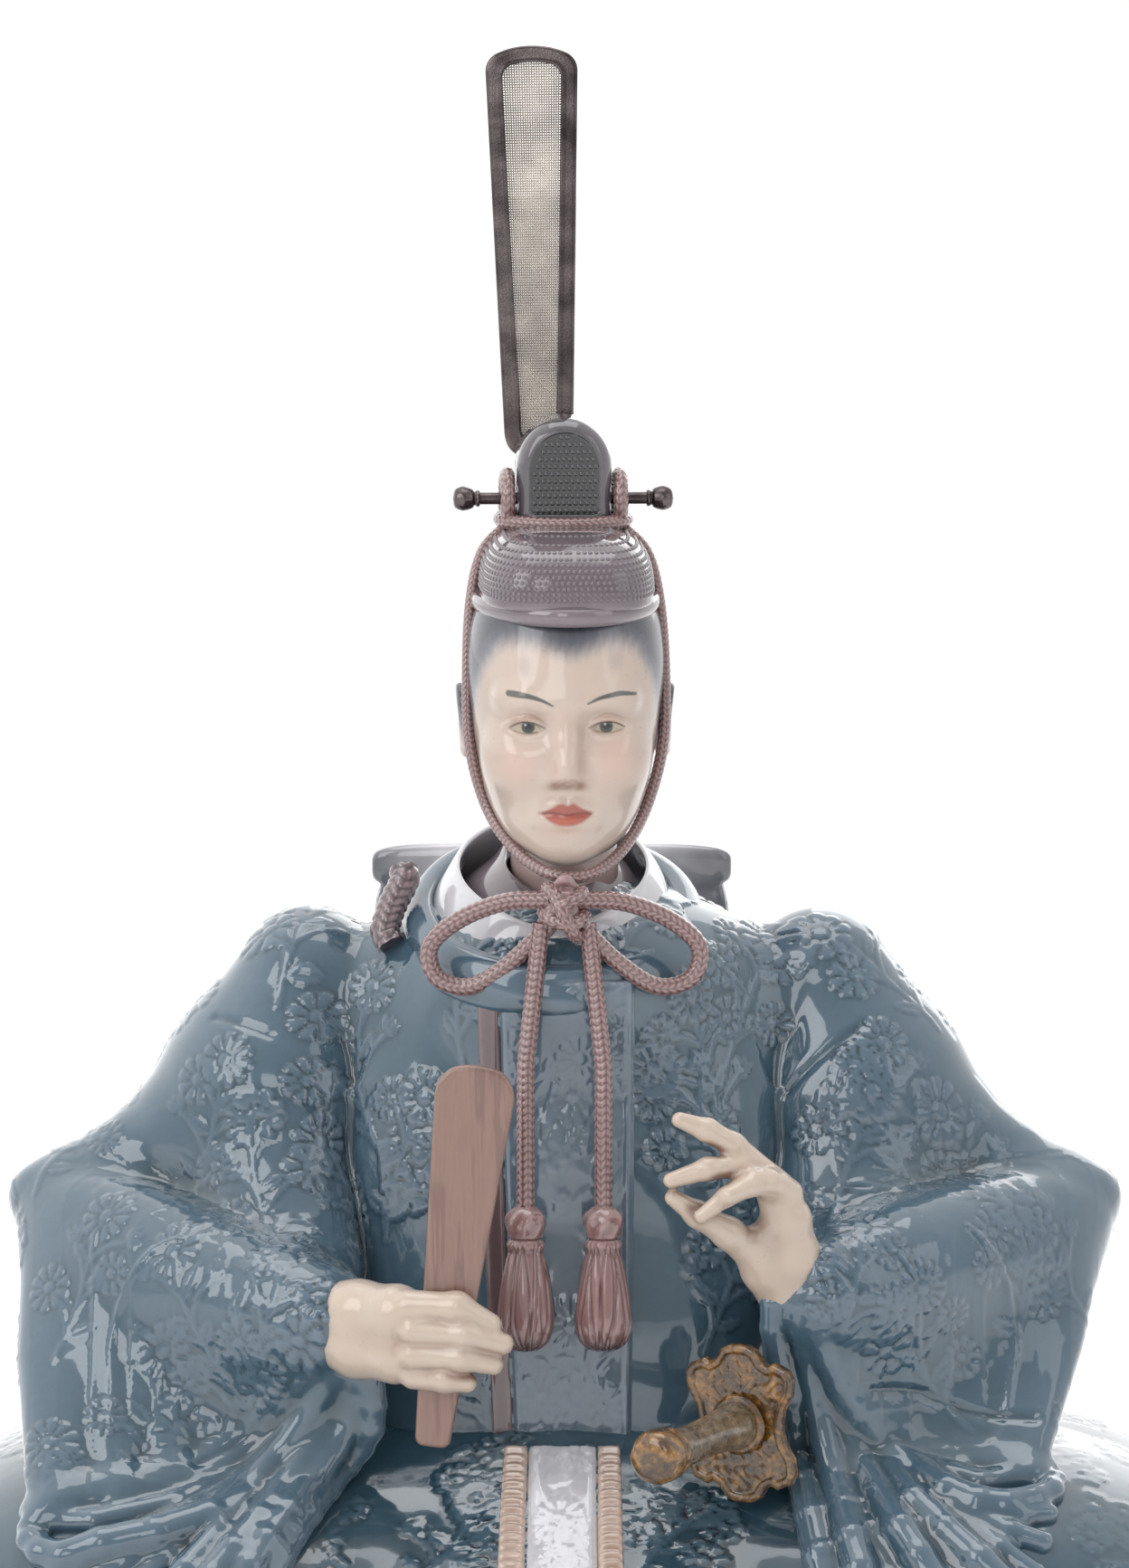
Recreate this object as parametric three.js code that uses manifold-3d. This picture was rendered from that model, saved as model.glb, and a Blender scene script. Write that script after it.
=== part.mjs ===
// A seated court doll of glazed porcelain, with a metal tail and a metal pin in its cap. Millimetres, +Z up,
// the doll faces -Y, and the origin is the middle of the robe's footprint on the shelf.
// The hollow robe and torso, the sleeves, hands, head and cap are separate castings. The tail, pin, baton and
// sword are plugged in and come out again. Left and right are the doll's own.
import * as THREE from "three";
import { mergeVertices } from "three/addons/utils/BufferGeometryUtils.js";
import Module from "manifold-3d";

const wasm = await Module();
wasm.setup();

// Clearances and fineness
const gap = 0.4; // between castings that are seated on each other
const tolerance = 0.01; // how close a ray stops to the surface that it looks for
const fineness = 0.1; // facets that differ less than this are joined
const overrun = 6; // how far a cutting body runs past what it cuts
const rayReach = 500;

// Lower robe, spread over the folded legs
const robeHalfWidth = 180;
const robeHalfDepth = 120;
const robeHeight = 97; // of the lap's slope, carried on up inside the torso
const robeWall = 7;
const robeBlend = 26;
const kneeHalfWidth = 70;
const kneeHalfDepth = 88;
const kneeHalfHeight = 50;
const kneeSpread = 106;
const kneeForward = 0;
const kneeLevel = 30;
const hemFoldCount = 16;
const hemFoldDepth = 3.2;
const hemFoldHeight = 60;

// Upper robe
const chestHalfWidth = 63;
const chestHalfDepth = 44;
const chestHalfHeight = 80;
const chestLevel = 138;
const chestBack = 4;
const waistHalfWidth = 58;
const waistHalfDepth = 45;
const waistHalfHeight = 42;
const waistLevel = 94;
const shoulderSpread = 58;
const shoulderLevel = 189;
const shoulderGirth = 17;
const yokeHalfWidth = 40;
const yokeHalfDepth = 40;
const yokeHalfHeight = 24;
const yokeLevel = 196;
const torsoBlend = 16;
const torsoFoot = 73; // the lower edge, inside the opening in the robe's top
const torsoWall = 8;

// Sleeves
const sleeveReach = 75; // shoulder to elbow, across
const sleeveDrop = 56; // shoulder to elbow, down
const sleeveGirth = 26;
const sleeveBlend = 14;
const sleeveShoulder = 66;
const sleeveShoulderLevel = 194;
const cuffReach = 74; // elbow to wrist, across
const cuffForward = 62;
const cuffDrop = 26;
const cuffGirth = 17;
const pouchDrop = 46; // from the forearm down to the front panel's rim
const rimGirth = 4;
const rimBlend = 4.5;
const panelBlend = 11;
const elbowAside = 133;
const elbowLevel = 139;
const drapeAside = 59; // where a drape's folds start, at the wrist
const drapeStart = 56;
const drapeLevel = 100;
const drapeReach = 66;
const drapeForward = robeHalfDepth * 0.367; // down the lap
const drapeDrop = 54;
const drapeGirth = 4; // half the height of a fold's ridge
const drapeThickness = 7;
const drapeLean = 0.9; // radians from upright to the way the cloth faces
const foldDepth = 0.6; // share of the ridge's height lost in the valley beside it

// Collars
const collarHalfWidth = 35;
const collarHalfDepth = 40;
const collarHalfHeight = 6;
const collarHalfThickness = 2.6;
const collarLevel = 210;
const collarTilt = 0.36; // radians, front edge down
const collarAside = -3;
const collarForward = 5;
const innerCollarHeight = 24;
const innerCollarThickness = 2.6;
const innerCollarStep = 5; // radius lost from one inner collar to the next
const innerCollarTaper = 7;

// Head
const headAside = 0.2;
const headForward = 17;
const eyeLevel = 263.5;
const headTurn = 0.06; // radians towards the doll's left
const headBow = 0.09; // radians forward
const skullHalfWidth = 24.5;
const skullHalfDepth = 31;
const skullHalfHeight = 31;
const faceHalfWidth = 22.6;
const faceHalfDepth = 24;
const faceHalfHeight = 33;
const jawHalfWidth = 13;
const jawHalfDepth = 13;
const jawHalfHeight = 11;
const noseLength = 16;
const noseWidth = 3.4;
const headBlend = 7;
const earHalfHeight = 9;
const neckRadius = 14.5;
const neckSeat = 4; // how far the neck's foot is below the middle of the yoke
const neckFoot = yokeLevel - neckSeat;

// Cap
const crownHalfWidth = 22.2;
const crownHalfDepth = 30.5;
const crownHalfHeight = 19.5;
const crownLevel = 29.5;
const crownBack = 4;
const brimLevel = 30;
const brimHalfHeight = 2.3;
const brimHalfThickness = 2.4;
const combHalfWidth = 12.2;
const combHeight = 31;
const combDepth = 17;
const combBevel = 3;
const combBack = 14;
const combLevel = 45;
const capCordRadius = 2;
const capCordHalfWidth = 16;
const capCordHalfDepth = 12.5;
const capCordLevel = 49;
const loopHalfWidth = 2.3;
const loopHalfHeight = 6.2;
const loopRadius = 1.7;

// Pin and tail
const pinRadius = 1.55;
const pinLength = 49.5;
const pinClearance = 0.4;
const pinLevel = 54.5;
const ballRadius = 3.1;
const tailHeight = 106;
const tailTopHalfWidth = 12.1;
const tailFootHalfWidth = 8.7;
const tailArch = 4;
const tailBar = 4.4;
const tailThickness = 3.4;
const tailCorner = 5;
const tailBevel = 0.8;
const tailAside = -6.5;
const tailBack = 20; // behind the middle of the head
const tailFoot = 329;
const tailLean = 0.02;
const tongueHalfWidth = 4;
const tongueLength = 12;
const tongueThickness = 2.2;
const tongueClearance = 0.35;
const socketWall = 2.4;
const netThickness = 0.9;
const netGrip = 1.3; // how far the net reaches into the frame's groove
const grooveClearance = 0.3;
const netBar = 0.7;
const netColumns = 4;
const netRows = 12;

// Cords, bow and tassels
const chinCordRadius = 1.6;
const bowCordRadius = 2.65;
const knotHalfWidth = 4.6;
const knotHalfDepth = 4;
const knotHalfHeight = 5.8;
const knotLevel = 217;
const knotForward = 47;
const bowReach = 36;
const bowDrop = 21;
const cordSpread = 9.9;
const cordTop = 212;
const cordFoot = 141.5;
const beadRadius = 5.1;
const beadHeight = 7.6;
const tasselLength = 29;
const tasselRadius = 7.2;
const tasselNeck = 4.4;

// Hands
const palmGirth = 10;
const rightHandReach = 50;
const rightHandForward = 25;
const rightHandHeight = 25;
const rightWristPlace = [62, -59, 113.5];
const leftHandReach = 40;
const leftHandForward = 25;
const leftHandHeight = 55;
const leftWristPlace = [61.5, -52, 112];

// Baton
const batonLength = 98;
const batonTopHalfWidth = 10.6;
const batonFootHalfWidth = 4.4;
const batonThickness = 3.4;
const batonBevel = 0.9;
const batonLean = 0.121; // radians, top towards the middle
const batonTip = 0.05; // radians, top towards the viewer
const batonAside = -33.4;
const batonForward = 74;
const batonFoot = 83.5;

// Sword
const guardHalfHeight = 20.5;
const guardHalfWidth = 16.4;
const guardThickness = 3;
const hiltRadius = 5.3;
const hiltLength = 33;
const pommelLength = 9;
const pommelRadius = 7;
const washerRadius = 7.8;
const washerThickness = 1.4;
const tangRadius = 3.2;
const tangLength = 19;
const tangClearance = 0.4;
const swordAside = 45;
const swordForward = 62;
const swordRise = 24.2; // the sword's middle above the lap
const swordTurn = 0.55; // radians from the viewer's line, hilt towards the middle
const swordDip = 0.07;
const swordTravel = 30;

// Panels laid on the robe
const panelThickness = 1.4;
const panelRightEdge = -16.6;
const panelLeftEdge = 16;
const panelTop = 193;
const panelFoot = 84;
const liningWidth = 5.4;
const sashHalfWidth = 9.1;
const sashBorder = 5.9;
const trainHalfWidth = 48;
const trainAside = -3.4;
const trainTop = 224;
const trainFoot = 92;
const trainThickness = 9;
const trainBack = 58.8;
const trainCorner = 6;
const buttonRadius = 4.4;

// Glazes and metals
const glazeBlue = { color: 0x5f7482, roughness: 0.12, metalness: 0 };
const glazeDeep = { color: 0x4a626f, roughness: 0.12, metalness: 0 };
const glazeMauve = { color: 0x8a6a68, roughness: 0.16, metalness: 0 };
const glazeTaupe = { color: 0x8b7f84, roughness: 0.16, metalness: 0 };
const glazeSmoke = { color: 0x57525a, roughness: 0.16, metalness: 0 };
const glazeWhite = { color: 0xdcdadb, roughness: 0.12, metalness: 0 };
const glazeSand = { color: 0xbfa089, roughness: 0.18, metalness: 0 };
const glazeWood = { color: 0x9c7c6c, roughness: 0.2, metalness: 0 };
const glazeBrown = { color: 0x7c6462, roughness: 0.2, metalness: 0 };
const glazeAmber = { color: 0x8a6431, roughness: 0.18, metalness: 0 };
const glazeSkin = { color: 0xdccabb, roughness: 0.25, metalness: 0 };
const darkMetal = { color: 0x4b4748, roughness: 0.28, metalness: 0.9 };
const netMetal = { color: 0xa89c92, roughness: 0.45, metalness: 0.7 };

// Forms: functions of a point that give the distance to a surface, below zero inside

const softMin = (a, b, soft) => {
  const near = Math.max(soft - Math.abs(a - b), 0) / soft;
  return Math.min(a, b) - (near * near * soft) / 4;
};
const joined = (soft, ...forms) => (p) => forms.map((form) => form(p)).reduce((a, b) => softMin(a, b, soft));
const grown = (form, by) => (p) => form(p) - by;

// An oval, or a squarer pillow where power is over 2
const pillow = (centre, radii, power = 2) => (p) => {
  const shares = p.map((v, i) => Math.abs(v - centre[i]) / radii[i]);
  const share = shares.reduce((sum, v) => sum + v ** power, 0) ** (1 / power);
  if (share < tolerance) return -Math.min(...radii);
  const slope = Math.hypot(...shares.map((v, i) => (v / share) ** (power - 1) / radii[i]));
  return (share - 1) / slope;
};

// Distance to a straight link between two beads [x, y, z, radius]
function linkDistance(p, a, b) {
  const along = [0, 1, 2].map((i) => b[i] - a[i]);
  const from = [0, 1, 2].map((i) => p[i] - a[i]);
  const square = along.reduce((sum, v) => sum + v * v, 0);
  const share = Math.min(Math.max(along.reduce((sum, v, i) => sum + v * from[i], 0) / square, 0), 1);
  return Math.hypot(...from.map((v, i) => v - along[i] * share)) - (a[3] + (b[3] - a[3]) * share);
}
const chain = (beads) => (p) => Math.min(...beads.slice(1).map((bead, i) => linkDistance(p, beads[i], bead)));

// Beads given in shares of a piece's own sizes, counted from its start. Side is 1 for the left and -1 for the
// right.
const placed = (start, [across, depth, height, girth], shares, side = 1) =>
  shares.map(([x, y, z, r]) => [
    side * (start[0] + x * across),
    start[1] + y * depth,
    start[2] + z * height,
    r * girth,
  ]);

// Solids

const isTurned = (solid) => solid.volume() < 0;

function solidOf(geometry) {
  const bare = new THREE.BufferGeometry().setAttribute("position", geometry.getAttribute("position").clone());
  if (geometry.index) bare.setIndex(geometry.index);
  const merged = mergeVertices(bare, tolerance / 4);
  const index = merged.index.array;
  const build = (triVerts) =>
    new wasm.Manifold(
      new wasm.Mesh({ numProp: 3, vertProperties: merged.attributes.position.array, triVerts }),
    );
  const solid = build(new Uint32Array(index));
  return isTurned(solid) ? build(new Uint32Array(index).reverse()) : solid;
}

const turned = (solid, matrix) => solid.transform(matrix.elements);
const largest = (solid) => solid.decompose().reduce((a, b) => (a.volume() > b.volume() ? a : b));

function geometryOf(solid) {
  const mesh = largest(solid.simplify(fineness)).getMesh();
  const places = new Float32Array(mesh.numVert * 3);
  for (let i = 0; i < mesh.numVert; i++) {
    places.set(mesh.vertProperties.subarray(i * mesh.numProp, i * mesh.numProp + 3), i * 3);
  }
  return new THREE.BufferGeometry()
    .setAttribute("position", new THREE.BufferAttribute(places, 3))
    .setIndex(new THREE.BufferAttribute(mesh.triVerts, 1));
}

// The solid with its neighbours' bodies cut away, and only its largest piece kept
const clearOf = (solid, ...neighbours) => largest(neighbours.reduce((a, b) => a.subtract(b), solid));

function gridSolid(points, triangles) {
  const position = new THREE.BufferAttribute(new Float32Array(points.flat()), 3);
  return solidOf(new THREE.BufferGeometry().setAttribute("position", position).setIndex(triangles));
}

// How far a ray that starts inside a form runs before it leaves it
function rayOut(form, start, direction) {
  let run = 0;
  while (run < rayReach) {
    const depth = -form(start.map((v, i) => v + direction[i] * run));
    if (depth < tolerance) break;
    run += Math.max(depth * 0.6, tolerance);
  }
  return run;
}

// The point where a ray from outside meets a form, lifted off it along the ray
function rayOnto(form, start, direction, lift = 0) {
  let run = 0;
  while (run < rayReach) {
    const height = form(start.map((v, i) => v + direction[i] * run));
    if (height < tolerance) break;
    run += Math.max(height * 0.6, tolerance);
  }
  return start.map((v, i) => v + direction[i] * (run - lift));
}

// Triangles between rings of points, each ring with the same count; ends are single points when poles is true
function ringTriangles(rings, sectors, first) {
  const triangles = [];
  for (let i = 0; i < rings - 1; i++) {
    for (let j = 0; j < sectors; j++) {
      const a = first + i * sectors + j;
      const b = first + i * sectors + ((j + 1) % sectors);
      triangles.push(a, b, b + sectors, a, b + sectors, a + sectors);
    }
  }
  return triangles;
}

// Closed rings of points with a pole at each end
function poledSolid(firstPole, rings, lastPole) {
  const sectors = rings[0].length;
  const points = [firstPole, ...rings.flat(), lastPole];
  const triangles = ringTriangles(rings.length, sectors, 1);
  const last = points.length - 1;
  for (let j = 0; j < sectors; j++) {
    const next = (j + 1) % sectors;
    triangles.push(0, 1 + next, 1 + j, last, last - sectors + j, last - sectors + next);
  }
  return gridSolid(points, triangles);
}

// Facets round a form. Rays leave a spine of points square to it, and fan round both of its ends.
function skin(form, spine, sectors, midRings, endRings) {
  const path = new THREE.CatmullRomCurve3(spine.map((p) => new THREE.Vector3(...p)));
  const frames = path.computeFrenetFrames(midRings, false);
  const cast = (i, lean, turn) => {
    const base = path.getPointAt(i / midRings);
    const direction = frames.normals[i]
      .clone()
      .multiplyScalar(Math.cos(turn) * Math.cos(lean))
      .addScaledVector(frames.binormals[i], Math.sin(turn) * Math.cos(lean))
      .addScaledVector(frames.tangents[i], Math.sin(lean));
    const run = rayOut(form, base.toArray(), direction.toArray());
    return base.addScaledVector(direction, run).toArray();
  };
  const ring = (i, lean) =>
    Array.from({ length: sectors }, (_, j) => cast(i, lean, (2 * Math.PI * j) / sectors));
  const rings = [];
  for (let k = 1; k < endRings; k++) rings.push(ring(0, ((k / endRings - 1) * Math.PI) / 2));
  for (let i = 0; i <= midRings; i++) rings.push(ring(i, 0));
  for (let k = 1; k < endRings; k++) rings.push(ring(midRings, ((k / endRings) * Math.PI) / 2));
  return poledSolid(cast(0, -Math.PI / 2, 0), rings, cast(midRings, Math.PI / 2, 0));
}

// A hollow dome that stands on z = 0: rays leave the middle of its floor
function shell(outer, inner, sectors, rings) {
  const surface = (form) => {
    const levels = [];
    for (let i = 0; i < rings; i++) {
      const lean = ((i / rings) * Math.PI) / 2;
      const ring = [];
      for (let j = 0; j < sectors; j++) {
        const turn = (2 * Math.PI * j) / sectors;
        const direction = [Math.cos(turn) * Math.cos(lean), Math.sin(turn) * Math.cos(lean), Math.sin(lean)];
        const run = rayOut(form, [0, 0, 0], direction);
        ring.push(direction.map((v) => v * run));
      }
      levels.push(ring);
    }
    return levels;
  };
  const pole = (form) => [0, 0, rayOut(form, [0, 0, 0], [0, 0, 1])];
  const rims = [...surface(inner).reverse(), ...surface(outer)];
  return poledSolid(pole(inner), rims, pole(outer));
}

// A slab over a grid of places, from its lower to its upper surface
function slab(columns, rows, lower, upper) {
  const points = [];
  for (const surface of [lower, upper]) {
    for (let j = 0; j <= rows; j++) {
      for (let i = 0; i <= columns; i++) points.push(surface(i / columns, j / rows));
    }
  }
  const level = (columns + 1) * (rows + 1);
  const at = (i, j, top) => j * (columns + 1) + i + (top ? level : 0);
  const triangles = [];
  const quad = (a, b, c, d) => triangles.push(a, b, c, a, c, d);
  for (let j = 0; j < rows; j++) {
    for (let i = 0; i < columns; i++) {
      quad(at(i, j, 1), at(i + 1, j, 1), at(i + 1, j + 1, 1), at(i, j + 1, 1));
      quad(at(i, j, 0), at(i, j + 1, 0), at(i + 1, j + 1, 0), at(i + 1, j, 0));
    }
    quad(at(0, j, 0), at(0, j, 1), at(0, j + 1, 1), at(0, j + 1, 0));
    quad(at(columns, j, 0), at(columns, j + 1, 0), at(columns, j + 1, 1), at(columns, j, 1));
  }
  for (let i = 0; i < columns; i++) {
    quad(at(i, 0, 0), at(i + 1, 0, 0), at(i + 1, 0, 1), at(i, 0, 1));
    quad(at(i, rows, 0), at(i, rows, 1), at(i + 1, rows, 1), at(i + 1, rows, 0));
  }
  return gridSolid(points, triangles);
}

// Round rings along a smooth line through beads [x, y, z, radius], with rounded or flat ends
function limb(beads, sides, steps, rounded = true) {
  const path = new THREE.CatmullRomCurve3(beads.map((b) => new THREE.Vector3(b[0], b[1], b[2])));
  const frames = path.computeFrenetFrames(steps, false);
  const radiusAt = (share) => {
    const place = share * (beads.length - 1);
    const i = Math.min(Math.floor(place), beads.length - 2);
    return beads[i][3] + (beads[i + 1][3] - beads[i][3]) * (place - i);
  };
  const ring = (i, outward) => {
    const radius = radiusAt(i / steps);
    const centre = path.getPoint(i / steps).addScaledVector(frames.tangents[i], radius * outward);
    const girth = radius * Math.sqrt(1 - outward * outward);
    return Array.from({ length: sides }, (_, j) => {
      const turn = (2 * Math.PI * j) / sides;
      return centre
        .clone()
        .addScaledVector(frames.normals[i], girth * Math.cos(turn))
        .addScaledVector(frames.binormals[i], girth * Math.sin(turn))
        .toArray();
    });
  };
  const pole = (i, outward) =>
    path
      .getPoint(i / steps)
      .addScaledVector(frames.tangents[i], rounded ? radiusAt(i / steps) * outward : 0)
      .toArray();
  const domeShares = rounded ? [0.68] : [];
  const rings = domeShares.map((share) => ring(0, -share));
  for (let i = 0; i <= steps; i++) rings.push(ring(i, 0));
  rings.push(...[...domeShares].reverse().map((share) => ring(steps, share)));
  return poledSolid(pole(0, -1), rings, pole(steps, 1));
}

// A turned body about +Z from a profile of [radius, height] pairs
function turnedBody(profile, segments) {
  const outline = profile.map(([radius, height]) => new THREE.Vector2(radius, height));
  return solidOf(new THREE.LatheGeometry(outline, segments).rotateX(Math.PI / 2));
}

// An oval hoop about +Z with an oval section, wider by flare at its top
function hoop(halfWidth, halfDepth, halfThickness, halfHeight, segments, sides, flare = 0) {
  const rings = [];
  for (let j = 0; j < segments; j++) {
    const turn = (2 * Math.PI * j) / segments;
    for (let k = 0; k < sides; k++) {
      const roll = (2 * Math.PI * k) / sides;
      const out = halfThickness * Math.cos(roll) + flare * Math.sin(roll);
      rings.push([
        (halfWidth + out) * Math.cos(turn),
        (halfDepth + out) * Math.sin(turn),
        halfHeight * Math.sin(roll),
      ]);
    }
  }
  const triangles = [];
  for (let j = 0; j < segments; j++) {
    for (let k = 0; k < sides; k++) {
      const a = j * sides + k;
      const b = j * sides + ((k + 1) % sides);
      const c = ((j + 1) % segments) * sides + ((k + 1) % sides);
      const d = ((j + 1) % segments) * sides + k;
      triangles.push(a, b, c, a, c, d);
    }
  }
  return gridSolid(rings, triangles);
}

// The part's tree: one group per body that moves, and the fixed figure
const doll = new THREE.Group();
const tail = new THREE.Group();
const hairpin = new THREE.Group();
const baton = new THREE.Group();
const sword = new THREE.Group();
doll.add(tail, hairpin, baton, sword);

function add(parent, name, solid, finish) {
  const mesh = new THREE.Mesh(geometryOf(solid), new THREE.MeshStandardMaterial(finish));
  mesh.name = name;
  parent.add(mesh);
  return mesh;
}

// Lower robe: a hollow dome with an opening that the torso stands in
const robeSquareness = 1.5; // a slope, less than an oval
const kneeSquareness = 2.3;
const knee = (side) =>
  pillow(
    [side * kneeSpread, -kneeForward, kneeLevel],
    [kneeHalfWidth, kneeHalfDepth, kneeHalfHeight],
    kneeSquareness,
  );
const robeSmooth = joined(
  robeBlend,
  pillow([0, 0, 0], [robeHalfWidth, robeHalfDepth, robeHeight], robeSquareness),
  knee(-1),
  knee(1),
);
const robeForm = (p) => {
  const rise = Math.max(1 - p[2] / hemFoldHeight, 0);
  return robeSmooth(p) - hemFoldDepth * rise * Math.cos(hemFoldCount * Math.atan2(p[1], p[0]));
};

// Upper robe: a hollow torso, open below, with a hole at the top for the neck
const torsoSquareness = 2.4;
const torsoForm = joined(
  torsoBlend,
  pillow([0, chestBack, chestLevel], [chestHalfWidth, chestHalfDepth, chestHalfHeight], torsoSquareness),
  pillow([0, chestBack, waistLevel], [waistHalfWidth, waistHalfDepth, waistHalfHeight], torsoSquareness),
  pillow([0, -chestBack, yokeLevel], [yokeHalfWidth, yokeHalfDepth, yokeHalfHeight]),
  chain(
    [-1, 0, 1].map((side) => [side * shoulderSpread, chestBack, shoulderLevel, shoulderGirth]),
  ),
);
const torsoSpine = [
  [0, chestBack, waistLevel],
  [0, chestBack, chestLevel],
  [0, chestBack, shoulderLevel],
];
const torsoBody = (grow, sectors, rings) => skin(grown(torsoForm, grow), torsoSpine, sectors, rings, 4);
const torsoSectors = 22;
const torsoRings = 6;
const torsoCutter = torsoBody(gap, torsoSectors, torsoRings);

const neckForward = headForward * 0.6;
const neckBody = (grow) =>
  limb(
    [
      [0, -neckForward, neckFoot, neckRadius + grow],
      [0, -headForward, eyeLevel - faceHalfHeight / 2, neckRadius + grow],
    ],
    14,
    1,
    false,
  );
const torso = torsoBody(0, torsoSectors, torsoRings)
  .subtract(torsoBody(-torsoWall, 12, 4))
  .trimByPlane([0, 0, 1], torsoFoot)
  .subtract(neckBody(gap));

const robeSectors = 48;
const robeRings = 6;
const robeLining = grown(robeForm, -robeWall);
const robe = largest(shell(robeForm, robeLining, robeSectors, robeRings).subtract(torsoCutter));
const robeCutter = shell(grown(robeForm, gap), robeLining, robeSectors, robeRings);

// Sleeves: places are shares of the reach, depth, drop and girth
const sleeveShares = [
  [0, 0.02, 0, 0.66],
  [0.16, 0, -0.52, 1],
  [0.4, -0.04, -0.78, 0.84],
  [0.7, -0.03, -0.92, 0.5],
  [0.89, -0.03, -0.98, 0.32],
];
const sleeveWebShares = [
  [0, 0, -0.06, 0.58],
  [0.08, -0.14, -0.6, 0.76],
  [0.1, -0.3, -1.06, 0.76],
  [0.02, -0.58, -1.3, 0.6],
];
// Forearms and the rims of the front panels that hang from them, elbow to wrist
const rightArmShares = [
  [0, 0, 0.03, 0.56],
  [0.16, 0.18, 0.32, 0.72],
  [0.36, 0.38, 0.58, 0.93],
  [0.56, 0.58, 0.79, 0.97],
  [0.77, 0.75, 0.93, 0.88],
  [0.96, 0.92, 1, 0.74],
];
const rightRimShares = [
  [0.01, 1.06, 1.63, 0.8],
  [0.19, 1.01, 1.51, 0.9],
  [0.5, 0.92, 1.44, 1],
  [0.74, 0.8, 1.19, 1],
  [0.86, 0.89, 0.88, 0.9],
  [0.94, 0.97, 0.69, 0.85],
];
const leftArmShares = [
  [0, 0, 0.03, 0.56],
  [0.16, 0.17, 0.34, 0.79],
  [0.35, 0.34, 0.49, 0.95],
  [0.53, 0.53, 0.57, 0.96],
  [0.71, 0.7, 0.64, 0.89],
  [0.91, 0.85, 0.77, 0.76],
];
const leftRimShares = [
  [0.19, 0.86, 1.44, 0.8],
  [0.38, 0.77, 1.38, 0.9],
  [0.59, 0.74, 1.27, 1],
  [0.76, 0.81, 1.05, 1],
  [0.85, 0.89, 0.65, 0.9],
  [0.9, 0.97, 0.26, 0.8],
];
const elbow = [elbowAside, 0, elbowLevel];

const sleeveBeads = (side, shares) =>
  placed(
    [sleeveShoulder, chestBack, sleeveShoulderLevel],
    [sleeveReach, cuffForward, sleeveDrop, sleeveGirth],
    shares,
    side,
  );
const sleeveForm = (side) =>
  joined(sleeveBlend, chain(sleeveBeads(side, sleeveShares)), chain(sleeveBeads(side, sleeveWebShares)));
const armBeads = (side) =>
  placed(
    elbow,
    [-cuffReach, -cuffForward, -cuffDrop, cuffGirth],
    side < 0 ? rightArmShares : leftArmShares,
    side,
  );
const rimBeads = (side) =>
  placed(
    elbow,
    [-cuffReach, -cuffForward, -pouchDrop, rimGirth],
    side < 0 ? rightRimShares : leftRimShares,
    side,
  );
const between = (top, foot, share) => top.map((v, i) => v + (foot[i] - v) * share);
const cuffForm = (side) => {
  const arm = armBeads(side);
  const rim = rimBeads(side);
  const panels = arm.map(([x, y, z, r], i) => {
    const middle = between([x, y, z, r], rim[i], 0.5);
    return chain([[x, y, z, r * 0.75], [...middle.slice(0, 3), middle[3] * 0.9], rim[i]]);
  });
  return joined(rimBlend, joined(panelBlend, chain(arm), ...panels), chain(rim));
};
const cuffSpine = (side) => {
  const rim = rimBeads(side);
  return armBeads(side).map((bead, i) => between(bead, rim[i], 0.4).slice(0, 3));
};

const sleeveSectors = 15;
const cuffSectors = 24;
const sleeveBody = (side, grow) =>
  skin(
    grown(sleeveForm(side), grow),
    sleeveBeads(side, sleeveShares).map(([x, y, z]) => [x, y, z]),
    sleeveSectors,
    7,
    3,
  );
const cuffBody = (side, grow) => skin(grown(cuffForm(side), grow), cuffSpine(side), cuffSectors, 6, 3);

// Hands: a row is a palm or a finger, each bead a share of the hand's reach, forward, height and girth
const rightHandShares = [
  [[-0.16, -0.3, 0.02, 0.72], [-0.02, -0.06, 0.06, 0.85], [0.2, 0.28, 0.14, 0.85], [0.5, 0.72, 0.1, 0.55]],
  [[-0.02, -0.06, -0.1, 0.85], [0.2, 0.28, -0.26, 0.85], [0.4, 0.56, -0.3, 0.75], [0.5, 0.72, -0.26, 0.55]],
  [[0.48, 0.76, 0.26, 0.42], [0.72, 0.88, 0.28, 0.38], [0.87, 0.82, 0.08, 0.31]],
  [[0.5, 0.8, 0, 0.42], [0.76, 0.92, 0.04, 0.39], [0.93, 0.82, -0.12, 0.31]],
  [[0.5, 0.8, -0.26, 0.4], [0.74, 0.92, -0.22, 0.37], [0.89, 0.82, -0.32, 0.3]],
  [[0.48, 0.76, -0.48, 0.36], [0.66, 0.86, -0.48, 0.33], [0.76, 0.8, -0.54, 0.28]],
  [[0.2, 0.28, 0.02, 0.5], [0.44, 0.32, -0.02, 0.4], [0.7, 0.34, -0.02, 0.31]],
];
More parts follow.
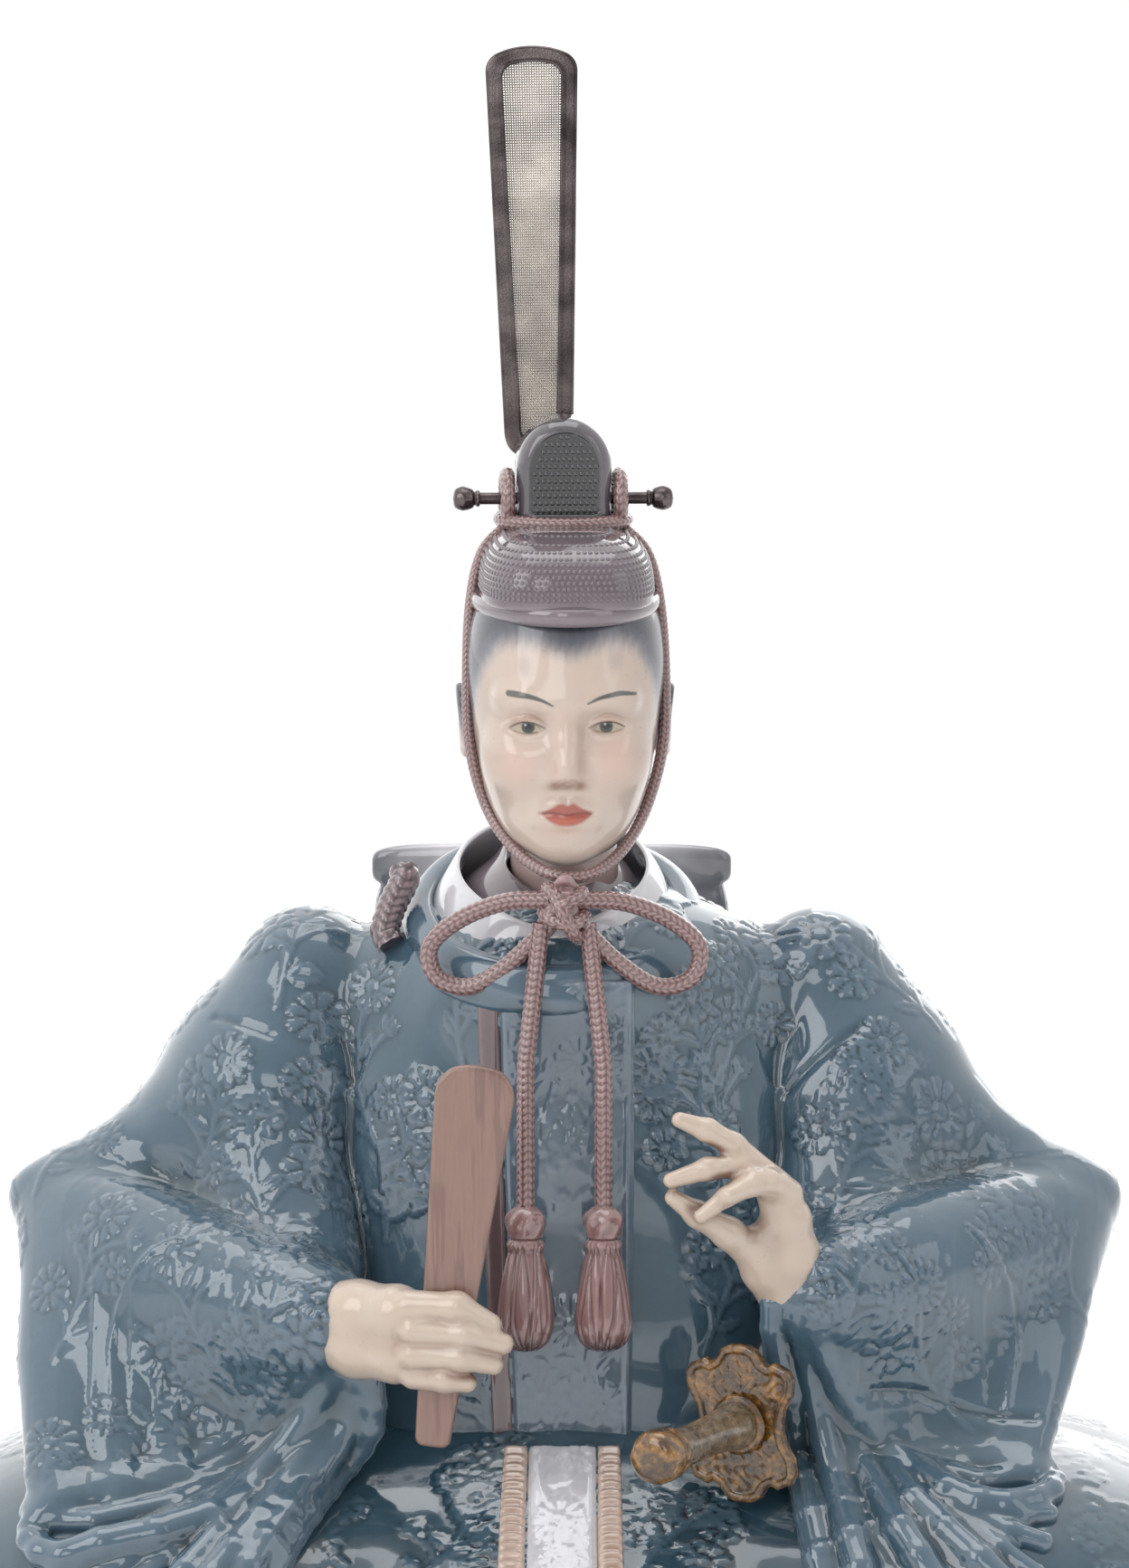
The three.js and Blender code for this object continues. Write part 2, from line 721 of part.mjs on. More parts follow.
const leftHandShares = [
  [[0.04, -0.1, -0.12, 0.72], [0, 0.02, 0, 0.85], [0.06, 0.24, 0.22, 0.82], [0.26, 0.56, 0.62, 0.6]],
  [[0.02, 0.02, 0, 0.8], [0.14, 0.22, 0.2, 0.74], [0.28, 0.42, 0.4, 0.6], [0.3, 0.56, 0.56, 0.5]],
  [[0.3, 0.6, 0.76, 0.4], [0.56, 0.8, 0.91, 0.31], [0.83, 0.88, 0.99, 0.23]],
  [[0.3, 0.68, 0.69, 0.4], [0.59, 0.88, 0.75, 0.33], [0.88, 0.96, 0.72, 0.24]],
  [[0.32, 0.72, 0.6, 0.38], [0.55, 0.92, 0.565, 0.33], [0.71, 0.92, 0.56, 0.26]],
  [[0.34, 0.56, 0.51, 0.35], [0.49, 0.72, 0.455, 0.3], [0.59, 0.76, 0.49, 0.24]],
  [[0.14, 0.2, 0.15, 0.55], [0.36, 0.4, 0.27, 0.44], [0.64, 0.64, 0.455, 0.36], [0.87, 0.84, 0.63, 0.26]],
];
function handBody(wrist, sizes, rows, side, grow) {
  const limbs = rows.map((row) => {
    const beads = placed(wrist, sizes, row, side).map(([x, y, z, r]) => [x, y, z, r + grow]);
    return row[0][3] > 0.6 ? limb(beads, 9, 3) : limb(beads, 6, 3);
  });
  return limbs.reduce((a, b) => a.add(b));
}
const rightHandSizes = [-rightHandReach, -rightHandForward, rightHandHeight, palmGirth];
const leftHandSizes = [-leftHandReach, -leftHandForward, leftHandHeight, palmGirth];
const rightHandBody = (grow) => handBody(rightWristPlace, rightHandSizes, rightHandShares, -1, grow);
const leftHandBody = (grow) => handBody(leftWristPlace, leftHandSizes, leftHandShares, 1, grow);

// Baton: a tapered board with a round top, grown by a clearance where a neighbour is cut
const batonPlace = new THREE.Matrix4()
  .makeTranslation(batonAside, -batonForward, batonFoot)
  .multiply(new THREE.Matrix4().makeRotationX(batonTip))
  .multiply(new THREE.Matrix4().makeRotationY(batonLean));
function batonBody(grow) {
  const bottom = batonFootHalfWidth + grow - batonBevel;
  const top = batonTopHalfWidth + grow - batonBevel;
  const crown = batonLength + grow - batonBevel;
  const round = top * 0.55;
  const outline = new THREE.Shape();
  outline.moveTo(-bottom * 0.5, batonBevel - grow);
  outline.lineTo(bottom * 0.5, batonBevel - grow);
  outline.quadraticCurveTo(bottom, batonBevel - grow, bottom * 1.03, bottom);
  outline.lineTo(top, crown - round);
  outline.bezierCurveTo(top, crown - round * 0.2, top * 0.6, crown, 0, crown);
  outline.bezierCurveTo(-top * 0.6, crown, -top, crown - round * 0.2, -top, crown - round);
  outline.lineTo(-bottom * 1.03, bottom);
  outline.quadraticCurveTo(-bottom, batonBevel - grow, -bottom * 0.5, batonBevel - grow);
  const depth = batonThickness + 2 * grow - 2 * batonBevel;
  const board = new THREE.ExtrudeGeometry(outline, {
    depth,
    bevelSize: batonBevel,
    bevelThickness: batonBevel,
    bevelSegments: 2,
    curveSegments: 6,
  });
  return turned(solidOf(board.translate(0, 0, -depth / 2).rotateX(Math.PI / 2)), batonPlace);
}
const batonCutter = batonBody(gap);

// Sword: built round +Y with the guard on y = 0, then turned into place
const [, , swordLap] = rayOnto(robeForm, [swordAside, -swordForward, yokeLevel], [0, 0, -1]);
const swordPlace = new THREE.Matrix4()
  .makeTranslation(swordAside, -swordForward, swordLap + swordRise)
  .multiply(new THREE.Matrix4().makeRotationZ(-swordTurn))
  .multiply(new THREE.Matrix4().makeRotationX(swordDip));
const rodBody = (radius, from, to, segments) =>
  solidOf(new THREE.CylinderGeometry(radius, radius, to - from, segments).translate(0, (from + to) / 2, 0));
const boreRadius = tangRadius + tangClearance;
const hiltFoot = -guardThickness / 2 - washerThickness - gap;
const pommelFoot = hiltFoot - hiltLength;
const tangHead = hiltFoot - hiltLength * 0.4;
const tangTail = guardThickness / 2 + tangLength;
const tangBody = turned(rodBody(tangRadius, tangHead, tangTail, 16), swordPlace);
const tangSocket = turned(rodBody(boreRadius, tangHead, tangTail + gap, 16), swordPlace);

const guardShares = [
  [0, 1],
  [0.3, 0.94],
  [0.42, 0.8],
  [0.62, 0.8],
  [0.95, 0.62],
  [0.92, 0.38],
  [0.74, 0.12],
];
function guardBody() {
  const quarter = guardShares.map(([x, z]) => [x * guardHalfWidth, z * guardHalfHeight]);
  const half = [...quarter, ...quarter.map(([x, z]) => [x, -z]).reverse()];
  const mirrored = half.slice(1, -1).map(([x, z]) => [-x, z]);
  const outline = new THREE.Shape([...half, ...mirrored.reverse()].map(([x, z]) => new THREE.Vector2(x, z)));
  const plate = new THREE.ExtrudeGeometry(outline, { depth: guardThickness, bevelEnabled: false });
  return solidOf(plate.translate(0, 0, -guardThickness / 2).rotateX(Math.PI / 2));
}
const guard = turned(guardBody(), swordPlace).subtract(tangSocket);
const washerFace = -guardThickness / 2 - gap / 2;
const washer = turned(rodBody(washerRadius, washerFace - washerThickness, washerFace, 20), swordPlace);
const hilt = turned(rodBody(hiltRadius, pommelFoot, hiltFoot, 18), swordPlace);
const pommelProfile = [
  [0, 0],
  [pommelRadius * 0.86, 0],
  [pommelRadius, pommelLength * 0.22],
  [pommelRadius, pommelLength * 0.7],
  [pommelRadius * 0.8, pommelLength * 0.94],
  [0, pommelLength],
];
const pommelTurn = new THREE.Matrix4()
  .makeTranslation(0, pommelFoot - gap, 0)
  .multiply(new THREE.Matrix4().makeRotationX(Math.PI / 2));
const pommel = turned(turned(turnedBody(pommelProfile, 18), pommelTurn), swordPlace);
const guardSweep = turned(
  rodBody(guardHalfHeight + gap, hiltFoot - swordTravel, guardThickness / 2 + gap, 24),
  swordPlace,
);

// Drapes: the cloth that falls from a sleeve's mouth over the lap, a row of beads along each ridge of its folds
const rightDrapeShares = [
  [
    [-0.01, 0.09, -0.03, 0.79], [-0.19, 0.03, 0.38, 0.98], [-0.46, 0.37, 0.64, 1.12],
    [-0.87, 0.53, 0.75, 1.12], [-1.11, 0.46, 0.8, 0.9], [-1.16, 0.29, 0.72, 0.75],
  ],
  [
    [0.02, 0.09, 0, 0.64], [-0.08, -0.02, 0.19, 0.71], [-0.2, -0.02, 0.42, 0.79],
    [-0.42, 0.45, 0.7, 0.82], [-0.66, 0.75, 0.98, 0.98], [-0.83, 0.77, 1.2, 1.01],
  ],
  [
    [0.05, 0.09, -0.01, 0.75], [0, -0.02, 0.2, 0.79], [-0.17, 0.16, 0.51, 0.9],
    [-0.37, 0.58, 0.77, 1.01], [-0.53, 0.79, 1, 1.09], [-0.65, 0.83, 1.23, 1.01],
  ],
  [
    [0.11, 0.09, 0.01, 0.79], [0.06, -0.02, 0.24, 0.9], [-0.07, 0.12, 0.5, 1.01],
    [-0.24, 0.52, 0.74, 1.09], [-0.37, 0.75, 0.97, 1.16], [-0.46, 0.85, 1.23, 1.01],
  ],
  [
    [0.16, 0.09, 0.03, 0.86], [0.15, -0.02, 0.27, 0.9], [0.04, -0.12, 0.46, 1.01],
    [-0.1, 0.25, 0.64, 1.01], [-0.19, 0.52, 0.81, 1.01], [-0.28, 0.75, 1.07, 1.01],
  ],
];
const leftDrapeShares = [
  [
    [0.1, 0.09, -0.33, 0.75], [0.07, -0.02, -0.06, 0.86], [0, -0.15, 0.27, 0.98],
    [-0.03, 0.01, 0.53, 1.01], [-0.08, 0.48, 0.82, 1.09], [-0.15, 0.75, 1.15, 1.09],
  ],
  [
    [-0.02, 0.09, -0.24, 0.71], [-0.06, -0.03, 0.03, 0.82], [-0.11, -0.03, 0.33, 0.94],
    [-0.17, 0.24, 0.61, 1.05], [-0.23, 0.62, 0.86, 1.12], [-0.3, 0.8, 1.11, 1.09],
  ],
  [
    [-0.06, 0.09, -0.24, 0.64], [-0.14, -0.02, 0.08, 0.75], [-0.25, -0.05, 0.43, 0.86],
    [-0.39, 0.47, 0.68, 1.01], [-0.52, 0.7, 0.91, 1.05], [-0.63, 0.81, 1.15, 1.01],
  ],
  [
    [-0.09, 0.09, -0.2, 0.64], [-0.18, -0.02, 0.1, 0.71], [-0.32, -0.13, 0.39, 0.75],
    [-0.44, 0.26, 0.57, 0.86], [-0.69, 0.61, 0.81, 1.05], [-0.87, 0.72, 1.03, 1.01],
  ],
  [
    [-0.12, 0.09, -0.08, 0.6], [-0.25, -0.02, 0.22, 0.67], [-0.44, 0, 0.46, 0.86],
    [-0.69, 0.27, 0.59, 1.01], [-0.91, 0.19, 0.58, 0.9], [-1, -0.02, 0.53, 0.71],
  ],
];
const drapeOut = [0, -Math.sin(drapeLean), Math.cos(drapeLean)];
function drapeBody(side) {
  const start = [drapeAside, -drapeStart, drapeLevel];
  const sizes = [-drapeReach, -drapeForward, -drapeDrop, drapeGirth];
  const shares = side < 0 ? rightDrapeShares : leftDrapeShares;
  const ridges = shares.map((row) => placed(start, sizes, row, side));
  const folds = ridges.length - 1;
  const steps = ridges[0].length - 1;
  const cloth = (u, v) => {
    const i = Math.min(Math.floor(u * folds), folds - 1);
    const j = Math.min(Math.floor(v * steps), steps - 1);
    const ridgeAt = (k) => between(ridges[k][j], ridges[k][j + 1], v * steps - j);
    const [x, y, z, girth] = between(ridgeAt(i), ridgeAt(i + 1), u * folds - i);
    const wave = Math.cos(2 * Math.PI * u * folds);
    return [x, y, z, girth * (1 - foldDepth * (1 - wave))];
  };
  const upper = (u, v) => {
    const [x, y, z, rise] = cloth(u, v);
    const top = drapeOut.map((n, axis) => [x, y, z][axis] + n * rise);
    const above = drapeOut.map((n, axis) => [x, y, z][axis] + n * drapeDrop);
    const lap = rayOnto(robeForm, above, drapeOut.map((n) => -n), drapeGirth / 2);
    return lap[2] > top[2] ? lap : top;
  };
  const lower = (u, v) => {
    const [x, y, z] = cloth(u, v);
    return drapeOut.map((n, axis) => [x, y, z][axis] - n * drapeThickness);
  };
  return slab(4 * folds, steps, lower, upper);
}

for (const [side, name, hand, cutter] of [
  [-1, "right", rightHandBody, batonCutter],
  [1, "left", leftHandBody, tangSocket.add(guardSweep)],
]) {
  const cuffCutter = cuffBody(side, gap);
  const handCutter = hand(gap);
  const sleeve = clearOf(sleeveBody(side, 0), torsoCutter, cuffCutter);
  const cuff = clearOf(cuffBody(side, 0), torsoCutter, robeCutter, handCutter, cutter);
  const drape = clearOf(drapeBody(side), robeCutter, torsoCutter, cuffCutter, handCutter, cutter);
  add(doll, name + "_sleeve", sleeve, glazeBlue);
  add(doll, name + "_cuff", cuff, glazeBlue);
  add(doll, name + "_drape", drape, glazeDeep);
  add(doll, name + "_hand", clearOf(hand(0), cutter), glazeSkin);
}
add(doll, "robe_skirt", robe, glazeDeep);
add(doll, "torso", torso, glazeBlue);
add(baton, "baton", batonBody(0), glazeWood);
add(sword, "sword_guard", guard, glazeAmber);
add(sword, "sword_washer", washer.subtract(tangSocket), glazeAmber);
add(sword, "sword_hilt", hilt.subtract(tangSocket), glazeAmber);
add(sword, "sword_pommel", pommel, glazeAmber);
add(sword, "sword_tang", tangBody, darkMetal);

// Head: built round its own middle at eye level, then bowed and turned
const headPlace = new THREE.Matrix4()
  .makeTranslation(headAside, -headForward, eyeLevel)
  .multiply(new THREE.Matrix4().makeRotationZ(headTurn))
  .multiply(new THREE.Matrix4().makeRotationX(headBow));
const faceFront = -faceHalfDepth * 1.27;
const ear = (side) =>
  pillow(
    [side * (skullHalfWidth + noseWidth * 0.2), noseWidth, -earHalfHeight * 0.2],
    [earHalfHeight * 0.3, earHalfHeight * 0.55, earHalfHeight],
  );
const skullRadii = [skullHalfWidth, skullHalfDepth, skullHalfHeight];
const faceRadii = [faceHalfWidth, faceHalfDepth, faceHalfHeight];
const jawRadii = [jawHalfWidth, jawHalfDepth, jawHalfHeight];
const headForm = joined(
  headBlend,
  pillow([0, skullHalfDepth * 0.14, skullHalfHeight * 0.34], skullRadii),
  pillow([0, -faceHalfDepth * 0.3, -faceHalfHeight * 0.05], faceRadii, 2.3),
  pillow([0, -jawHalfDepth * 1.25, -jawHalfHeight * 2.05], jawRadii, 2.2),
);
const noseForm = chain([
  [0, faceFront + noseWidth * 0.6, noseWidth * 0.4, noseWidth * 0.5],
  [0, faceFront - noseWidth * 0.5, -noseLength * 0.78, noseWidth],
]);
const faceForm = joined(headBlend / 3, headForm, noseForm, ear(-1), ear(1));
const headSpine = [
  [0, 0, -faceHalfHeight * 0.4],
  [0, 0, faceHalfHeight * 0.6],
];
const headSectors = 22;
const headBody = skin(faceForm, headSpine, headSectors, 8, 4);

// Chin cord: down both cheeks and under the chin, in shares of the skull's half sizes
const chinShares = [
  [0.6, 0.36, 1.55],
  [0.86, 0.24, 1.34],
  [0.985, 0.12, 0.96],
  [1.03, 0, 0.4],
  [1.02, -0.1, -0.2],
  [0.9, -0.28, -0.72],
  [0.58, -0.62, -1.1],
  [0.2, -0.93, -1.26],
];
const chinHalf = chinShares.map(([x, y, z]) => [x * skullHalfWidth, y * skullHalfDepth, z * skullHalfHeight]);
const chinRoute = [...chinHalf.map(([x, y, z]) => [-x, y, z]), ...[...chinHalf].reverse()];
const chinBody = (grow) => {
  const radius = chinCordRadius + grow;
  return limb(chinRoute.map((point) => [...point, radius]), 6, 32);
};

// Cap: crown, brim, comb and the cord round the comb's foot
const crownForm = pillow([0, crownBack, crownLevel], [crownHalfWidth, crownHalfDepth, crownHalfHeight], 3.4);
const crownSpine = [
  [0, crownBack, crownLevel],
  [0, crownBack, crownLevel + crownHalfHeight / 2],
];
const crownSectors = 20;
const crownBody = (grow) => skin(grown(crownForm, grow), crownSpine, crownSectors, 1, 4);
const brimRing = hoop(
  crownHalfWidth,
  crownHalfDepth,
  brimHalfThickness,
  brimHalfHeight,
  26,
  6,
).translate(0, crownBack, brimLevel);

function combBody(grow) {
  const outline = new THREE.Shape();
  const points = 20;
  const foot = combLevel - grow;
  outline.moveTo(-combHalfWidth - grow, foot);
  for (let i = 1; i < points; i++) {
    const turn = Math.PI * (1 - i / points);
    const x = Math.sign(Math.cos(turn)) * Math.abs(Math.cos(turn)) ** 0.8 * (combHalfWidth + grow);
    outline.lineTo(x, foot + Math.sin(turn) ** 0.9 * (combHeight + 2 * grow));
  }
  outline.lineTo(combHalfWidth + grow, foot);
  const depth = combDepth - 2 * combBevel;
  const block = new THREE.ExtrudeGeometry(outline, {
    depth,
    bevelSize: combBevel,
    bevelOffset: -combBevel,
    bevelThickness: combBevel + grow,
    bevelSegments: 2,
  });
  return solidOf(block.translate(0, 0, -depth / 2).rotateX(Math.PI / 2).translate(0, combBack, 0));
}
const pinAt = (body) => body.rotate([0, 0, 90]).translate(0, combBack, pinLevel);
const pinReach = pinLength / 2 - ballRadius;
const pinRod = (radius, reach) => pinAt(rodBody(radius, -reach, reach, 14));
const pinBore = pinRod(pinRadius + pinClearance, pinReach + overrun);
const ballBody = (side) =>
  solidOf(new THREE.SphereGeometry(ballRadius, 12, 7)).translate(
    side * (pinReach + ballRadius + gap / 2),
    combBack,
    pinLevel,
  );
const capCordRing = (grow) =>
  hoop(capCordHalfWidth, capCordHalfDepth, capCordRadius + grow, capCordRadius + grow, 20, 6).translate(
    0,
    combBack,
    capCordLevel,
  );
const cordLoop = (side) =>
  hoop(loopHalfHeight - loopRadius, loopHalfHeight - loopRadius * 1.6, loopRadius, loopHalfWidth, 12, 6)
    .rotate([0, 90, 0])
    .translate(side * (combHalfWidth + loopHalfWidth), combBack, pinLevel);

const onHead = (solid) => turned(solid, headPlace);
const crownFoot = brimLevel + brimHalfHeight + gap / 2;
const headCutter = skin(grown(faceForm, 4 * gap), headSpine, 16, 5, 3);
const chinCutter = chinBody(gap);
const comb = largest(combBody(0).subtract(crownBody(gap))).subtract(pinBore);
const crownDome = crownBody(0).trimByPlane([0, 0, 1], crownFoot);
const crown = clearOf(crownDome, headCutter, chinCutter, capCordRing(gap));
const loopBody = (side) => clearOf(cordLoop(side), combBody(gap), pinBore, capCordRing(gap));
add(doll, "head", onHead(clearOf(headBody, chinCutter)), glazeSkin);
add(doll, "cap_crown", onHead(crown), glazeTaupe);
const brim = clearOf(brimRing.trimByPlane([0, 0, -1], gap - crownFoot), headCutter, chinCutter);
add(doll, "cap_brim", onHead(brim), glazeTaupe);
add(doll, "cap_comb", onHead(comb), glazeSmoke);
add(doll, "cap_cord", onHead(clearOf(capCordRing(0), combBody(gap))), glazeMauve);
add(doll, "right_cord_loop", onHead(loopBody(-1)), glazeMauve);
add(doll, "left_cord_loop", onHead(loopBody(1)), glazeMauve);
add(doll, "chin_cord", onHead(clearOf(chinBody(0), capCordRing(gap))), glazeMauve);
add(hairpin, "pin_rod", onHead(pinRod(pinRadius, pinReach)), darkMetal);
add(hairpin, "right_pin_ball", onHead(ballBody(-1)), darkMetal);
add(hairpin, "left_pin_ball", onHead(ballBody(1)), darkMetal);

// Neck and collars
const collarPlace = new THREE.Matrix4()
  .makeTranslation(collarAside, -collarForward, collarLevel)
  .multiply(new THREE.Matrix4().makeRotationX(collarTilt));
const headBlock = onHead(headCutter.add(chinCutter));
const collarRing = (grow) =>
  turned(
    hoop(collarHalfWidth, collarHalfDepth, collarHalfThickness + grow, collarHalfHeight + grow, 28, 6),
    collarPlace,
  );
const innerCollar = (step, grow) =>
  turned(
    hoop(
      collarHalfWidth - innerCollarStep * step - innerCollarTaper / 2,
      collarHalfDepth - innerCollarStep * step - innerCollarTaper / 2,
      innerCollarThickness / 2 + grow,
      innerCollarHeight / 2 + grow,
      24,
      6,
      -innerCollarTaper / 2,
    ).translate(0, 0, collarHalfHeight * (0.4 + 0.3 * step)),
    collarPlace,
  );
const neck = clearOf(neckBody(0), headBlock, torsoCutter);
add(doll, "neck", neck, glazeSkin);
add(doll, "collar", clearOf(collarRing(0), torsoCutter), glazeBlue);
const outerStepShare = 0.2;
const greyCollar = clearOf(innerCollar(outerStepShare, 0), torsoCutter, collarRing(gap), headBlock);
add(doll, "grey_inner_collar", greyCollar, glazeTaupe);
const whiteBlock = innerCollar(outerStepShare, gap).add(collarRing(gap)).add(headBlock);
add(doll, "white_inner_collar", clearOf(innerCollar(1, 0), torsoCutter, whiteBlock), glazeWhite);

// Bow, cords and tassels, which lie against the chest and the collar
const collarForm = (p) => {
  const place = new THREE.Vector3(...p).applyMatrix4(collarPlace.clone().invert());
  const radial = (Math.hypot(place.x / collarHalfWidth, place.y / collarHalfDepth) - 1) * collarHalfWidth;
  const share = Math.hypot(radial / collarHalfThickness, place.z / collarHalfHeight);
  return (share - 1) * collarHalfThickness;
};
const frontForm = joined(collarHalfThickness, torsoForm, collarForm);
const onFront = (x, z, lift) => rayOnto(frontForm, [x, -robeHalfDepth, z], [0, 1, 0], lift);
const cordLift = bowCordRadius + panelThickness + 2 * gap;
const bowSagShare = 0.24; // how far the loops fall back towards the chest, for each length that they spread

// A place on the chest or, near the knot, hanging free in front of the collar
function hung(x, z) {
  const [, chest] = onFront(x, z, cordLift);
  const free = -knotForward + Math.abs(x) * bowSagShare;
  return [x, z > knotLevel - bowDrop ? Math.min(chest, free) : chest, z];
}

// Places in shares of the bow's reach and drop, from the knot outwards and back
const bowShares = [
  [0.14, 0.06],
  [0.42, 0.02],
  [0.74, -0.2],
  [0.93, -0.54],
  [0.88, -0.9],
  [0.66, -0.98],
  [0.38, -0.66],
  [0.16, -0.22],
];
const bowBody = (side, grow) =>
  limb(
    bowShares.map(([x, z]) => {
      return [...hung(side * x * bowReach, knotLevel + z * bowDrop), bowCordRadius + grow];
    }),
    7,
    14,
  );
const knotCentre = [0, -knotForward, knotLevel];
const knotBody = (grow) =>
  skin(
    pillow(knotCentre, [knotHalfWidth + grow, knotHalfDepth + grow, knotHalfHeight + grow], 2.6),
    [knotCentre, [knotCentre[0], knotCentre[1], knotCentre[2] + knotHalfHeight / 4]],
    12,
    1,
    4,
  );
const cordShares = [0, 0.25, 0.5, 0.75, 1];
const hangingBody = (side, grow) =>
  limb(
    cordShares.map((share) => {
      const x = side * cordSpread * (0.6 + 0.4 * Math.min(share * 2, 1));
      return [...hung(x, cordTop + (cordFoot - cordTop) * share), bowCordRadius + grow];
    }),
    8,
    8,
    false,
  );
const tasselProfile = [
  [0, 0],
  [tasselRadius * 0.94, 0],
  [tasselRadius, tasselLength * 0.2],
  [tasselRadius * 0.9, tasselLength * 0.55],
  [tasselNeck, tasselLength],
  [0, tasselLength],
];
const beadProfile = [
  [0, 0],
  [beadRadius * 0.8, 0],
  [beadRadius, beadHeight * 0.3],
  [beadRadius, beadHeight * 0.7],
  [bowCordRadius * 1.2, beadHeight],
  [0, beadHeight],
];
const tasselLift = tasselRadius + panelThickness + 2 * gap;
const neckBlock = collarRing(gap).add(torsoCutter);
for (const [side, name] of [
  [-1, "right"],
  [1, "left"],
]) {
  const x = side * cordSpread;
  const beadFoot = cordFoot - beadHeight;
  const rests = [0, 0.5, 1].map((share) => onFront(x, beadFoot - tasselLength * share, tasselLift)[1]);
  const y = Math.min(...rests);
  const bead = turnedBody(beadProfile, 12).translate(x, y, beadFoot - gap / 2);
  const tassel = turnedBody(tasselProfile, 12).translate(x, y, beadFoot - tasselLength - gap);
  const cordBlock = knotBody(gap).add(bowBody(side, gap)).add(bead.translate(0, 0, gap));
  const cord = clearOf(hangingBody(side, 0), cordBlock, neckBlock);
  add(doll, name + "_bow_loop", clearOf(bowBody(side, 0), knotBody(gap), neckBlock), glazeMauve);
  add(doll, name + "_hanging_cord", cord, glazeMauve);
  add(doll, name + "_cord_bead", bead, glazeMauve);
  add(doll, name + "_tassel", tassel, glazeMauve);
}
const chestBlock = onHead(chinCutter).add(neckBlock);
add(doll, "bow_knot", clearOf(knotBody(0), chestBlock), glazeMauve);

// Panels laid on the chest and the lap
function chestPanel(left, right, columns) {
  const place = (lift) => (across, up) =>
    rayOnto(
      torsoForm,
      [left + (right - left) * across, -robeHalfDepth, panelFoot + (panelTop - panelFoot) * up],
      [0, 1, 0],
      lift,
    );
  const panel = slab(columns, 7, place(gap), place(gap + panelThickness));
  return clearOf(panel, torsoCutter, collarRing(gap), robeCutter);
}
add(doll, "front_panel", chestPanel(panelRightEdge, panelLeftEdge, 4), glazeBlue);
const liningEdge = panelRightEdge - gap;
add(doll, "front_lining", chestPanel(liningEdge - liningWidth, liningEdge, 1), glazeBrown);

// A strip over the lap, cast from the middle of the robe's floor in the direction that each row leans
function lapPanel(left, right, columns) {
  const place = (lift) => (across, along) => {
    const x = left + (right - left) * across;
    const lean = (0.06 + 0.6 * along) * (Math.PI / 2);
    const direction = [0, -Math.cos(lean), Math.sin(lean)];
    const run = rayOut(robeForm, [x, 0, 0], direction) + lift;
    return [x, direction[1] * run, direction[2] * run];
  };
  return clearOf(slab(columns, 10, place(gap), place(gap + panelThickness)), torsoCutter, robeCutter);
}
add(doll, "sash", lapPanel(-sashHalfWidth, sashHalfWidth, 2), glazeWhite);
for (const [side, name] of [
  [-1, "right"],
  [1, "left"],
]) {
  const edges = [sashHalfWidth + gap, sashHalfWidth + gap + sashBorder].map((x) => side * x);
  add(doll, name + "_sash_border", lapPanel(Math.min(...edges), Math.max(...edges), 1), glazeSand);
}

// Folded train down the back, and the button of the round collar
function trainBody() {
  const outline = new THREE.Shape();
  const w = trainHalfWidth;
  const c = trainCorner;
  outline.moveTo(-w, trainFoot);
  outline.lineTo(w, trainFoot);
  outline.lineTo(w, trainTop - c);
  outline.quadraticCurveTo(w, trainTop, w - c, trainTop);
  outline.lineTo(c - w, trainTop);
  outline.quadraticCurveTo(-w, trainTop, -w, trainTop - c);
  const board = new THREE.ExtrudeGeometry(outline, {
    depth: trainThickness - 2 * panelThickness,
    bevelSize: panelThickness,
    bevelOffset: -panelThickness,
    bevelThickness: panelThickness,
    bevelSegments: 1,
    curveSegments: 3,
  });
  return solidOf(board.rotateX(Math.PI / 2).translate(trainAside, trainBack, 0));
}
add(doll, "folded_train", clearOf(trainBody(), torsoCutter, robeCutter, collarRing(gap)), glazeWhite);
const buttonShares = [
  [-1, -0.2, 1.05],
  [-1.12, -0.3, 0.5],
  [-1.1, -0.38, -0.2],
];
const buttonBeads = buttonShares.map(([x, y, z]) => [
  collarAside + x * (collarHalfWidth + buttonRadius),
  y * collarHalfDepth,
  collarLevel + z * (collarHalfHeight + buttonRadius),
  buttonRadius,
]);
const buttonBlock = neckBlock.add(sleeveBody(-1, gap)).add(bowBody(-1, gap));
add(doll, "collar_button", clearOf(limb(buttonBeads, 8, 5), buttonBlock), glazeSmoke);

// Tail: an arched frame with a net in a groove, on a tongue that drops into a socket behind the comb
function tailOutline(inset) {
  const foot = tailFootHalfWidth - inset;
  const top = tailTopHalfWidth - inset;
  const low = inset;
  const high = tailHeight - inset;
  const corner = Math.max(tailCorner - inset, tailBevel);
  const outline = new THREE.Shape();
  outline.moveTo(corner - foot, low);
  outline.lineTo(foot - corner, low);
  outline.quadraticCurveTo(foot, low, foot, low + corner);
  outline.lineTo(top, high - tailArch);
  outline.quadraticCurveTo(top * 0.6, high, 0, high);
  outline.quadraticCurveTo(-top * 0.6, high, -top, high - tailArch);
  outline.lineTo(-foot, low + corner);
  outline.quadraticCurveTo(-foot, low, corner - foot, low);
  return outline;
}
function plate(outline, thickness, bevel = 0) {
  const depth = thickness - 2 * bevel;
  const board = new THREE.ExtrudeGeometry(outline, {
    depth,
    bevelEnabled: bevel > 0,
    bevelSize: bevel,
    bevelOffset: -bevel,
    bevelThickness: bevel,
    bevelSegments: 1,
    curveSegments: 5,
  });
  return solidOf(board.translate(0, 0, -depth / 2).rotateX(Math.PI / 2));
}
const tailPlace = new THREE.Matrix4()
  .makeTranslation(tailAside, tailBack - headForward, tailFoot)
  .multiply(new THREE.Matrix4().makeRotationY(-tailLean));
const onTail = (solid) => turned(solid, tailPlace);
const frameOutline = tailOutline(0);
frameOutline.holes.push(tailOutline(tailBar));
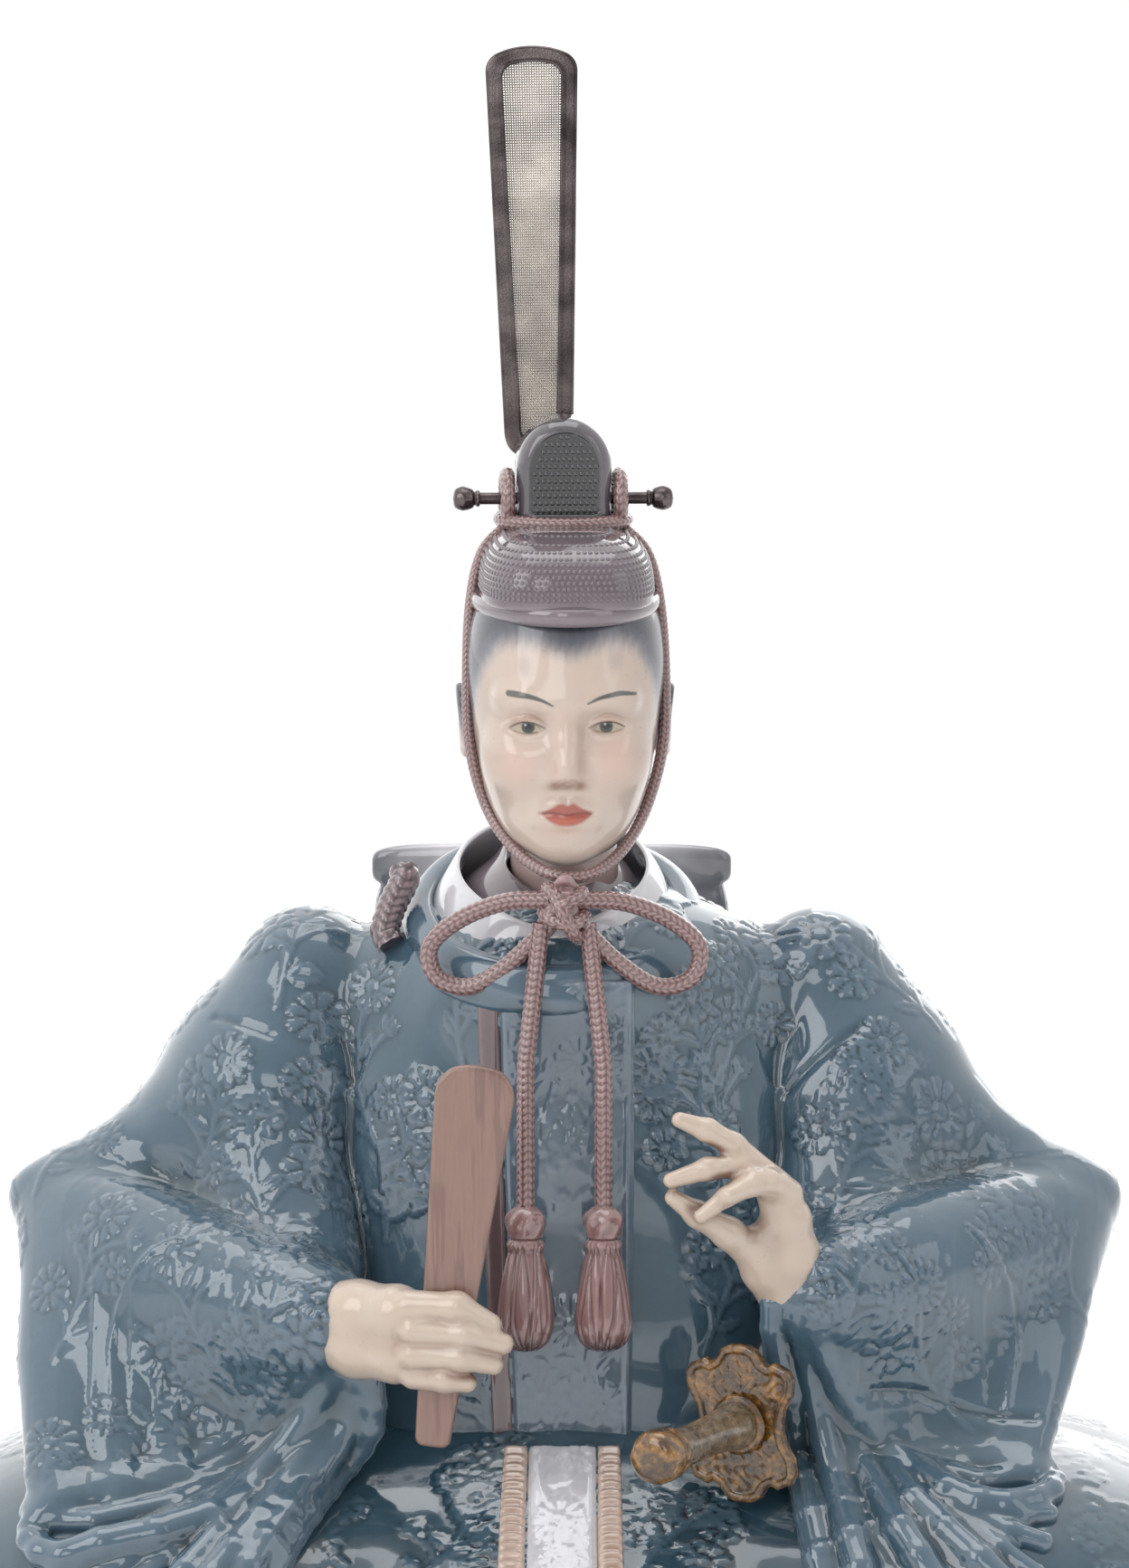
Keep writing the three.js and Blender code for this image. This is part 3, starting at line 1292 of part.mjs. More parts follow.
const groove = plate(tailOutline(tailBar - netGrip - grooveClearance), netThickness + 2 * grooveClearance);
const tongueBox = (grow) =>
  solidOf(
    new THREE.BoxGeometry(
      2 * (tongueHalfWidth + grow),
      tongueThickness + 2 * grow,
      tongueLength + tailBar / 2 + grow,
    ).translate(0, 0, (tailBar / 2 - tongueLength - grow) / 2),
  );
const tailFrame = plate(frameOutline, tailThickness, tailBevel).subtract(groove).add(tongueBox(0));
add(tail, "tail_frame", onTail(tailFrame), darkMetal);

// The net: a plate of bars and gaps that follows the frame's taper and arch, built cell by cell
function netBody() {
  const widening = (tailTopHalfWidth - tailFootHalfWidth) / tailHeight;
  const halfAt = (z) => tailFootHalfWidth + widening * z - tailBar;
  const lines = (count, length) => {
    const half = netBar / length / 2;
    const inner = Array.from({ length: count + 1 }, (_, i) => [i / count - half, i / count + half]).flat();
    return [-netGrip / length, ...inner.slice(1, -1), 1 + netGrip / length];
  };
  const across = lines(netColumns, 2 * halfAt(tailHeight));
  const along = lines(netRows, tailHeight - 2 * tailBar);
  const place = (u, v, y) => {
    const side = 2 * u - 1;
    const reach = tailHeight - 2 * tailBar - tailArch * Math.min(side * side, 1);
    const z = tailBar + reach * v;
    return [side * halfAt(z), y, z];
  };
  const points = [];
  for (const y of [-netThickness / 2, netThickness / 2]) {
    for (const v of along) for (const u of across) points.push(place(u, v, y));
  }
  const columns = across.length - 1;
  const rows = along.length - 1;
  const level = across.length * along.length;
  const at = (i, j, back) => j * across.length + i + (back ? level : 0);
  const isBar = (i, j) => {
    const within = i >= 0 && j >= 0 && i < columns && j < rows;
    return within && (i % 2 === 0 || j % 2 === 0);
  };
  const triangles = [];
  const quad = (a, b, c, d) => triangles.push(a, b, c, a, c, d);
  for (let j = 0; j < rows; j++) {
    for (let i = 0; i < columns; i++) {
      if (!isBar(i, j)) continue;
      quad(at(i, j), at(i + 1, j), at(i + 1, j + 1), at(i, j + 1));
      quad(at(i, j, 1), at(i, j + 1, 1), at(i + 1, j + 1, 1), at(i + 1, j, 1));
      if (!isBar(i - 1, j)) quad(at(i, j), at(i, j + 1), at(i, j + 1, 1), at(i, j, 1));
      if (!isBar(i + 1, j)) quad(at(i + 1, j), at(i + 1, j, 1), at(i + 1, j + 1, 1), at(i + 1, j + 1));
      if (!isBar(i, j - 1)) quad(at(i, j), at(i, j, 1), at(i + 1, j, 1), at(i + 1, j));
      if (!isBar(i, j + 1)) quad(at(i, j + 1), at(i + 1, j + 1), at(i + 1, j + 1, 1), at(i, j + 1, 1));
    }
  }
  return gridSolid(points, triangles);
}
add(tail, "tail_net", onTail(netBody()), netMetal);

const socketHalfWidth = tongueHalfWidth + tongueClearance + socketWall;
const socketHalfDepth = tongueThickness / 2 + tongueClearance + socketWall;
const socketHead = -gap;
const socketFoot = -tongueLength - tongueClearance - socketWall;
const socketBlock = solidOf(
  new THREE.BoxGeometry(2 * socketHalfWidth, 2 * socketHalfDepth, socketHead - socketFoot).translate(
    0,
    0,
    (socketHead + socketFoot) / 2,
  ),
);
const socketHollow = tongueBox(tongueClearance);
const combBlock = onHead(combBody(gap).add(capCordRing(gap)).add(crownBody(gap)).add(pinBore));
add(doll, "tail_socket", clearOf(onTail(socketBlock.subtract(socketHollow)), combBlock), glazeMauve);

export default doll;
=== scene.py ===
"""A seated court doll of glazed porcelain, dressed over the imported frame.

Shapes are worked out in millimetres in the part's own frame, +Z up with the doll facing -Y, and each finished mesh is
written in metres. Left and right are the doll's own. The robe, the head, the hands and the other castings are
surfaces of forms: functions that give the distance to a surface, below zero inside it.
"""

import math

import bmesh
import bpy
import mathutils
import numpy as np
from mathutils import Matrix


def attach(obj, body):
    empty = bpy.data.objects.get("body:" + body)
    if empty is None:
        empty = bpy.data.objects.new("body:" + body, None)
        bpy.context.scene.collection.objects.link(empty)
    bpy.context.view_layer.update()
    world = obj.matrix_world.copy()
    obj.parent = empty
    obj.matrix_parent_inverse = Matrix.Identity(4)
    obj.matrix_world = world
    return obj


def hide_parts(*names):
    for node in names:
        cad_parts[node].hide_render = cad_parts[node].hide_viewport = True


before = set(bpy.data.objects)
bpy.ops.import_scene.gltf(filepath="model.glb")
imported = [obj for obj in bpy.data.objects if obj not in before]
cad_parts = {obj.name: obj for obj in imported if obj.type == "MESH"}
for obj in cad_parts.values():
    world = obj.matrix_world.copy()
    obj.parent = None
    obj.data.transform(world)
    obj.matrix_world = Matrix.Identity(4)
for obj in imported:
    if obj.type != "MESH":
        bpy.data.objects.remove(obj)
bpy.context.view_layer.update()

metre = 0.001  # one millimetre

# The front view, as the photograph's frame shows it
frame_width = 1248
frame_height = 1733
millimetres_per_pixel = 0.23
middle_pixel = 624
shelf_pixel = 1930
view_elevation = math.radians(5)
view_slope = math.tan(view_elevation)
viewing_distance = 2300
seen_depth = -40

# Lower robe
robe_half_width = 180
robe_half_depth = 120
robe_height = 97
robe_wall = 7
robe_blend = 26
robe_squareness = 1.5
knee_radii = (70, 88, 50)
knee_spread = 106
knee_level = 30
knee_squareness = 2.3
hem_fold_count = 16
hem_fold_depth = 3.2
hem_fold_height = 60

# Upper robe
chest_radii = (63, 44, 80)
chest_level = 138
chest_back = 4
waist_radii = (58, 45, 42)
waist_level = 94
shoulder_spread = 58
shoulder_level = 189
shoulder_girth = 17
yoke_radii = (40, 40, 24)
yoke_level = 196
torso_squareness = 2.4
torso_blend = 16
torso_wall = 8

# Head, in its own frame: middle of the head at eye level
head_place = (0.2, -17, 263.5)
head_turn = 0.06
head_bow = 0.09

sides = ((-1, "right"), (1, "left"))

# Fineness of the surfaces
robe_step = 0.85
skirt_step = 1.3
head_step = 0.43
hand_step = 0.45
hollow_step = 3.0
cap_step = 0.6
comb_step = 0.42
small_step = 0.5


# Forms

def soft_min(a, b, soft):
    """Two forms as one, with a fillet about as wide as soft where they meet"""
    near = np.maximum(soft - np.abs(a - b), 0) / soft
    return np.minimum(a, b) - near * near * soft / 4


def soft_max(a, b, soft):
    return -soft_min(-a, -b, soft)


def joined(soft, *forms):
    def form(p):
        result = forms[0](p)
        for other in forms[1:]:
            result = soft_min(result, other(p), soft)
        return result
    return form


def carved(form, tool, soft):
    """A form with a tool's shape taken out of it"""
    return lambda p: soft_max(form(p), -tool(p), soft)


def pillow(centre, radii, power=2.0):
    """An oval, or a squarer pillow where power is over 2"""
    centre = np.array(centre, float)
    radii = np.array(radii, float)

    def form(p):
        shares = np.abs(p - centre) / radii
        share = np.maximum((shares ** power).sum(1) ** (1 / power), 0.02)
        slope = np.sqrt((((shares / share[:, None]) ** (power - 1) / radii) ** 2).sum(1))
        return np.where(share > 0.02, (share - 1) / np.maximum(slope, 1e-6), -radii.min())
    return form


def chain(beads, soft=0.0):
    """Round links between beads (x, y, z, radius); far from them only the distance to their box is worked out"""
    beads = np.array(beads, float)
    low = (beads[:, :3] - beads[:, 3:]).min(0)
    high = (beads[:, :3] + beads[:, 3:]).max(0)
    reach = 9 + soft

    def form(p):
        outside = np.maximum(np.maximum(low - p, p - high), 0)
        result = np.sqrt((outside ** 2).sum(1)) + 0.5
        close = result < reach
        q = p[close]
        if len(q) == 0:
            return result
        nearest = None
        for a, b in zip(beads[:-1], beads[1:]):
            along = b[:3] - a[:3]
            start = q - a[:3]
            share = np.clip(start @ along / max(along @ along, 1e-9), 0, 1)
            away = start - share[:, None] * along
            distance = np.sqrt((away ** 2).sum(1)) - (a[3] + (b[3] - a[3]) * share)
            if nearest is None:
                nearest = distance
            elif soft:
                nearest = soft_min(nearest, distance, soft)
            else:
                nearest = np.minimum(nearest, distance)
        result[close] = nearest
        return result
    return form


def mirrored(side, points):
    """Beads of the left side, moved to the side that is asked for"""
    return [(side * x, *rest) for x, *rest in points]


def smooth_beads(beads, count):
    """More beads on the smooth curve through a few"""
    beads = np.array(beads, float)
    place = np.linspace(0, len(beads) - 1, count)
    index = np.minimum(place.astype(int), len(beads) - 2)
    share = (place - index)[:, None]
    padded = np.vstack([2 * beads[0] - beads[1], beads, 2 * beads[-1] - beads[-2]])
    a, b, c, d = (padded[index + k] for k in range(4))
    return 0.5 * (2 * b + (c - a) * share + (2 * a - 5 * b + 4 * c - d) * share ** 2
                  + (3 * b - a - 3 * c + d) * share ** 3)


def seen(form, pixels, lift=0.0):
    """Where the front view, at pixels of the photograph, meets a form, lifted towards the viewer"""
    pixels = np.array(pixels, float)
    x = (pixels[:, 0] - middle_pixel) * millimetres_per_pixel
    rise = (shelf_pixel - pixels[:, 1]) * millimetres_per_pixel
    y = np.full(len(x), -170.0)
    for _ in range(90):
        distance = form(np.stack([x, y, rise - view_slope * y], 1))
        y = np.minimum(y + np.maximum(distance, 0) * 0.8, 60)
    y = y - lift
    return np.stack([x, y, rise - view_slope * y], 1)


def laid(form, rows, furthest=60.0):
    """Beads from rows of (pixel across, pixel down, lift off the form, radius), none further back than furthest"""
    rows = np.array(rows, float)
    x, y, z = seen(form, rows[:, :2], rows[:, 2]).T
    nearer = np.minimum(y, furthest)
    return np.stack([x, nearer, z + view_slope * (y - nearer), rows[:, 3]], 1)


# Surfaces

def surface(form, low, high, step):
    """Quads over a form inside a box, worked out only near its surface, then drawn onto it"""
    coarse = 4
    low = np.array(low, float)
    counts = np.ceil((np.array(high, float) - low) / (step * coarse)).astype(int)
    axes = [low[i] + step * coarse * np.arange(counts[i] + 1) for i in range(3)]
    grid = np.stack(np.meshgrid(*axes, indexing="ij"), -1).reshape(-1, 3)
    rough = in_chunks(form, grid).reshape(counts + 1)
    close = np.abs(rough) < step * coarse * 2.1
    cells = np.zeros(counts, bool)
    for corner in np.ndindex(2, 2, 2):
        cells |= close[tuple(slice(c, c + n) for c, n in zip(corner, counts))]
    size = counts * coarse + 1
    nearest = [np.round(np.arange(n) / coarse).astype(int) for n in size]
    field = rough[np.ix_(*nearest)].astype(np.float32)
    wanted = np.zeros(size, bool)
    block = cells.repeat(coarse, 0).repeat(coarse, 1).repeat(coarse, 2)
    for corner in np.ndindex(2, 2, 2):
        wanted[tuple(slice(c, c + n) for c, n in zip(corner, block.shape))] |= block
    places = np.argwhere(wanted)
    field[wanted] = in_chunks(form, low + step * places)

    inside = field < 0
    filled = np.zeros(size - 1, np.int8)
    for corner in np.ndindex(2, 2, 2):
        filled += inside[tuple(slice(c, c + n) for c, n in zip(corner, size - 1))]
    mixed = (filled > 0) & (filled < 8)
    cell = np.argwhere(mixed)
    index = np.full(size - 1, -1, np.int32)
    index[mixed] = np.arange(len(cell))
    total = np.zeros((len(cell), 3))
    crossings = np.zeros(len(cell))
    for axis in range(3):
        unit = np.eye(3, dtype=int)[axis]
        for corner in np.ndindex(2, 2, 2):
            if corner[axis]:
                continue
            start = cell + corner
            a = field[tuple(start.T)]
            b = field[tuple((start + unit).T)]
            crossed = (a < 0) != (b < 0)
            share = np.where(crossed, a / np.where(crossed, a - b, 1), 0)
            total += crossed[:, None] * (np.array(corner) + share[:, None] * unit)
            crossings += crossed
    vertices = low + step * (cell + total / crossings[:, None])
    quads = []
    for axis in range(3):
        u, v = (axis + 1) % 3, (axis + 2) % 3
        lower = [slice(None)] * 3
        upper = [slice(None)] * 3
        lower[axis] = slice(0, -1)
        upper[axis] = slice(1, None)
        a = inside[tuple(lower)]
        edges = np.argwhere(a != inside[tuple(upper)])
        room = np.array(index.shape)
        kept = (edges[:, u] > 0) & (edges[:, v] > 0) & (edges[:, u] < room[u]) & (edges[:, v] < room[v])
        edges = edges[kept]
        around = []
        for du, dv in ((1, 1), (0, 1), (0, 0), (1, 0)):
            beside = edges.copy()
            beside[:, u] -= du
            beside[:, v] -= dv
            around.append(index[tuple(beside.T)])
        ring = np.stack(around, 1)
        outward = a[tuple(edges.T)]
        quads.append(np.where(outward[:, None], ring, ring[:, ::-1]))
    quads = np.vstack(quads)
    for _ in range(2):
        vertices = eased(vertices, quads, 1, 0.5)
        vertices = drawn_onto(form, vertices, step)
    return vertices, quads


def in_chunks(form, points):
    """A form's distances, for as many points at a time as memory is spared for"""
    size = 400000
    return np.concatenate([form(points[i:i + size]) for i in range(0, len(points), size)])


def slope_of(form, points, step):
    """The direction in which a form's distance grows"""
    reach = step * 0.4
    sides = np.eye(3) * reach
    return np.stack([in_chunks(form, points + d) - in_chunks(form, points - d) for d in sides], 1) / (2 * reach)


def drawn_onto(form, vertices, step):
    """Vertices moved along the slope onto the surface, by one step at most"""
    slope = slope_of(form, vertices, step)
    distance = in_chunks(form, vertices)
    square = np.maximum((slope ** 2).sum(1), 0.2)
    move = np.clip(distance / square, -step, step)
    return vertices - move[:, None] * slope


def edges_of(faces):
    sides = np.vstack([faces[:, [i, (i + 1) % faces.shape[1]]] for i in range(faces.shape[1])])
    return np.unique(np.sort(sides, 1), axis=0)


def eased(values, faces, rounds, share=1.0, edges=None):
    """Values, or places, drawn towards the mean of their neighbours"""
    edges = edges_of(faces) if edges is None else edges
    values = np.asarray(values, float)
    flat = values.reshape(len(values), -1)
    count = np.bincount(edges.ravel(), minlength=len(flat)).clip(1)
    for _ in range(rounds):
        mean = np.stack([
            np.bincount(edges[:, 0], column[edges[:, 1]], len(flat))
            + np.bincount(edges[:, 1], column[edges[:, 0]], len(flat)) for column in flat.T], 1)
        flat = flat + (mean / count[:, None] - flat) * share
    return flat.reshape(values.shape)


def normals_of(vertices, faces):
    """Normals at the vertices, weighted by the area of the faces round them"""
    across = vertices[faces[:, 2]] - vertices[faces[:, 0]]
    other = vertices[faces[:, 3]] - vertices[faces[:, 1]] if faces.shape[1] == 4 else (
        vertices[faces[:, 1]] - vertices[faces[:, 0]])
    normal = np.cross(across, other) if faces.shape[1] == 4 else np.cross(other, across)
    total = np.stack([
        np.bincount(faces.ravel(), np.repeat(normal[:, i], faces.shape[1]), len(vertices)) for i in range(3)], 1)
    return total / np.maximum(np.linalg.norm(total, axis=1), 1e-9)[:, None]


def full_turn(count):
    """Angles evenly round a circle"""
    return np.linspace(0, 2 * math.pi, count, endpoint=False)


def ramp(value, low, high):
    """0 below low and 1 above high, with an eased rise between them"""
    share = np.clip((value - low) / (high - low), 0, 1)
    return share * share * (3 - 2 * share)


# Pieces

def add_piece(name, vertices, faces, material, slot=None, body="figure", paints=None, normals=None):
    """A mesh object from arrays in millimetres. Faces are one array, or several with different numbers of corners."""
    groups = [np.asarray(g) for g in (faces if isinstance(faces, (list, tuple)) else [faces]) if len(g)]
    mesh = bpy.data.meshes.new(name)
    mesh.vertices.add(len(vertices))
    mesh.vertices.foreach_set("co", (np.asarray(vertices) * metre).astype(np.float32).ravel())
    corners = np.concatenate([g.ravel() for g in groups]).astype(np.int32)
    totals = np.concatenate([np.full(len(g), g.shape[1], np.int32) for g in groups])
    starts = np.concatenate([[0], np.cumsum(totals)[:-1]]).astype(np.int32)
    mesh.loops.add(len(corners))
    mesh.loops.foreach_set("vertex_index", corners)
    mesh.polygons.add(len(totals))
    mesh.polygons.foreach_set("loop_start", starts)
    mesh.polygons.foreach_set("loop_total", totals)
    for label, values in (paints or {}).items():
        values = np.asarray(values, np.float32)
        if values.ndim == 1:
            mesh.attributes.new(label, "FLOAT", "POINT").data.foreach_set("value", values)
        else:
            colours = np.hstack([values, np.ones((len(values), 1), np.float32)])
            mesh.attributes.new(label, "FLOAT_COLOR", "POINT").data.foreach_set("color", colours.ravel())
    mesh.update(calc_edges=True)
    mesh.validate()
    mesh.shade_smooth()
    if normals is not None:
        mesh.normals_split_custom_set_from_vertices(normals)
    mesh.materials.append(material)
    thing = bpy.data.objects.new(name, mesh)
    bpy.context.scene.collection.objects.link(thing)
    declare(thing, material, slot, body)


def declare(thing, material, slot, body, nodes=None):
    """A piece's body and the solids whose place it takes. Unless they are given, it takes the place of the solid that
    has its name but for the last word. The slot is not used."""
    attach(thing, body)
    if nodes is None:
        nodes = [thing.name.rsplit("_", 1)[0]]
    if nodes:
        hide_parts(*nodes)
    slot or material.name.split(".")[0]


def kept_part(vertices, faces, keep, *values):
    """The faces that are kept, with only their own vertices"""
    faces = faces[keep]
    used, where = np.unique(faces, return_inverse=True)
    return (vertices[used], where.reshape(faces.shape), *[v[used] for v in values])


# Materials

def shade(red, green, blue):
    """A colour as it is seen, 0 to 255, as the linear light that a shader takes"""
    values = np.array([red, green, blue]) / 255
    linear = np.where(values <= 0.04045, values / 12.92, ((values + 0.055) / 1.055) ** 2.4)
    return (*[float(v) for v in linear], 1.0)


class Nodes:
    """Short calls that add nodes to a tree and link them"""

    def __init__(self, tree):
        self.tree = tree

    def add(self, kind, inputs=(), **settings):
        node = self.tree.nodes.new(kind)
        for key, value in settings.items():
            setattr(node, key, value)
        for key, value in dict(inputs).items():
            if isinstance(value, bpy.types.Node):
                value = value.outputs[0]
            if isinstance(value, bpy.types.NodeSocket):
                self.tree.links.new(value, node.inputs[key])
            else:
                node.inputs[key].default_value = value
        return node

    def sum(self, operation, *values, kind="ShaderNodeMath"):
        return self.add(kind, dict(enumerate(values)), operation=operation).outputs[0]

    def times(self, first, second):
        return self.sum("MULTIPLY", first, second)

    def times_plus(self, first, second, more):
        return self.sum("MULTIPLY_ADD", first, second, more)

    def mix(self, share, first, second, blend="MIX"):
        node = self.add("ShaderNodeMix", data_type="RGBA", blend_type=blend)
        for socket, value in zip([node.inputs[0], node.inputs[6], node.inputs[7]], [share, first, second]):
            if isinstance(value, bpy.types.NodeSocket):
                self.tree.links.new(value, socket)
            else:
                socket.default_value = value
        return node.outputs[2]

    def clamp(self, value):
        return self.add("ShaderNodeClamp", {0: value}).outputs[0]

    def attribute(self, name, output="Fac"):
        return self.add("ShaderNodeAttribute", attribute_name=name).outputs[output]

    def noise(self, place, scale, detail=3.0, roughness=0.55, distortion=0.0):
        inputs = {"Vector": place, "Scale": scale, "Detail": detail, "Roughness": roughness, "Distortion": distortion}
        return self.add("ShaderNodeTexNoise", inputs).outputs[0]

    def band(self, value, low, high, first=0.0, second=1.0):
        inputs = {"Value": value, "From Min": low, "From Max": high, "To Min": first, "To Max": second}
        return self.add("ShaderNodeMapRange", inputs).outputs[0]

    def bump(self, strength, distance, height):
        return self.add("ShaderNodeBump", {"Strength": strength, "Distance": distance, "Height": height}).outputs[0]

    def feed(self, shader, **links):
        for key, value in links.items():
            self.tree.links.new(value, shader.inputs[input_name(key)])


def input_name(key):
    return key.replace("_", " ").title().replace("Ior", "IOR")


def new_material(name):
    """A material with its node calls, its shader and the places on the piece that wears it"""
    material = bpy.data.materials.new(name)
    material.use_nodes = True
    nodes = Nodes(material.node_tree)
    shader = material.node_tree.nodes["Principled BSDF"]
    place = nodes.add("ShaderNodeTexCoord").outputs["Object"]
    return material, nodes, shader, place


def set_inputs(shader, **values):
    for key, value in values.items():
        shader.inputs[input_name(key)].default_value = value


def glaze(name, thin, full, pooled, roughness=0.1, wave=0.12, coat=1.0):
    """A clear glaze over an airbrushed colour: thin and pale on what stands proud, pooled and deep in the hollows. On
    the folds these colours are also painted light on the crests and painted shade in the hollows.
    """
    material, nodes, shader, place = new_material(name)
    thin, full, pooled = shade(*thin), shade(*full), shade(*pooled)
    cloud = nodes.noise(place, 26.0)
    fine = nodes.noise(place, 420.0)
    # lit: the share of the pale colour, for thin glaze and also painted light on the relief and the crests
    lit = nodes.times_plus(nodes.attribute("relief"), 0.3, nodes.attribute("crest"))
    lit = nodes.times_plus(nodes.band(cloud, 0.35, 0.75), 0.25, lit)
    colour = nodes.mix(nodes.clamp(lit), full, thin)
    # deep: the share of the pooled colour, for pooled glaze and also painted shade in the hollows
    deep = nodes.times_plus(nodes.band(fine, 0.3, 0.7), 0.12, nodes.attribute("pool"))
    colour = nodes.mix(nodes.clamp(deep), colour, pooled)
    ripple = nodes.noise(place, 70, 2.0)
    bump = nodes.bump(wave, 0.002, nodes.times_plus(fine, 0.04, ripple))
    rough = nodes.band(fine, 0.2, 0.8, roughness * 0.8, roughness * 1.3)
    nodes.feed(shader, base_color=colour, roughness=rough, coat_normal=bump, normal=bump)
    set_inputs(shader, coat_weight=coat, coat_roughness=0.02, coat_ior=1.5)
    return material


def painted_glaze(name, roughness):
    """Skin: a satin body whose colours are painted on the surface itself"""
    material, nodes, shader, place = new_material(name)
    blush = nodes.band(nodes.noise(place, 90), 0.3, 0.75, 0, 0.16)
    tone = nodes.mix(blush, (1, 1, 1, 1), shade(236, 206, 190))
    colour = nodes.mix(1.0, nodes.attribute("paint", "Color"), tone, "MULTIPLY")
    grain = nodes.noise(place, 900, 2.0)
    rough = nodes.band(grain, 0.2, 0.8, roughness * 0.85, roughness * 1.2)
    nodes.feed(shader, base_color=colour, roughness=rough, normal=nodes.bump(0.05, 0.0004, grain))
    set_inputs(shader, subsurface_weight=0.12, subsurface_scale=0.002, subsurface_radius=(1.0, 0.6, 0.45),
               coat_weight=0.8, coat_roughness=0.04)
    return material


def metal(name, colour, bright, roughness):
    """Cast metal, polished by hand, with darker patches and small pits"""
    material, nodes, shader, place = new_material(name)
    patch = nodes.noise(place, 91, 4.0)
    pits = nodes.noise(place, 2080.0)
    tone = nodes.mix(nodes.band(patch, 0.35, 0.7), shade(*colour), shade(*bright))
    rough = nodes.times_plus(nodes.band(pits, 0.3, 0.75), roughness * 0.7, roughness * 0.7)
    nodes.feed(shader, base_color=tone, roughness=rough, normal=nodes.bump(0.22, 0.0003, pits))
    set_inputs(shader, metallic=1.0)
    return material


def stained_amber(name, *tones):
    """A mottled glaze of four tones from dark to pale, darker in the hollows"""
    material, nodes, shader, place = new_material(name)
    wide = nodes.noise(place, 120.0, 5.0, 0.65, 1.2)
    fine = nodes.noise(place, 520.0, 4.0, 0.6, 0.6)
    blend = nodes.times_plus(fine, 0.5, nodes.times(wide, 0.75))
    stain = nodes.add("ShaderNodeValToRGB", {0: blend})
    dark, middle, light, pale = [shade(*tone) for tone in tones]
    stops = stain.color_ramp.elements
    stops[0].position = 0.46
    stops[0].color = dark
    stops[1].position = 0.88
    stops[1].color = pale
    for position, tone in ((0.6, middle), (0.74, light)):
        stops.new(position).color = tone
    colour = nodes.mix(nodes.attribute("pool"), stain.outputs[0], shade(38, 28, 22))
    nodes.feed(shader, base_color=colour, normal=nodes.bump(0.12, 0.0006, fine))
    set_inputs(shader, roughness=0.2, coat_weight=0.9, coat_roughness=0.05)
    return material


def stained_wood(name):
    """Painted wood grain under a satin glaze: long lines along the board that sway and are crossed by finer ones"""
    material, nodes, shader, place = new_material(name)
    along_board = nodes.add("ShaderNodeMapping", {
        "Vector": place, "Rotation": (0.05, 0.121, 0), "Scale": (1, 1, 0.07)}).outputs[0]
    sway = nodes.noise(along_board, 210, 2.0)
    lines = nodes.noise(along_board, 1100.0, 3.0, 0.6, 0.4)
    rings = nodes.sum("SINE", nodes.times_plus(sway, 20.0, nodes.times(lines, 4.0)))
    grain = nodes.band(rings, 0.2, 1.0)
    fine = nodes.band(lines, 0.4, 0.7)
    colour = nodes.mix(nodes.times(grain, 0.5), shade(132, 102, 91), shade(92, 67, 60))
    colour = nodes.mix(nodes.times(fine, 0.35), colour, shade(110, 84, 74))
    height = nodes.times_plus(grain, -0.6, nodes.times(fine, -0.4))
    nodes.feed(shader, base_color=colour, normal=nodes.bump(0.35, 0.0003, height))
    set_inputs(shader, roughness=0.3, coat_weight=0.6, coat_roughness=0.08)
    return material


# Glazes by the colours that they have where they run thin, where they are full and where they pool; on the robe's folds
# the thin colour also stands for painted light and the pooled one for painted shade
robe_glaze = glaze("robe_glaze", (90, 108, 124), (64, 88, 103), (14, 37, 45), wave=0.07)
# The robe's glaze painted lighter for the forward-facing front panel, as painted light
panel_glaze = glaze("panel_glaze", (116, 130, 144), (90, 106, 120), (22, 46, 56), wave=0.05)
skirt_glaze = glaze("skirt_glaze", (76, 98, 112), (48, 74, 88), (8, 24, 32), wave=0.07)
inside_glaze = glaze("inside_glaze", (206, 204, 200), (186, 184, 180), (140, 138, 136), 0.45, coat=0.2)
cap_glaze = glaze("cap_glaze", (130, 119, 125), (97, 86, 92), (46, 38, 44), wave=0.06)
smoke_glaze = glaze("smoke_glaze", (106, 100, 106), (52, 52, 56), (18, 20, 22), wave=0.06)
cord_glaze = glaze("cord_glaze", (170, 140, 137), (134, 104, 102), (60, 34, 38), wave=0.04)
tassel_glaze = glaze("tassel_glaze", (168, 138, 134), (124, 92, 90), (50, 28, 32), wave=0.04)
white_glaze = glaze("white_glaze", (212, 211, 215), (186, 185, 190), (112, 114, 124), wave=0.06)
sand_glaze = glaze("sand_glaze", (196, 176, 162), (168, 142, 126), (104, 78, 66), wave=0.05)
button_glaze = glaze("button_glaze", (156, 136, 138), (108, 90, 95), (42, 32, 38), wave=0.04)
brown_glaze = glaze("brown_glaze", (126, 106, 106), (92, 74, 76), (44, 34, 38), wave=0.05)
skin_glaze = painted_glaze("skin_glaze", 0.3)
dark_metal = metal("dark_metal", (62, 56, 57), (112, 102, 102), 0.16)
wire_metal = metal("wire_metal", (150, 138, 126), (206, 196, 182), 0.4)
amber_glaze = stained_amber("amber_glaze", (40, 30, 18), (84, 58, 26), (142, 100, 44), (184, 160, 122))
hilt_glaze = stained_amber("hilt_glaze", (48, 38, 28), (98, 84, 66), (128, 112, 92), (156, 144, 126))
wood_glaze = stained_wood("wood_glaze")


# Lower robe

def knee(side):
    return pillow((side * knee_spread, 0, knee_level), knee_radii, knee_squareness)


robe_slopes = joined(
    robe_blend, pillow((0, 0, 0), (robe_half_width, robe_half_depth, robe_height), robe_squareness), knee(-1), knee(1))


def robe_form(p):
    rise = np.maximum(1 - p[:, 2] / hem_fold_height, 0)
    folds = np.cos(hem_fold_count * np.arctan2(p[:, 1], p[:, 0]))
    return robe_slopes(p) - hem_fold_depth * rise * folds


# Upper robe

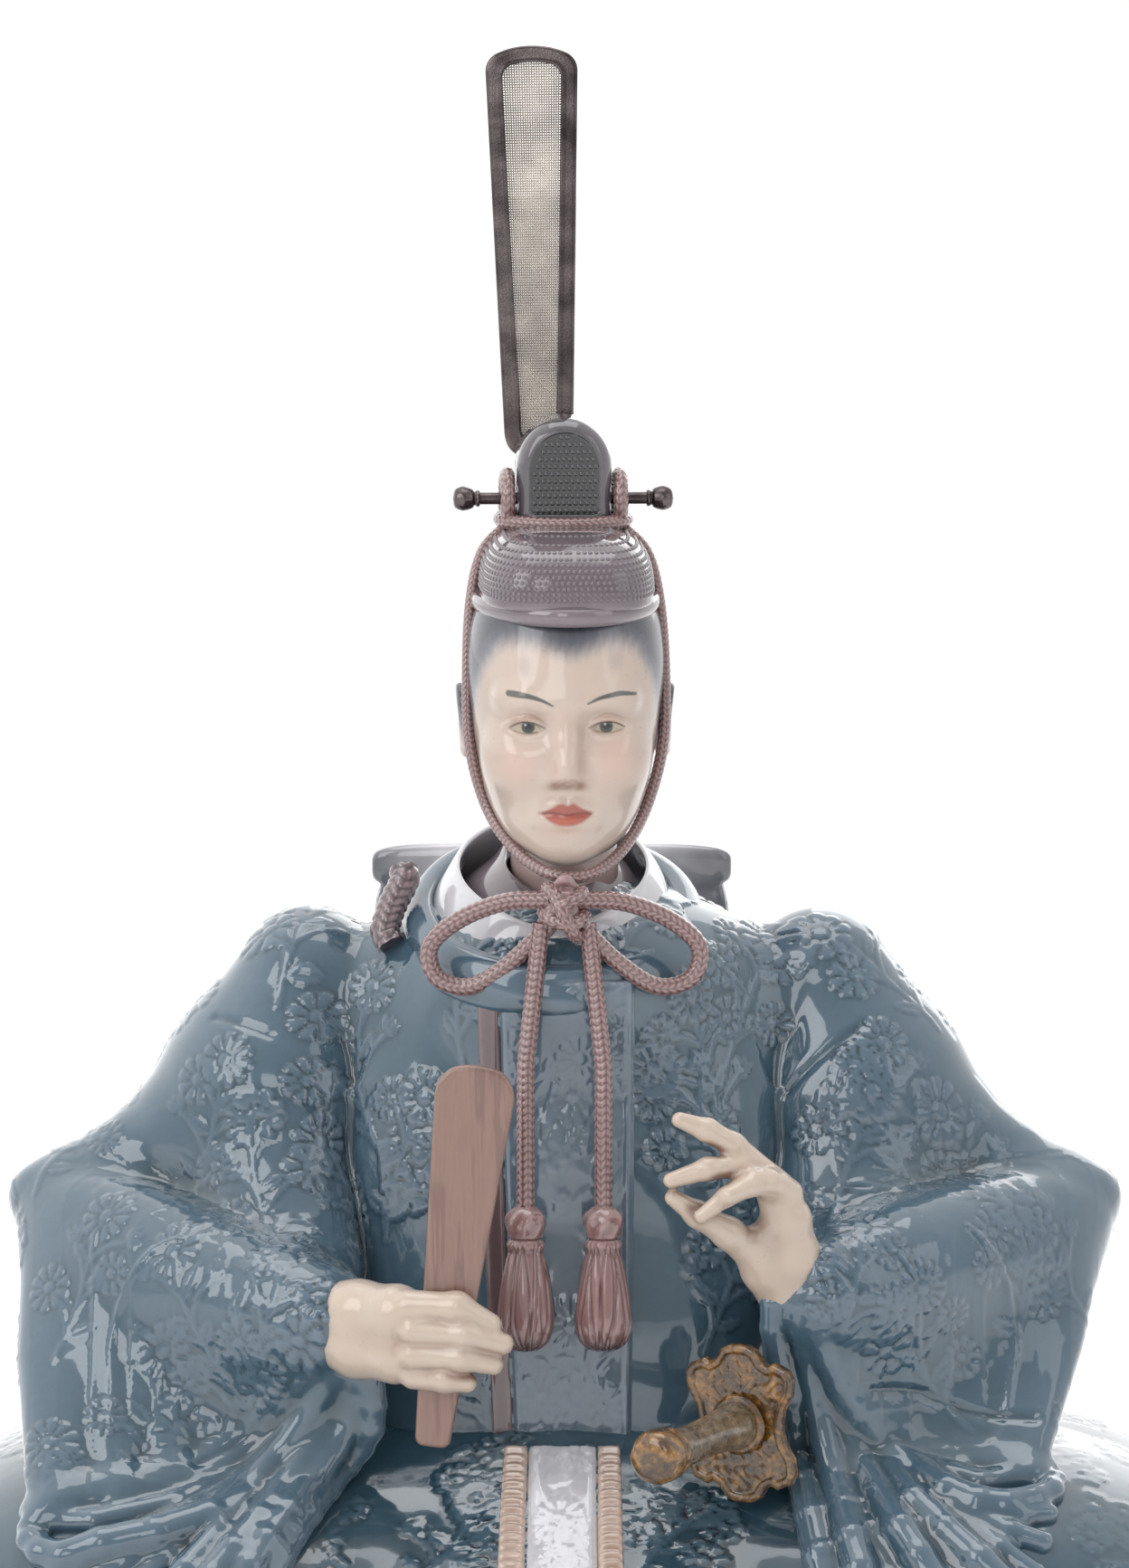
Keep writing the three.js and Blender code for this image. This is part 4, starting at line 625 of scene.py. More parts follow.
torso_form = joined(
    torso_blend,
    pillow((0, chest_back, chest_level), chest_radii, torso_squareness),
    pillow((0, chest_back, waist_level), waist_radii, torso_squareness),
    pillow((0, -chest_back, yoke_level), yoke_radii),
    chain([(side * shoulder_spread, chest_back, shoulder_level, shoulder_girth) for side in (-1, 0, 1)]),
)

# Beads (x, y, z, radius) for the doll's left side; the right side is the mirror of those that both share
shoulder_beads = [(66, 5, 194, 17), (79, 3, 167, 25), (92, 1.5, 154, 20), (112, 1, 144.5, 13), (128, 1, 140, 8.5),
                  (137, 0, 138, 4.5)]
web_beads = [(66, 4, 190, 15), (71, -4, 163, 19.5), (73, -14, 138, 19.5), (67, -31, 122, 15.5)]
forearm_beads = {
    -1: [(135, 0, 137, 6), (118, -14, 129, 13.5), (99, -30, 121, 16.5), (80, -44, 115.5, 15.5), (62, -57, 113, 12.5)],
    1: [(135, 0, 136, 7), (118, -13, 129, 14.5), (100, -27, 125, 16.5), (84, -41, 123, 15.5), (66, -53, 119, 13)],
}

# Front view places of the sleeves' lower edges, as (pixel across, pixel down, lift, radius)
front_panel_rim = {
    -1: [(348, 1486, 24, 3.4), (334, 1508, 20, 3.6), (306, 1550, 13, 3.8), (276, 1590, 8, 4), (218, 1630, 5, 4),
         (150, 1644, 4, 3.8), (84, 1656, 3, 3.4), (48, 1676, 2, 3)],
    1: [(912, 1400, 27, 3.2), (922, 1449, 26, 3.4), (938, 1520, 20, 3.8), (964, 1562, 14, 4), (1004, 1592, 8, 4),
        (1048, 1614, 5, 3.8), (1100, 1622, 3, 3.4), (1140, 1634, 2, 3)],
}
drape_ridges = {
    -1: [
        [(366, 1512, 22, 3.2), (332, 1580, 15, 3.8), (280, 1640, 7, 4.2), (221, 1680, 5, 4.6), (131, 1698, 4, 4.6),
         (70, 1716, 3, 4), (40, 1706, 2.4, 3.4), (34, 1690, 2, 3)],
        [(372, 1518, 23, 2.6), (350, 1552, 20, 2.8), (322, 1596, 14, 3), (285, 1645, 8, 3.2), (221, 1716, 5, 3.4),
         (170, 1770, 4, 4), (130, 1810, 3, 4)],
        [(382, 1516, 23, 3), (368, 1562, 20, 3.2), (318, 1640, 11, 3.6), (262, 1708, 6, 4), (215, 1765, 5, 4.4),
         (180, 1820, 3, 4)],
        [(398, 1520, 22, 3.2), (386, 1572, 19, 3.6), (346, 1636, 12, 4), (298, 1700, 7, 4.4), (262, 1756, 5, 4.6),
         (236, 1820, 3, 4)],
        [(412, 1524, 19, 3.4), (410, 1580, 13, 3.6), (380, 1622, 8, 4), (340, 1672, 5, 4), (312, 1716, 4, 4),
         (288, 1780, 3, 4)],
    ],
    1: [
        [(852, 1440, 22, 3), (856, 1490, 18, 3.4), (876, 1556, 12, 3.8), (886, 1610, 8, 4), (892, 1664, 5, 4.2),
         (906, 1730, 4, 4.4), (924, 1800, 3, 4.4)],
        [(886, 1462, 25, 2.8), (900, 1540, 19, 3.4), (920, 1630, 11, 4), (942, 1712, 6, 4.4), (968, 1790, 4, 4.4)],
        [(898, 1462, 26, 2.6), (922, 1536, 21, 3), (952, 1616, 12, 3.4), (992, 1684, 7, 4), (1030, 1742, 4, 4.2),
         (1060, 1800, 3, 4)],
        [(906, 1470, 26, 2.6), (932, 1540, 20, 2.8), (972, 1606, 12, 3), (1008, 1654, 7, 3.4), (1078, 1718, 4, 4.2),
         (1130, 1770, 3, 4)],
        [(916, 1500, 24, 2.4), (944, 1556, 17, 2.6), (986, 1608, 10, 3), (1044, 1646, 6, 4), (1100, 1662, 4, 4),
         (1150, 1654, 3, 3.4), (1168, 1640, 2.4, 2.8)],
    ],
}
resting = joined(4, torso_form, robe_form)


def hung(rows):
    """Beads of an edge or a fold that hangs in front of the wrist and then lies on the lap"""
    return laid(resting, rows, np.linspace(-60, -36, len(rows)))


def upper_sleeve(side):
    """The sleeve from the shoulder to the elbow, with the cloth between it and the chest"""
    return joined(14, chain(mirrored(side, shoulder_beads), 6), chain(mirrored(side, web_beads), 6))


def forearm(side):
    """The forearm's tube and the front panel that hangs from it to its rim"""
    arm = smooth_beads(mirrored(side, forearm_beads[side]), 9)
    rim = hung(front_panel_rim[side])
    below = smooth_beads(rim[::-1], 9)
    panels = []
    for top, foot in zip(arm, below):
        middle = (top[:3] + foot[:3]) / 2 + np.array([side * 2.0, 1.5, 0])
        panels.append(chain([(*top[:3], top[3] * 0.75), (*middle, (top[3] + foot[3]) * 0.45), (*foot[:3], foot[3])]))
    edge = chain(smooth_beads(rim, 16), 2)
    return joined(4.5, joined(11, chain(arm, 6), *panels), edge)


def cloth_between(first, second, depth, girth):
    """Lines of beads across the gap between two folds, deeper than the folds but never under what they lie on"""
    first = smooth_beads(first, 7)
    second = smooth_beads(second, 7)
    widest = np.linalg.norm((first - second)[:, :3], axis=1).max()
    count = max(2, int(round(widest / 8)))
    lines = []
    for share in np.arange(1, count) / count:
        line = first + (second - first) * share
        line[:, 3] *= girth
        line[:, 1] += depth
        height = resting(line[:, :3])
        line[:, :3] += np.maximum(line[:, 3] * 0.2 - height, 0)[:, None] * slope_of(resting, line[:, :3], 1.0)
        lines.append(chain(line, 1))
    return lines


def drape(side):
    """The cloth that falls from the sleeve's mouth over the lap, in folds"""
    ridges = [hung(ridge) for ridge in drape_ridges[side]]
    lines = [chain(smooth_beads(ridge, 11), 1) for ridge in ridges]
    for first, second in zip(ridges[:-1], ridges[1:]):
        lines += cloth_between(first, second, 3.4, 0.8)
    outermost = ridges[0] if side < 0 else ridges[-1]
    lines += cloth_between(hung(front_panel_rim[side]), outermost, 6, 0.8)
    return joined(2.4, *lines)


components = {
    "torso": torso_form,
    "right_sleeve": upper_sleeve(-1), "left_sleeve": upper_sleeve(1),
    "right_cuff": forearm(-1), "left_cuff": forearm(1),
    "right_drape": drape(-1), "left_drape": drape(1),
}


def robe_above(p):
    """The whole robe above the lap, where it isn't inside the lower robe"""
    result = torso_form(p)
    for side in ("right", "left"):
        arm = soft_min(components[side + "_sleeve"](p), components[side + "_cuff"](p), 7)
        arm = soft_min(arm, components[side + "_drape"](p), 3)
        result = soft_min(result, arm, 2.5)
    return soft_max(result, -robe_form(p) - 3, 1.0)


# Relief of flowers, leaves and stems

def blossom(u, v, centre, radius, petals, turn):
    """A flower with rounded petals round a raised button"""
    x = u - centre[0]
    y = v - centre[1]
    away = np.hypot(x, y)
    phase = np.abs(((np.arctan2(y, x) + turn) * petals / (2 * math.pi)) % 1 - 0.5) * 2
    reach = radius * (1 - 0.2 * phase ** 3)
    petal = ramp(1 - phase, 0.04, 0.42) * ramp(reach - away, 0, 0.9) * (0.5 + 0.5 * ramp(away, 0, radius))
    button = ramp(radius * 0.27 - away, -0.2, 0.7) * 1.05
    return np.maximum(petal * ramp(away, radius * 0.22, radius * 0.4), button)


def leaf(u, v, foot, tip, width):
    """A pointed leaf with a sunk rib"""
    along = np.array(tip) - np.array(foot)
    length = math.hypot(*along)
    along = along / length
    x = (u - foot[0]) * along[0] + (v - foot[1]) * along[1]
    y = -(u - foot[0]) * along[1] + (v - foot[1]) * along[0]
    share = np.clip(x / length, 0, 1)
    half = width * np.sin(math.pi * share ** 0.85) * (1 + 0.08 * np.sin(share * 26))
    body = ramp(half - np.abs(y), 0, 0.8) * (x > 0) * (x < length)
    rib = 0.45 * np.exp(-(y / 0.5) ** 2)
    return body * (0.8 - rib)


def stem(u, v, points, radius):
    """A round stem along a bent line"""
    best = np.full(len(u), 9.0)
    for a, b in zip(points[:-1], points[1:]):
        along = np.array(b) - np.array(a)
        share = np.clip(((u - a[0]) * along[0] + (v - a[1]) * along[1]) / (along @ along), 0, 1)
        best = np.minimum(best, np.hypot(u - a[0] - share * along[0], v - a[1] - share * along[1]))
    return 0.62 * ramp(radius - best, -0.5, 0.5)


def bent(start, end, sag):
    """A bowed line from one place to another"""
    start = np.array(start)
    end = np.array(end)
    across = np.array([start[1] - end[1], end[0] - start[0]])
    return [tuple(start + (end - start) * t + across * sag * 4 * t * (1 - t)) for t in np.linspace(0, 1, 7)]


def spray(u, v, seed, size):
    """A bowed stem with side shoots that end in flowers, and leaves between them"""
    draw = np.random.default_rng(seed)
    root = np.array([draw.uniform(-4, 4), -size])
    head = np.array([draw.uniform(-6, 6), size * 0.62])
    main = bent(root, head, draw.uniform(-0.16, 0.16))
    height = stem(u, v, main, 0.75)
    height = np.maximum(height, blossom(u, v, head, draw.uniform(7, 8.2), int(draw.choice([11, 12, 13])), 0.2))
    side = draw.choice([-1, 1])
    for share, length in ((0.2, 0.62), (0.36, 0.66), (0.52, 0.6), (0.7, 0.5)):
        joint = np.array(main[int(round(share * 6))])
        side = -side
        angle = math.radians(draw.uniform(28, 58)) * side
        tip = joint + size * length * np.array([math.sin(angle), math.cos(angle)]) * draw.uniform(0.8, 1.05)
        height = np.maximum(height, stem(u, v, bent(joint, tip, 0.1 * side), 0.7))
        kind = draw.random()
        if kind < 0.62:
            petals = int(draw.choice([8, 9, 10, 11]))
            height = np.maximum(height, blossom(u, v, tip, draw.uniform(5.6, 7), petals, draw.uniform(0, 1)))
        else:
            for turn in (-0.5, 0, 0.5):
                bud = tip + 6.4 * np.array([math.sin(angle + turn), math.cos(angle + turn)])
                height = np.maximum(height, leaf(u, v, tip, bud, 1.7))
        angle = math.radians(draw.uniform(40, 80)) * -side
        tip = joint + np.array([math.sin(angle), math.cos(angle)]) * draw.uniform(8, 12)
        height = np.maximum(height, leaf(u, v, joint, tip, draw.uniform(1.8, 2.6)))
    return height


def carve_flowers(vertices, normals, anchors, seed, size, spacing):
    """Sprays laid over a surface: first at the anchors, then wherever a place is still bare"""
    draw = np.random.default_rng(seed)
    plain_foot = 4.0
    tries = 2600
    height = np.zeros(len(vertices))
    centres = [np.array(a) for a in anchors]
    for place in vertices[draw.integers(0, len(vertices), tries)]:
        if place[2] < plain_foot:
            continue
        if all(((place - c) ** 2).sum() > spacing ** 2 for c in centres):
            centres.append(place)
    for number, centre in enumerate(centres):
        away = vertices - centre
        near = np.flatnonzero((away ** 2).sum(1) < (size * 1.45) ** 2)
        if len(near) < 12:
            continue
        core = near[(away[near] ** 2).sum(1) < 81]
        if len(core) == 0:
            continue
        facing = normals[core].mean(0)
        facing /= np.linalg.norm(facing)
        turn = draw.uniform(-0.7, 0.7)
        level = abs(facing[2]) >= 0.85
        up = np.array([0.3, 1.0, 0.0]) if level else np.array([math.sin(turn), 0.0, math.cos(turn)])
        up = up - facing * (up @ facing)
        up /= np.linalg.norm(up)
        side = np.cross(up, facing)
        near = near[(normals[near] @ facing > 0.25) & (np.abs(away[near] @ facing) < 16)]
        u = away[near] @ side
        v = away[near] @ up
        shape = spray(u, v, seed * 1000 + number, size) * ramp(size * 1.4 - np.hypot(u, v), 0, 2)
        height[near] = np.maximum(height[near], shape)
    return height


def glaze_paints(vertices, faces, relief, normals, edges):
    """Where the glaze runs thin and where it pools, from the relief and from the hollows of the folds. In the folds'
    hollows the pooled colour is also painted shade, and on their crests the thin colour is also painted light.
    """
    broad = 26
    soft = eased(relief, faces, 4, 0.7, edges)
    relief_pool = np.clip((soft - relief) * 2.2, 0, 1)
    smooth = eased(vertices, faces, broad, 0.7, edges)
    # hollow: how far a place lies sunk in a fold, darkened as pooled glaze and as painted shade
    hollow = ((smooth - vertices) * normals).sum(1)
    hollow = eased(hollow, faces, 3, 0.7, edges)
    pool = np.clip(relief_pool * 0.75 + np.clip(hollow, 0, 1.4) * 0.85, 0, 1)
    # crest: pale as thin glaze, and on the fold crests also painted light
    crest = np.clip(np.clip(-hollow, 0, 1.6) * 0.5 + np.clip(relief - soft, 0, 1) * 0.8, 0, 1)
    return {"relief": relief, "pool": pool, "crest": crest}


def seams(form, vertices, rows):
    """Fine ridges and grooves along lines of the front view: (pixels, height, width)"""
    height = np.zeros(len(vertices))
    for pixels, rise, width in rows:
        line = smooth_beads(seen(form, pixels), 3 * len(pixels))
        away = chain(np.column_stack([line, np.zeros(len(line))]))(vertices)
        height += rise * np.exp(-(away / width) ** 2)
    return height


def drapes(p):
    """Distance to the nearer drape"""
    return np.minimum(components["right_drape"](p), components["left_drape"](p))


relief_depth = 0.55  # how far a flower stands out


def relief_casting(form, low, high, step, anchors, seed, size, spacing, lines=()):
    """A glazed surface with its relief, plain on the drapes and lower at the sides: vertices, faces, normals, paints"""
    vertices, faces = surface(form, low, high, step)
    edges = edges_of(faces)
    normals = normals_of(vertices, faces)
    relief = carve_flowers(vertices, eased(normals, faces, 6, 1, edges), anchors, seed, size, spacing)
    relief *= ramp(in_chunks(drapes, vertices), 1.5, 7)
    relief *= 1 - 0.4 * ramp(np.abs(vertices[:, 0]), 55, 105)
    vertices = vertices + normals * (relief * relief_depth + seams(form, vertices, lines))[:, None]
    normals = normals_of(vertices, faces)
    return vertices, faces, normals, glaze_paints(vertices, faces, relief, normals, edges)


def add_casting(name, casting, keep, material):
    """The piece that takes the place of one solid: the faces of a casting that are kept"""
    vertices, faces, normals, paints = casting
    vertices, faces, normals, *kept = kept_part(vertices, faces, keep, normals, *paints.values())
    add_piece(name + "_casting", vertices, faces, material, "robe_glaze", paints=dict(zip(paints, kept)),
              normals=normals)


# Robe above the lap: one surface, parted into the castings that it is put together from
flower_pixels = [
    (402, 1160), (440, 1275), (372, 1330), (640, 1200), (622, 1290), (770, 1170), (752, 1245), (836, 1090), (800, 1400),
    (232, 1240), (300, 1300), (90, 1410), (200, 1450), (280, 1420), (160, 1560), (250, 1540),
    (1000, 1220), (1080, 1300), (940, 1270), (1130, 1400), (960, 1420), (1040, 1480), (1180, 1390),
]
seam_pixels = [
    ([(199, 1373), (186, 1376), (159, 1393), (131, 1446), (121, 1490), (123, 1530), (124, 1570)], 0.6, 0.8),
    ([(1071, 1358), (1097, 1387), (1118, 1434), (1124, 1485), (1120, 1530), (1115, 1565)], 0.6, 0.8),
    ([(232, 1129), (262, 1136), (295, 1148)], -0.7, 1.2),
    ([(960, 1136), (925, 1160), (895, 1186), (872, 1212)], -0.9, 1.3),
    ([(966, 1539), (1010, 1541), (1050, 1557), (1100, 1570), (1147, 1572)], -0.9, 1.4),
    ([(345, 1470), (339, 1500), (318, 1535), (296, 1566), (262, 1598), (218, 1620)], -0.5, 1.1),
    ([(908, 1390), (915, 1440), (928, 1500), (948, 1545)], -0.5, 1.2),
]
casting = relief_casting(
    robe_above, (-158, -118, 22), (158, 62, 226), robe_step, seen(robe_above, flower_pixels), seed=7, size=24.0,
    spacing=33.0, lines=seam_pixels)
vertices, faces = casting[:2]
buried = in_chunks(robe_form, vertices) < -2.2
distances = np.stack([in_chunks(form, vertices) for form in components.values()])
owner = distances.argmin(0)[faces].min(1)
for number, name in enumerate(components):
    add_casting(name, casting, (owner == number) & ~buried[faces].all(1), robe_glaze)

# Lower robe, open below its hollow
lap_pixels = [(480, 1690), (540, 1640), (760, 1700), (700, 1640)]
casting = relief_casting(
    lambda p: soft_max(robe_form(p), -p[:, 2], 1.2), (-190, -128, -3), (190, 128, 92), skirt_step,
    seen(robe_form, lap_pixels), seed=11, size=21.0, spacing=29.0)
vertices, faces = casting[:2]
hollow = in_chunks(lambda p: robe_form(p) + robe_wall, vertices) < -0.5
under = (vertices[:, 2] < 0.6) & hollow
add_casting("robe_skirt", casting, ~under[faces].any(1), skirt_glaze)


# The hollow inside the lower robe and the torso, seen from below

def hollow_form(p):
    space = np.minimum(robe_form(p) + robe_wall, torso_form(p) + torso_wall)
    return soft_max(space, -p[:, 2] - 1.5, 0.5)


vertices, faces = surface(hollow_form, (-186, -124, -9), (186, 124, 222), hollow_step)
faces = faces[(vertices[faces][:, :, 2] > -0.9).any(1)][:, ::-1]
vertices[:, 2] = np.maximum(vertices[:, 2], 0)
in_torso = (robe_form(vertices) + robe_wall > torso_form(vertices) + torso_wall)[faces].all(1)
for name, keep in (("torso", in_torso), ("robe_skirt", ~in_torso)):
    add_piece(name + "_lining", *kept_part(vertices, faces, keep), inside_glaze, "robe_glaze")


# Ways of making the smaller pieces

def spot(place, *turns):
    """A place and the turns that carry a piece's own axes into the part's frame"""
    matrix = np.eye(3)
    for axis, angle in turns:
        matrix = matrix @ np.array(mathutils.Matrix.Rotation(angle, 3, axis))
    return np.array(place, float), matrix


def outward(spot_of, points):
    """From a piece's own axes into the part's frame"""
    return np.asarray(points, float) @ spot_of[1].T + spot_of[0]


def inward(spot_of, points):
    """From the part's frame into a piece's own axes"""
    return (points - spot_of[0]) @ spot_of[1]


def rings(rows, cyclic=False):
    """A skin over rings of points. Open ends are closed by a fan round a point in the middle."""
    rows = np.asarray(rows, float)
    count, around = rows.shape[:2]
    index = np.arange(count * around).reshape(count, around)
    following = np.roll(index, -1, 1)
    first, last = (index, np.roll(index, -1, 0)) if cyclic else (index[:-1], index[1:])
    quads = np.stack([first, following[:len(first)], np.roll(last, -1, 1), last], -1).reshape(-1, 4)
    vertices = rows.reshape(-1, 3)
    if cyclic:
        return faced_out(vertices, [quads])
    middle = np.stack([rows[0].mean(0), rows[-1].mean(0)])
    fans = [np.stack([following[0], index[0], np.full(around, len(vertices))], 1),
            np.stack([index[-1], following[-1], np.full(around, len(vertices) + 1)], 1)]
    return faced_out(np.vstack([vertices, middle]), [quads, *fans])


def faced_out(vertices, groups):
    """A closed skin whose faces point outwards, by the sign of its volume"""
    total = 0
    for faces in groups:
        for corner in range(1, faces.shape[1] - 1):
            a, b, c = vertices[faces[:, 0]], vertices[faces[:, corner]], vertices[faces[:, corner + 1]]
            total += (a * np.cross(b, c)).sum()
    if total < 0:
        groups = [faces[:, ::-1] for faces in groups]
    return vertices, groups


def lathed(profile, sides, spot_of, flutes=None):
    """A turned shape from (radius, height) rows; flutes changes the radius by angle and share of the height"""
    profile = smooth_beads(np.array(profile, float), len(profile) * 5)
    angles = full_turn(sides)
    rows = []
    for number, (radius, height) in enumerate(profile):
        reach = max(radius, 0.02) * (1 + (flutes(angles, number / (len(profile) - 1)) if flutes else 0 * angles))
        rows.append(np.stack([reach * np.cos(angles), reach * np.sin(angles), np.full(sides, height)], 1))
    vertices, faces = rings(rows)
    return outward(spot_of, vertices), faces


def hollows(vertices, faces, depth):
    """Paint for a glaze that runs off the ridges and gathers in the hollows of a closed skin"""
    rounds = 8
    quads = np.vstack([f if f.shape[1] == 4 else np.hstack([f, f[:, 2:]]) for f in faces])
    edges = edges_of(quads)
    edges = edges[edges[:, 0] != edges[:, 1]]
    normals = normals_of(vertices, quads)
    sunk = ((eased(vertices, quads, rounds, 0.8, edges) - vertices) * normals).sum(1) / depth
    sunk = eased(sunk, quads, 2, 0.6, edges)
    return {"relief": np.clip(-sunk, 0, 1), "pool": np.clip(sunk, 0, 1), "crest": np.clip(-sunk, 0, 1) * 0.6}


def cast_piece(name, form, low, high, step, material, slot=None, body="figure", depth=0.6, refine=None, paint=None):
    """A glazed piece from a form: finer where refine says so, and painted by paint or by its hollows"""
    vertices, faces = surface(form, low, high, step)
    groups = [faces]
    if refine:
        vertices, groups = refined(vertices, faces, refine)
        vertices = drawn_onto(form, vertices, step)
    paints = paint(vertices) if paint else hollows(vertices, groups, depth)
    add_piece(name, vertices, groups, material, slot, body, paints)


def skinned(name, skin, material, depth, slot=None, body="figure"):
    """A glazed piece from a closed skin, painted by its hollows"""
    add_piece(name, *skin, material, slot, body, hollows(*skin, depth))


def oval_ring(turn, half_width, half_depth, middle, reach, level):
    """Points that stand out from an upright oval by reach, at one turn round it"""
    across = np.array([math.sin(turn) * half_width, middle - math.cos(turn) * half_depth])
    normal = np.array([math.sin(turn) / half_width, -math.cos(turn) / half_depth])
    normal /= np.linalg.norm(normal)
    return np.column_stack([across[0] + normal[0] * reach, across[1] + normal[1] * reach, level])


def refined(vertices, faces, chosen):
    """The mesh with the faces of a region cut in four"""
    mesh = bmesh.new()
    for place in vertices:
        mesh.verts.new(place)
    mesh.verts.ensure_lookup_table()
    for face in faces:
        mesh.faces.new([mesh.verts[i] for i in face])
    inside = chosen(vertices)
    mesh.verts.index_update()
    edges = [e for e in mesh.edges if inside[e.verts[0].index] and inside[e.verts[1].index]]
    bmesh.ops.subdivide_edges(mesh, edges=edges, cuts=1, use_grid_fill=True)
    bmesh.ops.triangulate(mesh, faces=[f for f in mesh.faces if len(f.verts) > 4])
    mesh.verts.index_update()
    places = np.array([v.co[:] for v in mesh.verts])
    corners = {3: [], 4: []}
    for face in mesh.faces:
        corners[len(face.verts)].append([v.index for v in face.verts])
    mesh.free()
    return places, [np.array(group) for group in corners.values() if group]


def plate_form(outline, half_thickness, rounding):
    """A plate across y whose edge is rounded; outline is a flat distance"""
    def form(p):
        side = outline(p[:, 0], p[:, 2]) + rounding
        face = np.abs(p[:, 1]) - half_thickness + rounding
        outside = np.hypot(np.maximum(side, 0), np.maximum(face, 0))
        return outside + np.minimum(np.maximum(side, face), 0) - rounding
    return form


def placed(spot_of, form):
    """A form given in a piece's own axes, in the part's frame"""
    return lambda p: form(inward(spot_of, p))


# Geometry node trees

def new_tree(name, **sizes):
    """An empty tree with a named input for each size; returns the node calls, the inputs and the output socket"""
    tree = bpy.data.node_groups.new(name, "GeometryNodeTree")
    tree.interface.new_socket("Geometry", in_out="INPUT", socket_type="NodeSocketGeometry")
    for label, value in sizes.items():
        kind = "NodeSocketInt" if isinstance(value, int) else "NodeSocketFloat"
        tree.interface.new_socket(label, in_out="INPUT", socket_type=kind).default_value = value
    tree.interface.new_socket("Finish", in_out="INPUT", socket_type="NodeSocketMaterial")
    tree.interface.new_socket("Geometry", in_out="OUTPUT", socket_type="NodeSocketGeometry")
    nodes = Nodes(tree)
    given = nodes.add("NodeGroupInput").outputs
    output = nodes.add("NodeGroupOutput")
    return nodes, given, output


def finish_tree(nodes, given, output, geometry):
    """The tree's end: real copies, smooth, in the finish that is handed in"""
    real = nodes.add("GeometryNodeRealizeInstances", {"Geometry": geometry})
    smooth = nodes.add("GeometryNodeSetShadeSmooth", {"Geometry": real})
    finished = nodes.add("GeometryNodeSetMaterial", {"Geometry": smooth, "Material": given["Finish"]})
    nodes.tree.links.new(finished.outputs[0], output.inputs[0])
    return nodes.tree


def grown_by(tree, name, data, sizes, material, nodes=None, slot=None, body="figure"):
    """The plain mesh that a tree makes from a curve or a cloud of points"""
    source = bpy.data.objects.new(name + "_guide", data)
    bpy.context.scene.collection.objects.link(source)
    modifier = source.modifiers.new("make", "NODES")
    modifier.node_group = tree
    for socket in tree.interface.items_tree:
        if socket.in_out == "INPUT" and socket.name in sizes:
            modifier[socket.identifier] = sizes[socket.name]
        if socket.in_out == "INPUT" and socket.name == "Finish":
            modifier[socket.identifier] = material
    graph = bpy.context.evaluated_depsgraph_get()
    made = source.evaluated_get(graph)
    mesh = bpy.data.meshes.new_from_object(made, preserve_all_data_layers=True, depsgraph=graph)
    mesh.name = name
    source.modifiers.clear()
    bpy.data.objects.remove(source)
    thing = bpy.data.objects.new(name, mesh)
    bpy.context.scene.collection.objects.link(thing)
    declare(thing, material, slot, body, nodes)
    return thing


def braid_tree():
    """A cord plaited in chevrons along a curve"""
    nodes, given, output = new_tree(
        "braided_cord", Radius=0.0026, Pitch=0.002, Depth=0.0003, Plaits=5, Sides=40, Fineness=0.0004)
    path = nodes.add("GeometryNodeResampleCurve", {"Curve": given["Geometry"], "Length": given["Fineness"]},
                     mode="LENGTH")
    along = nodes.add("GeometryNodeCaptureAttribute", {"Geometry": path}, domain="POINT")
    along.capture_items.new("FLOAT", "along")
    nodes.tree.links.new(nodes.add("GeometryNodeSplineParameter").outputs["Length"], along.inputs[1])
    circle = nodes.add("GeometryNodeCurvePrimitiveCircle", {"Resolution": given["Sides"], "Radius": given["Radius"]},
                       mode="RADIUS")
    around = nodes.add("GeometryNodeCaptureAttribute", {"Geometry": circle}, domain="POINT")
    around.capture_items.new("FLOAT", "around")
    nodes.tree.links.new(nodes.add("GeometryNodeSplineParameter").outputs["Factor"], around.inputs[1])
    tube = nodes.add("GeometryNodeCurveToMesh", {"Curve": along, "Profile Curve": around, "Fill Caps": True})
    zigzag = nodes.sum("PINGPONG", nodes.times(around.outputs[1], given["Plaits"]), 0.5)
    turns = nodes.sum("DIVIDE", along.outputs[1], given["Pitch"])
    strand = nodes.sum("SINE", nodes.times(nodes.times_plus(zigzag, 1.5, turns), math.pi))
    strand = nodes.sum("POWER", nodes.sum("ABSOLUTE", strand), 0.7)
    border = nodes.sum("ABSOLUTE", nodes.times_plus(zigzag, 4, -1.0))
    border = nodes.sum("SUBTRACT", 1.0, nodes.times(nodes.sum("POWER", border, 5), 0.6))
    height = nodes.times(strand, border)
    push = nodes.times(nodes.sum("SUBTRACT", height, 0.7), given["Depth"])
    scaled = nodes.add("ShaderNodeVectorMath", {0: nodes.add("GeometryNodeInputNormal"), "Scale": push},
                       operation="SCALE")
    moved = nodes.add("GeometryNodeSetPosition", {"Geometry": tube, "Offset": scaled})
    raised = nodes.add("GeometryNodeStoreNamedAttribute", {
        "Geometry": moved, "Name": "relief", "Value": height}, data_type="FLOAT", domain="POINT")
    deep = nodes.sum("SUBTRACT", 0.85, height)
    sunk = nodes.add("GeometryNodeStoreNamedAttribute", {
        "Geometry": raised, "Name": "pool", "Value": deep}, data_type="FLOAT", domain="POINT")
    return finish_tree(nodes, given, output, sunk)


braid = braid_tree()


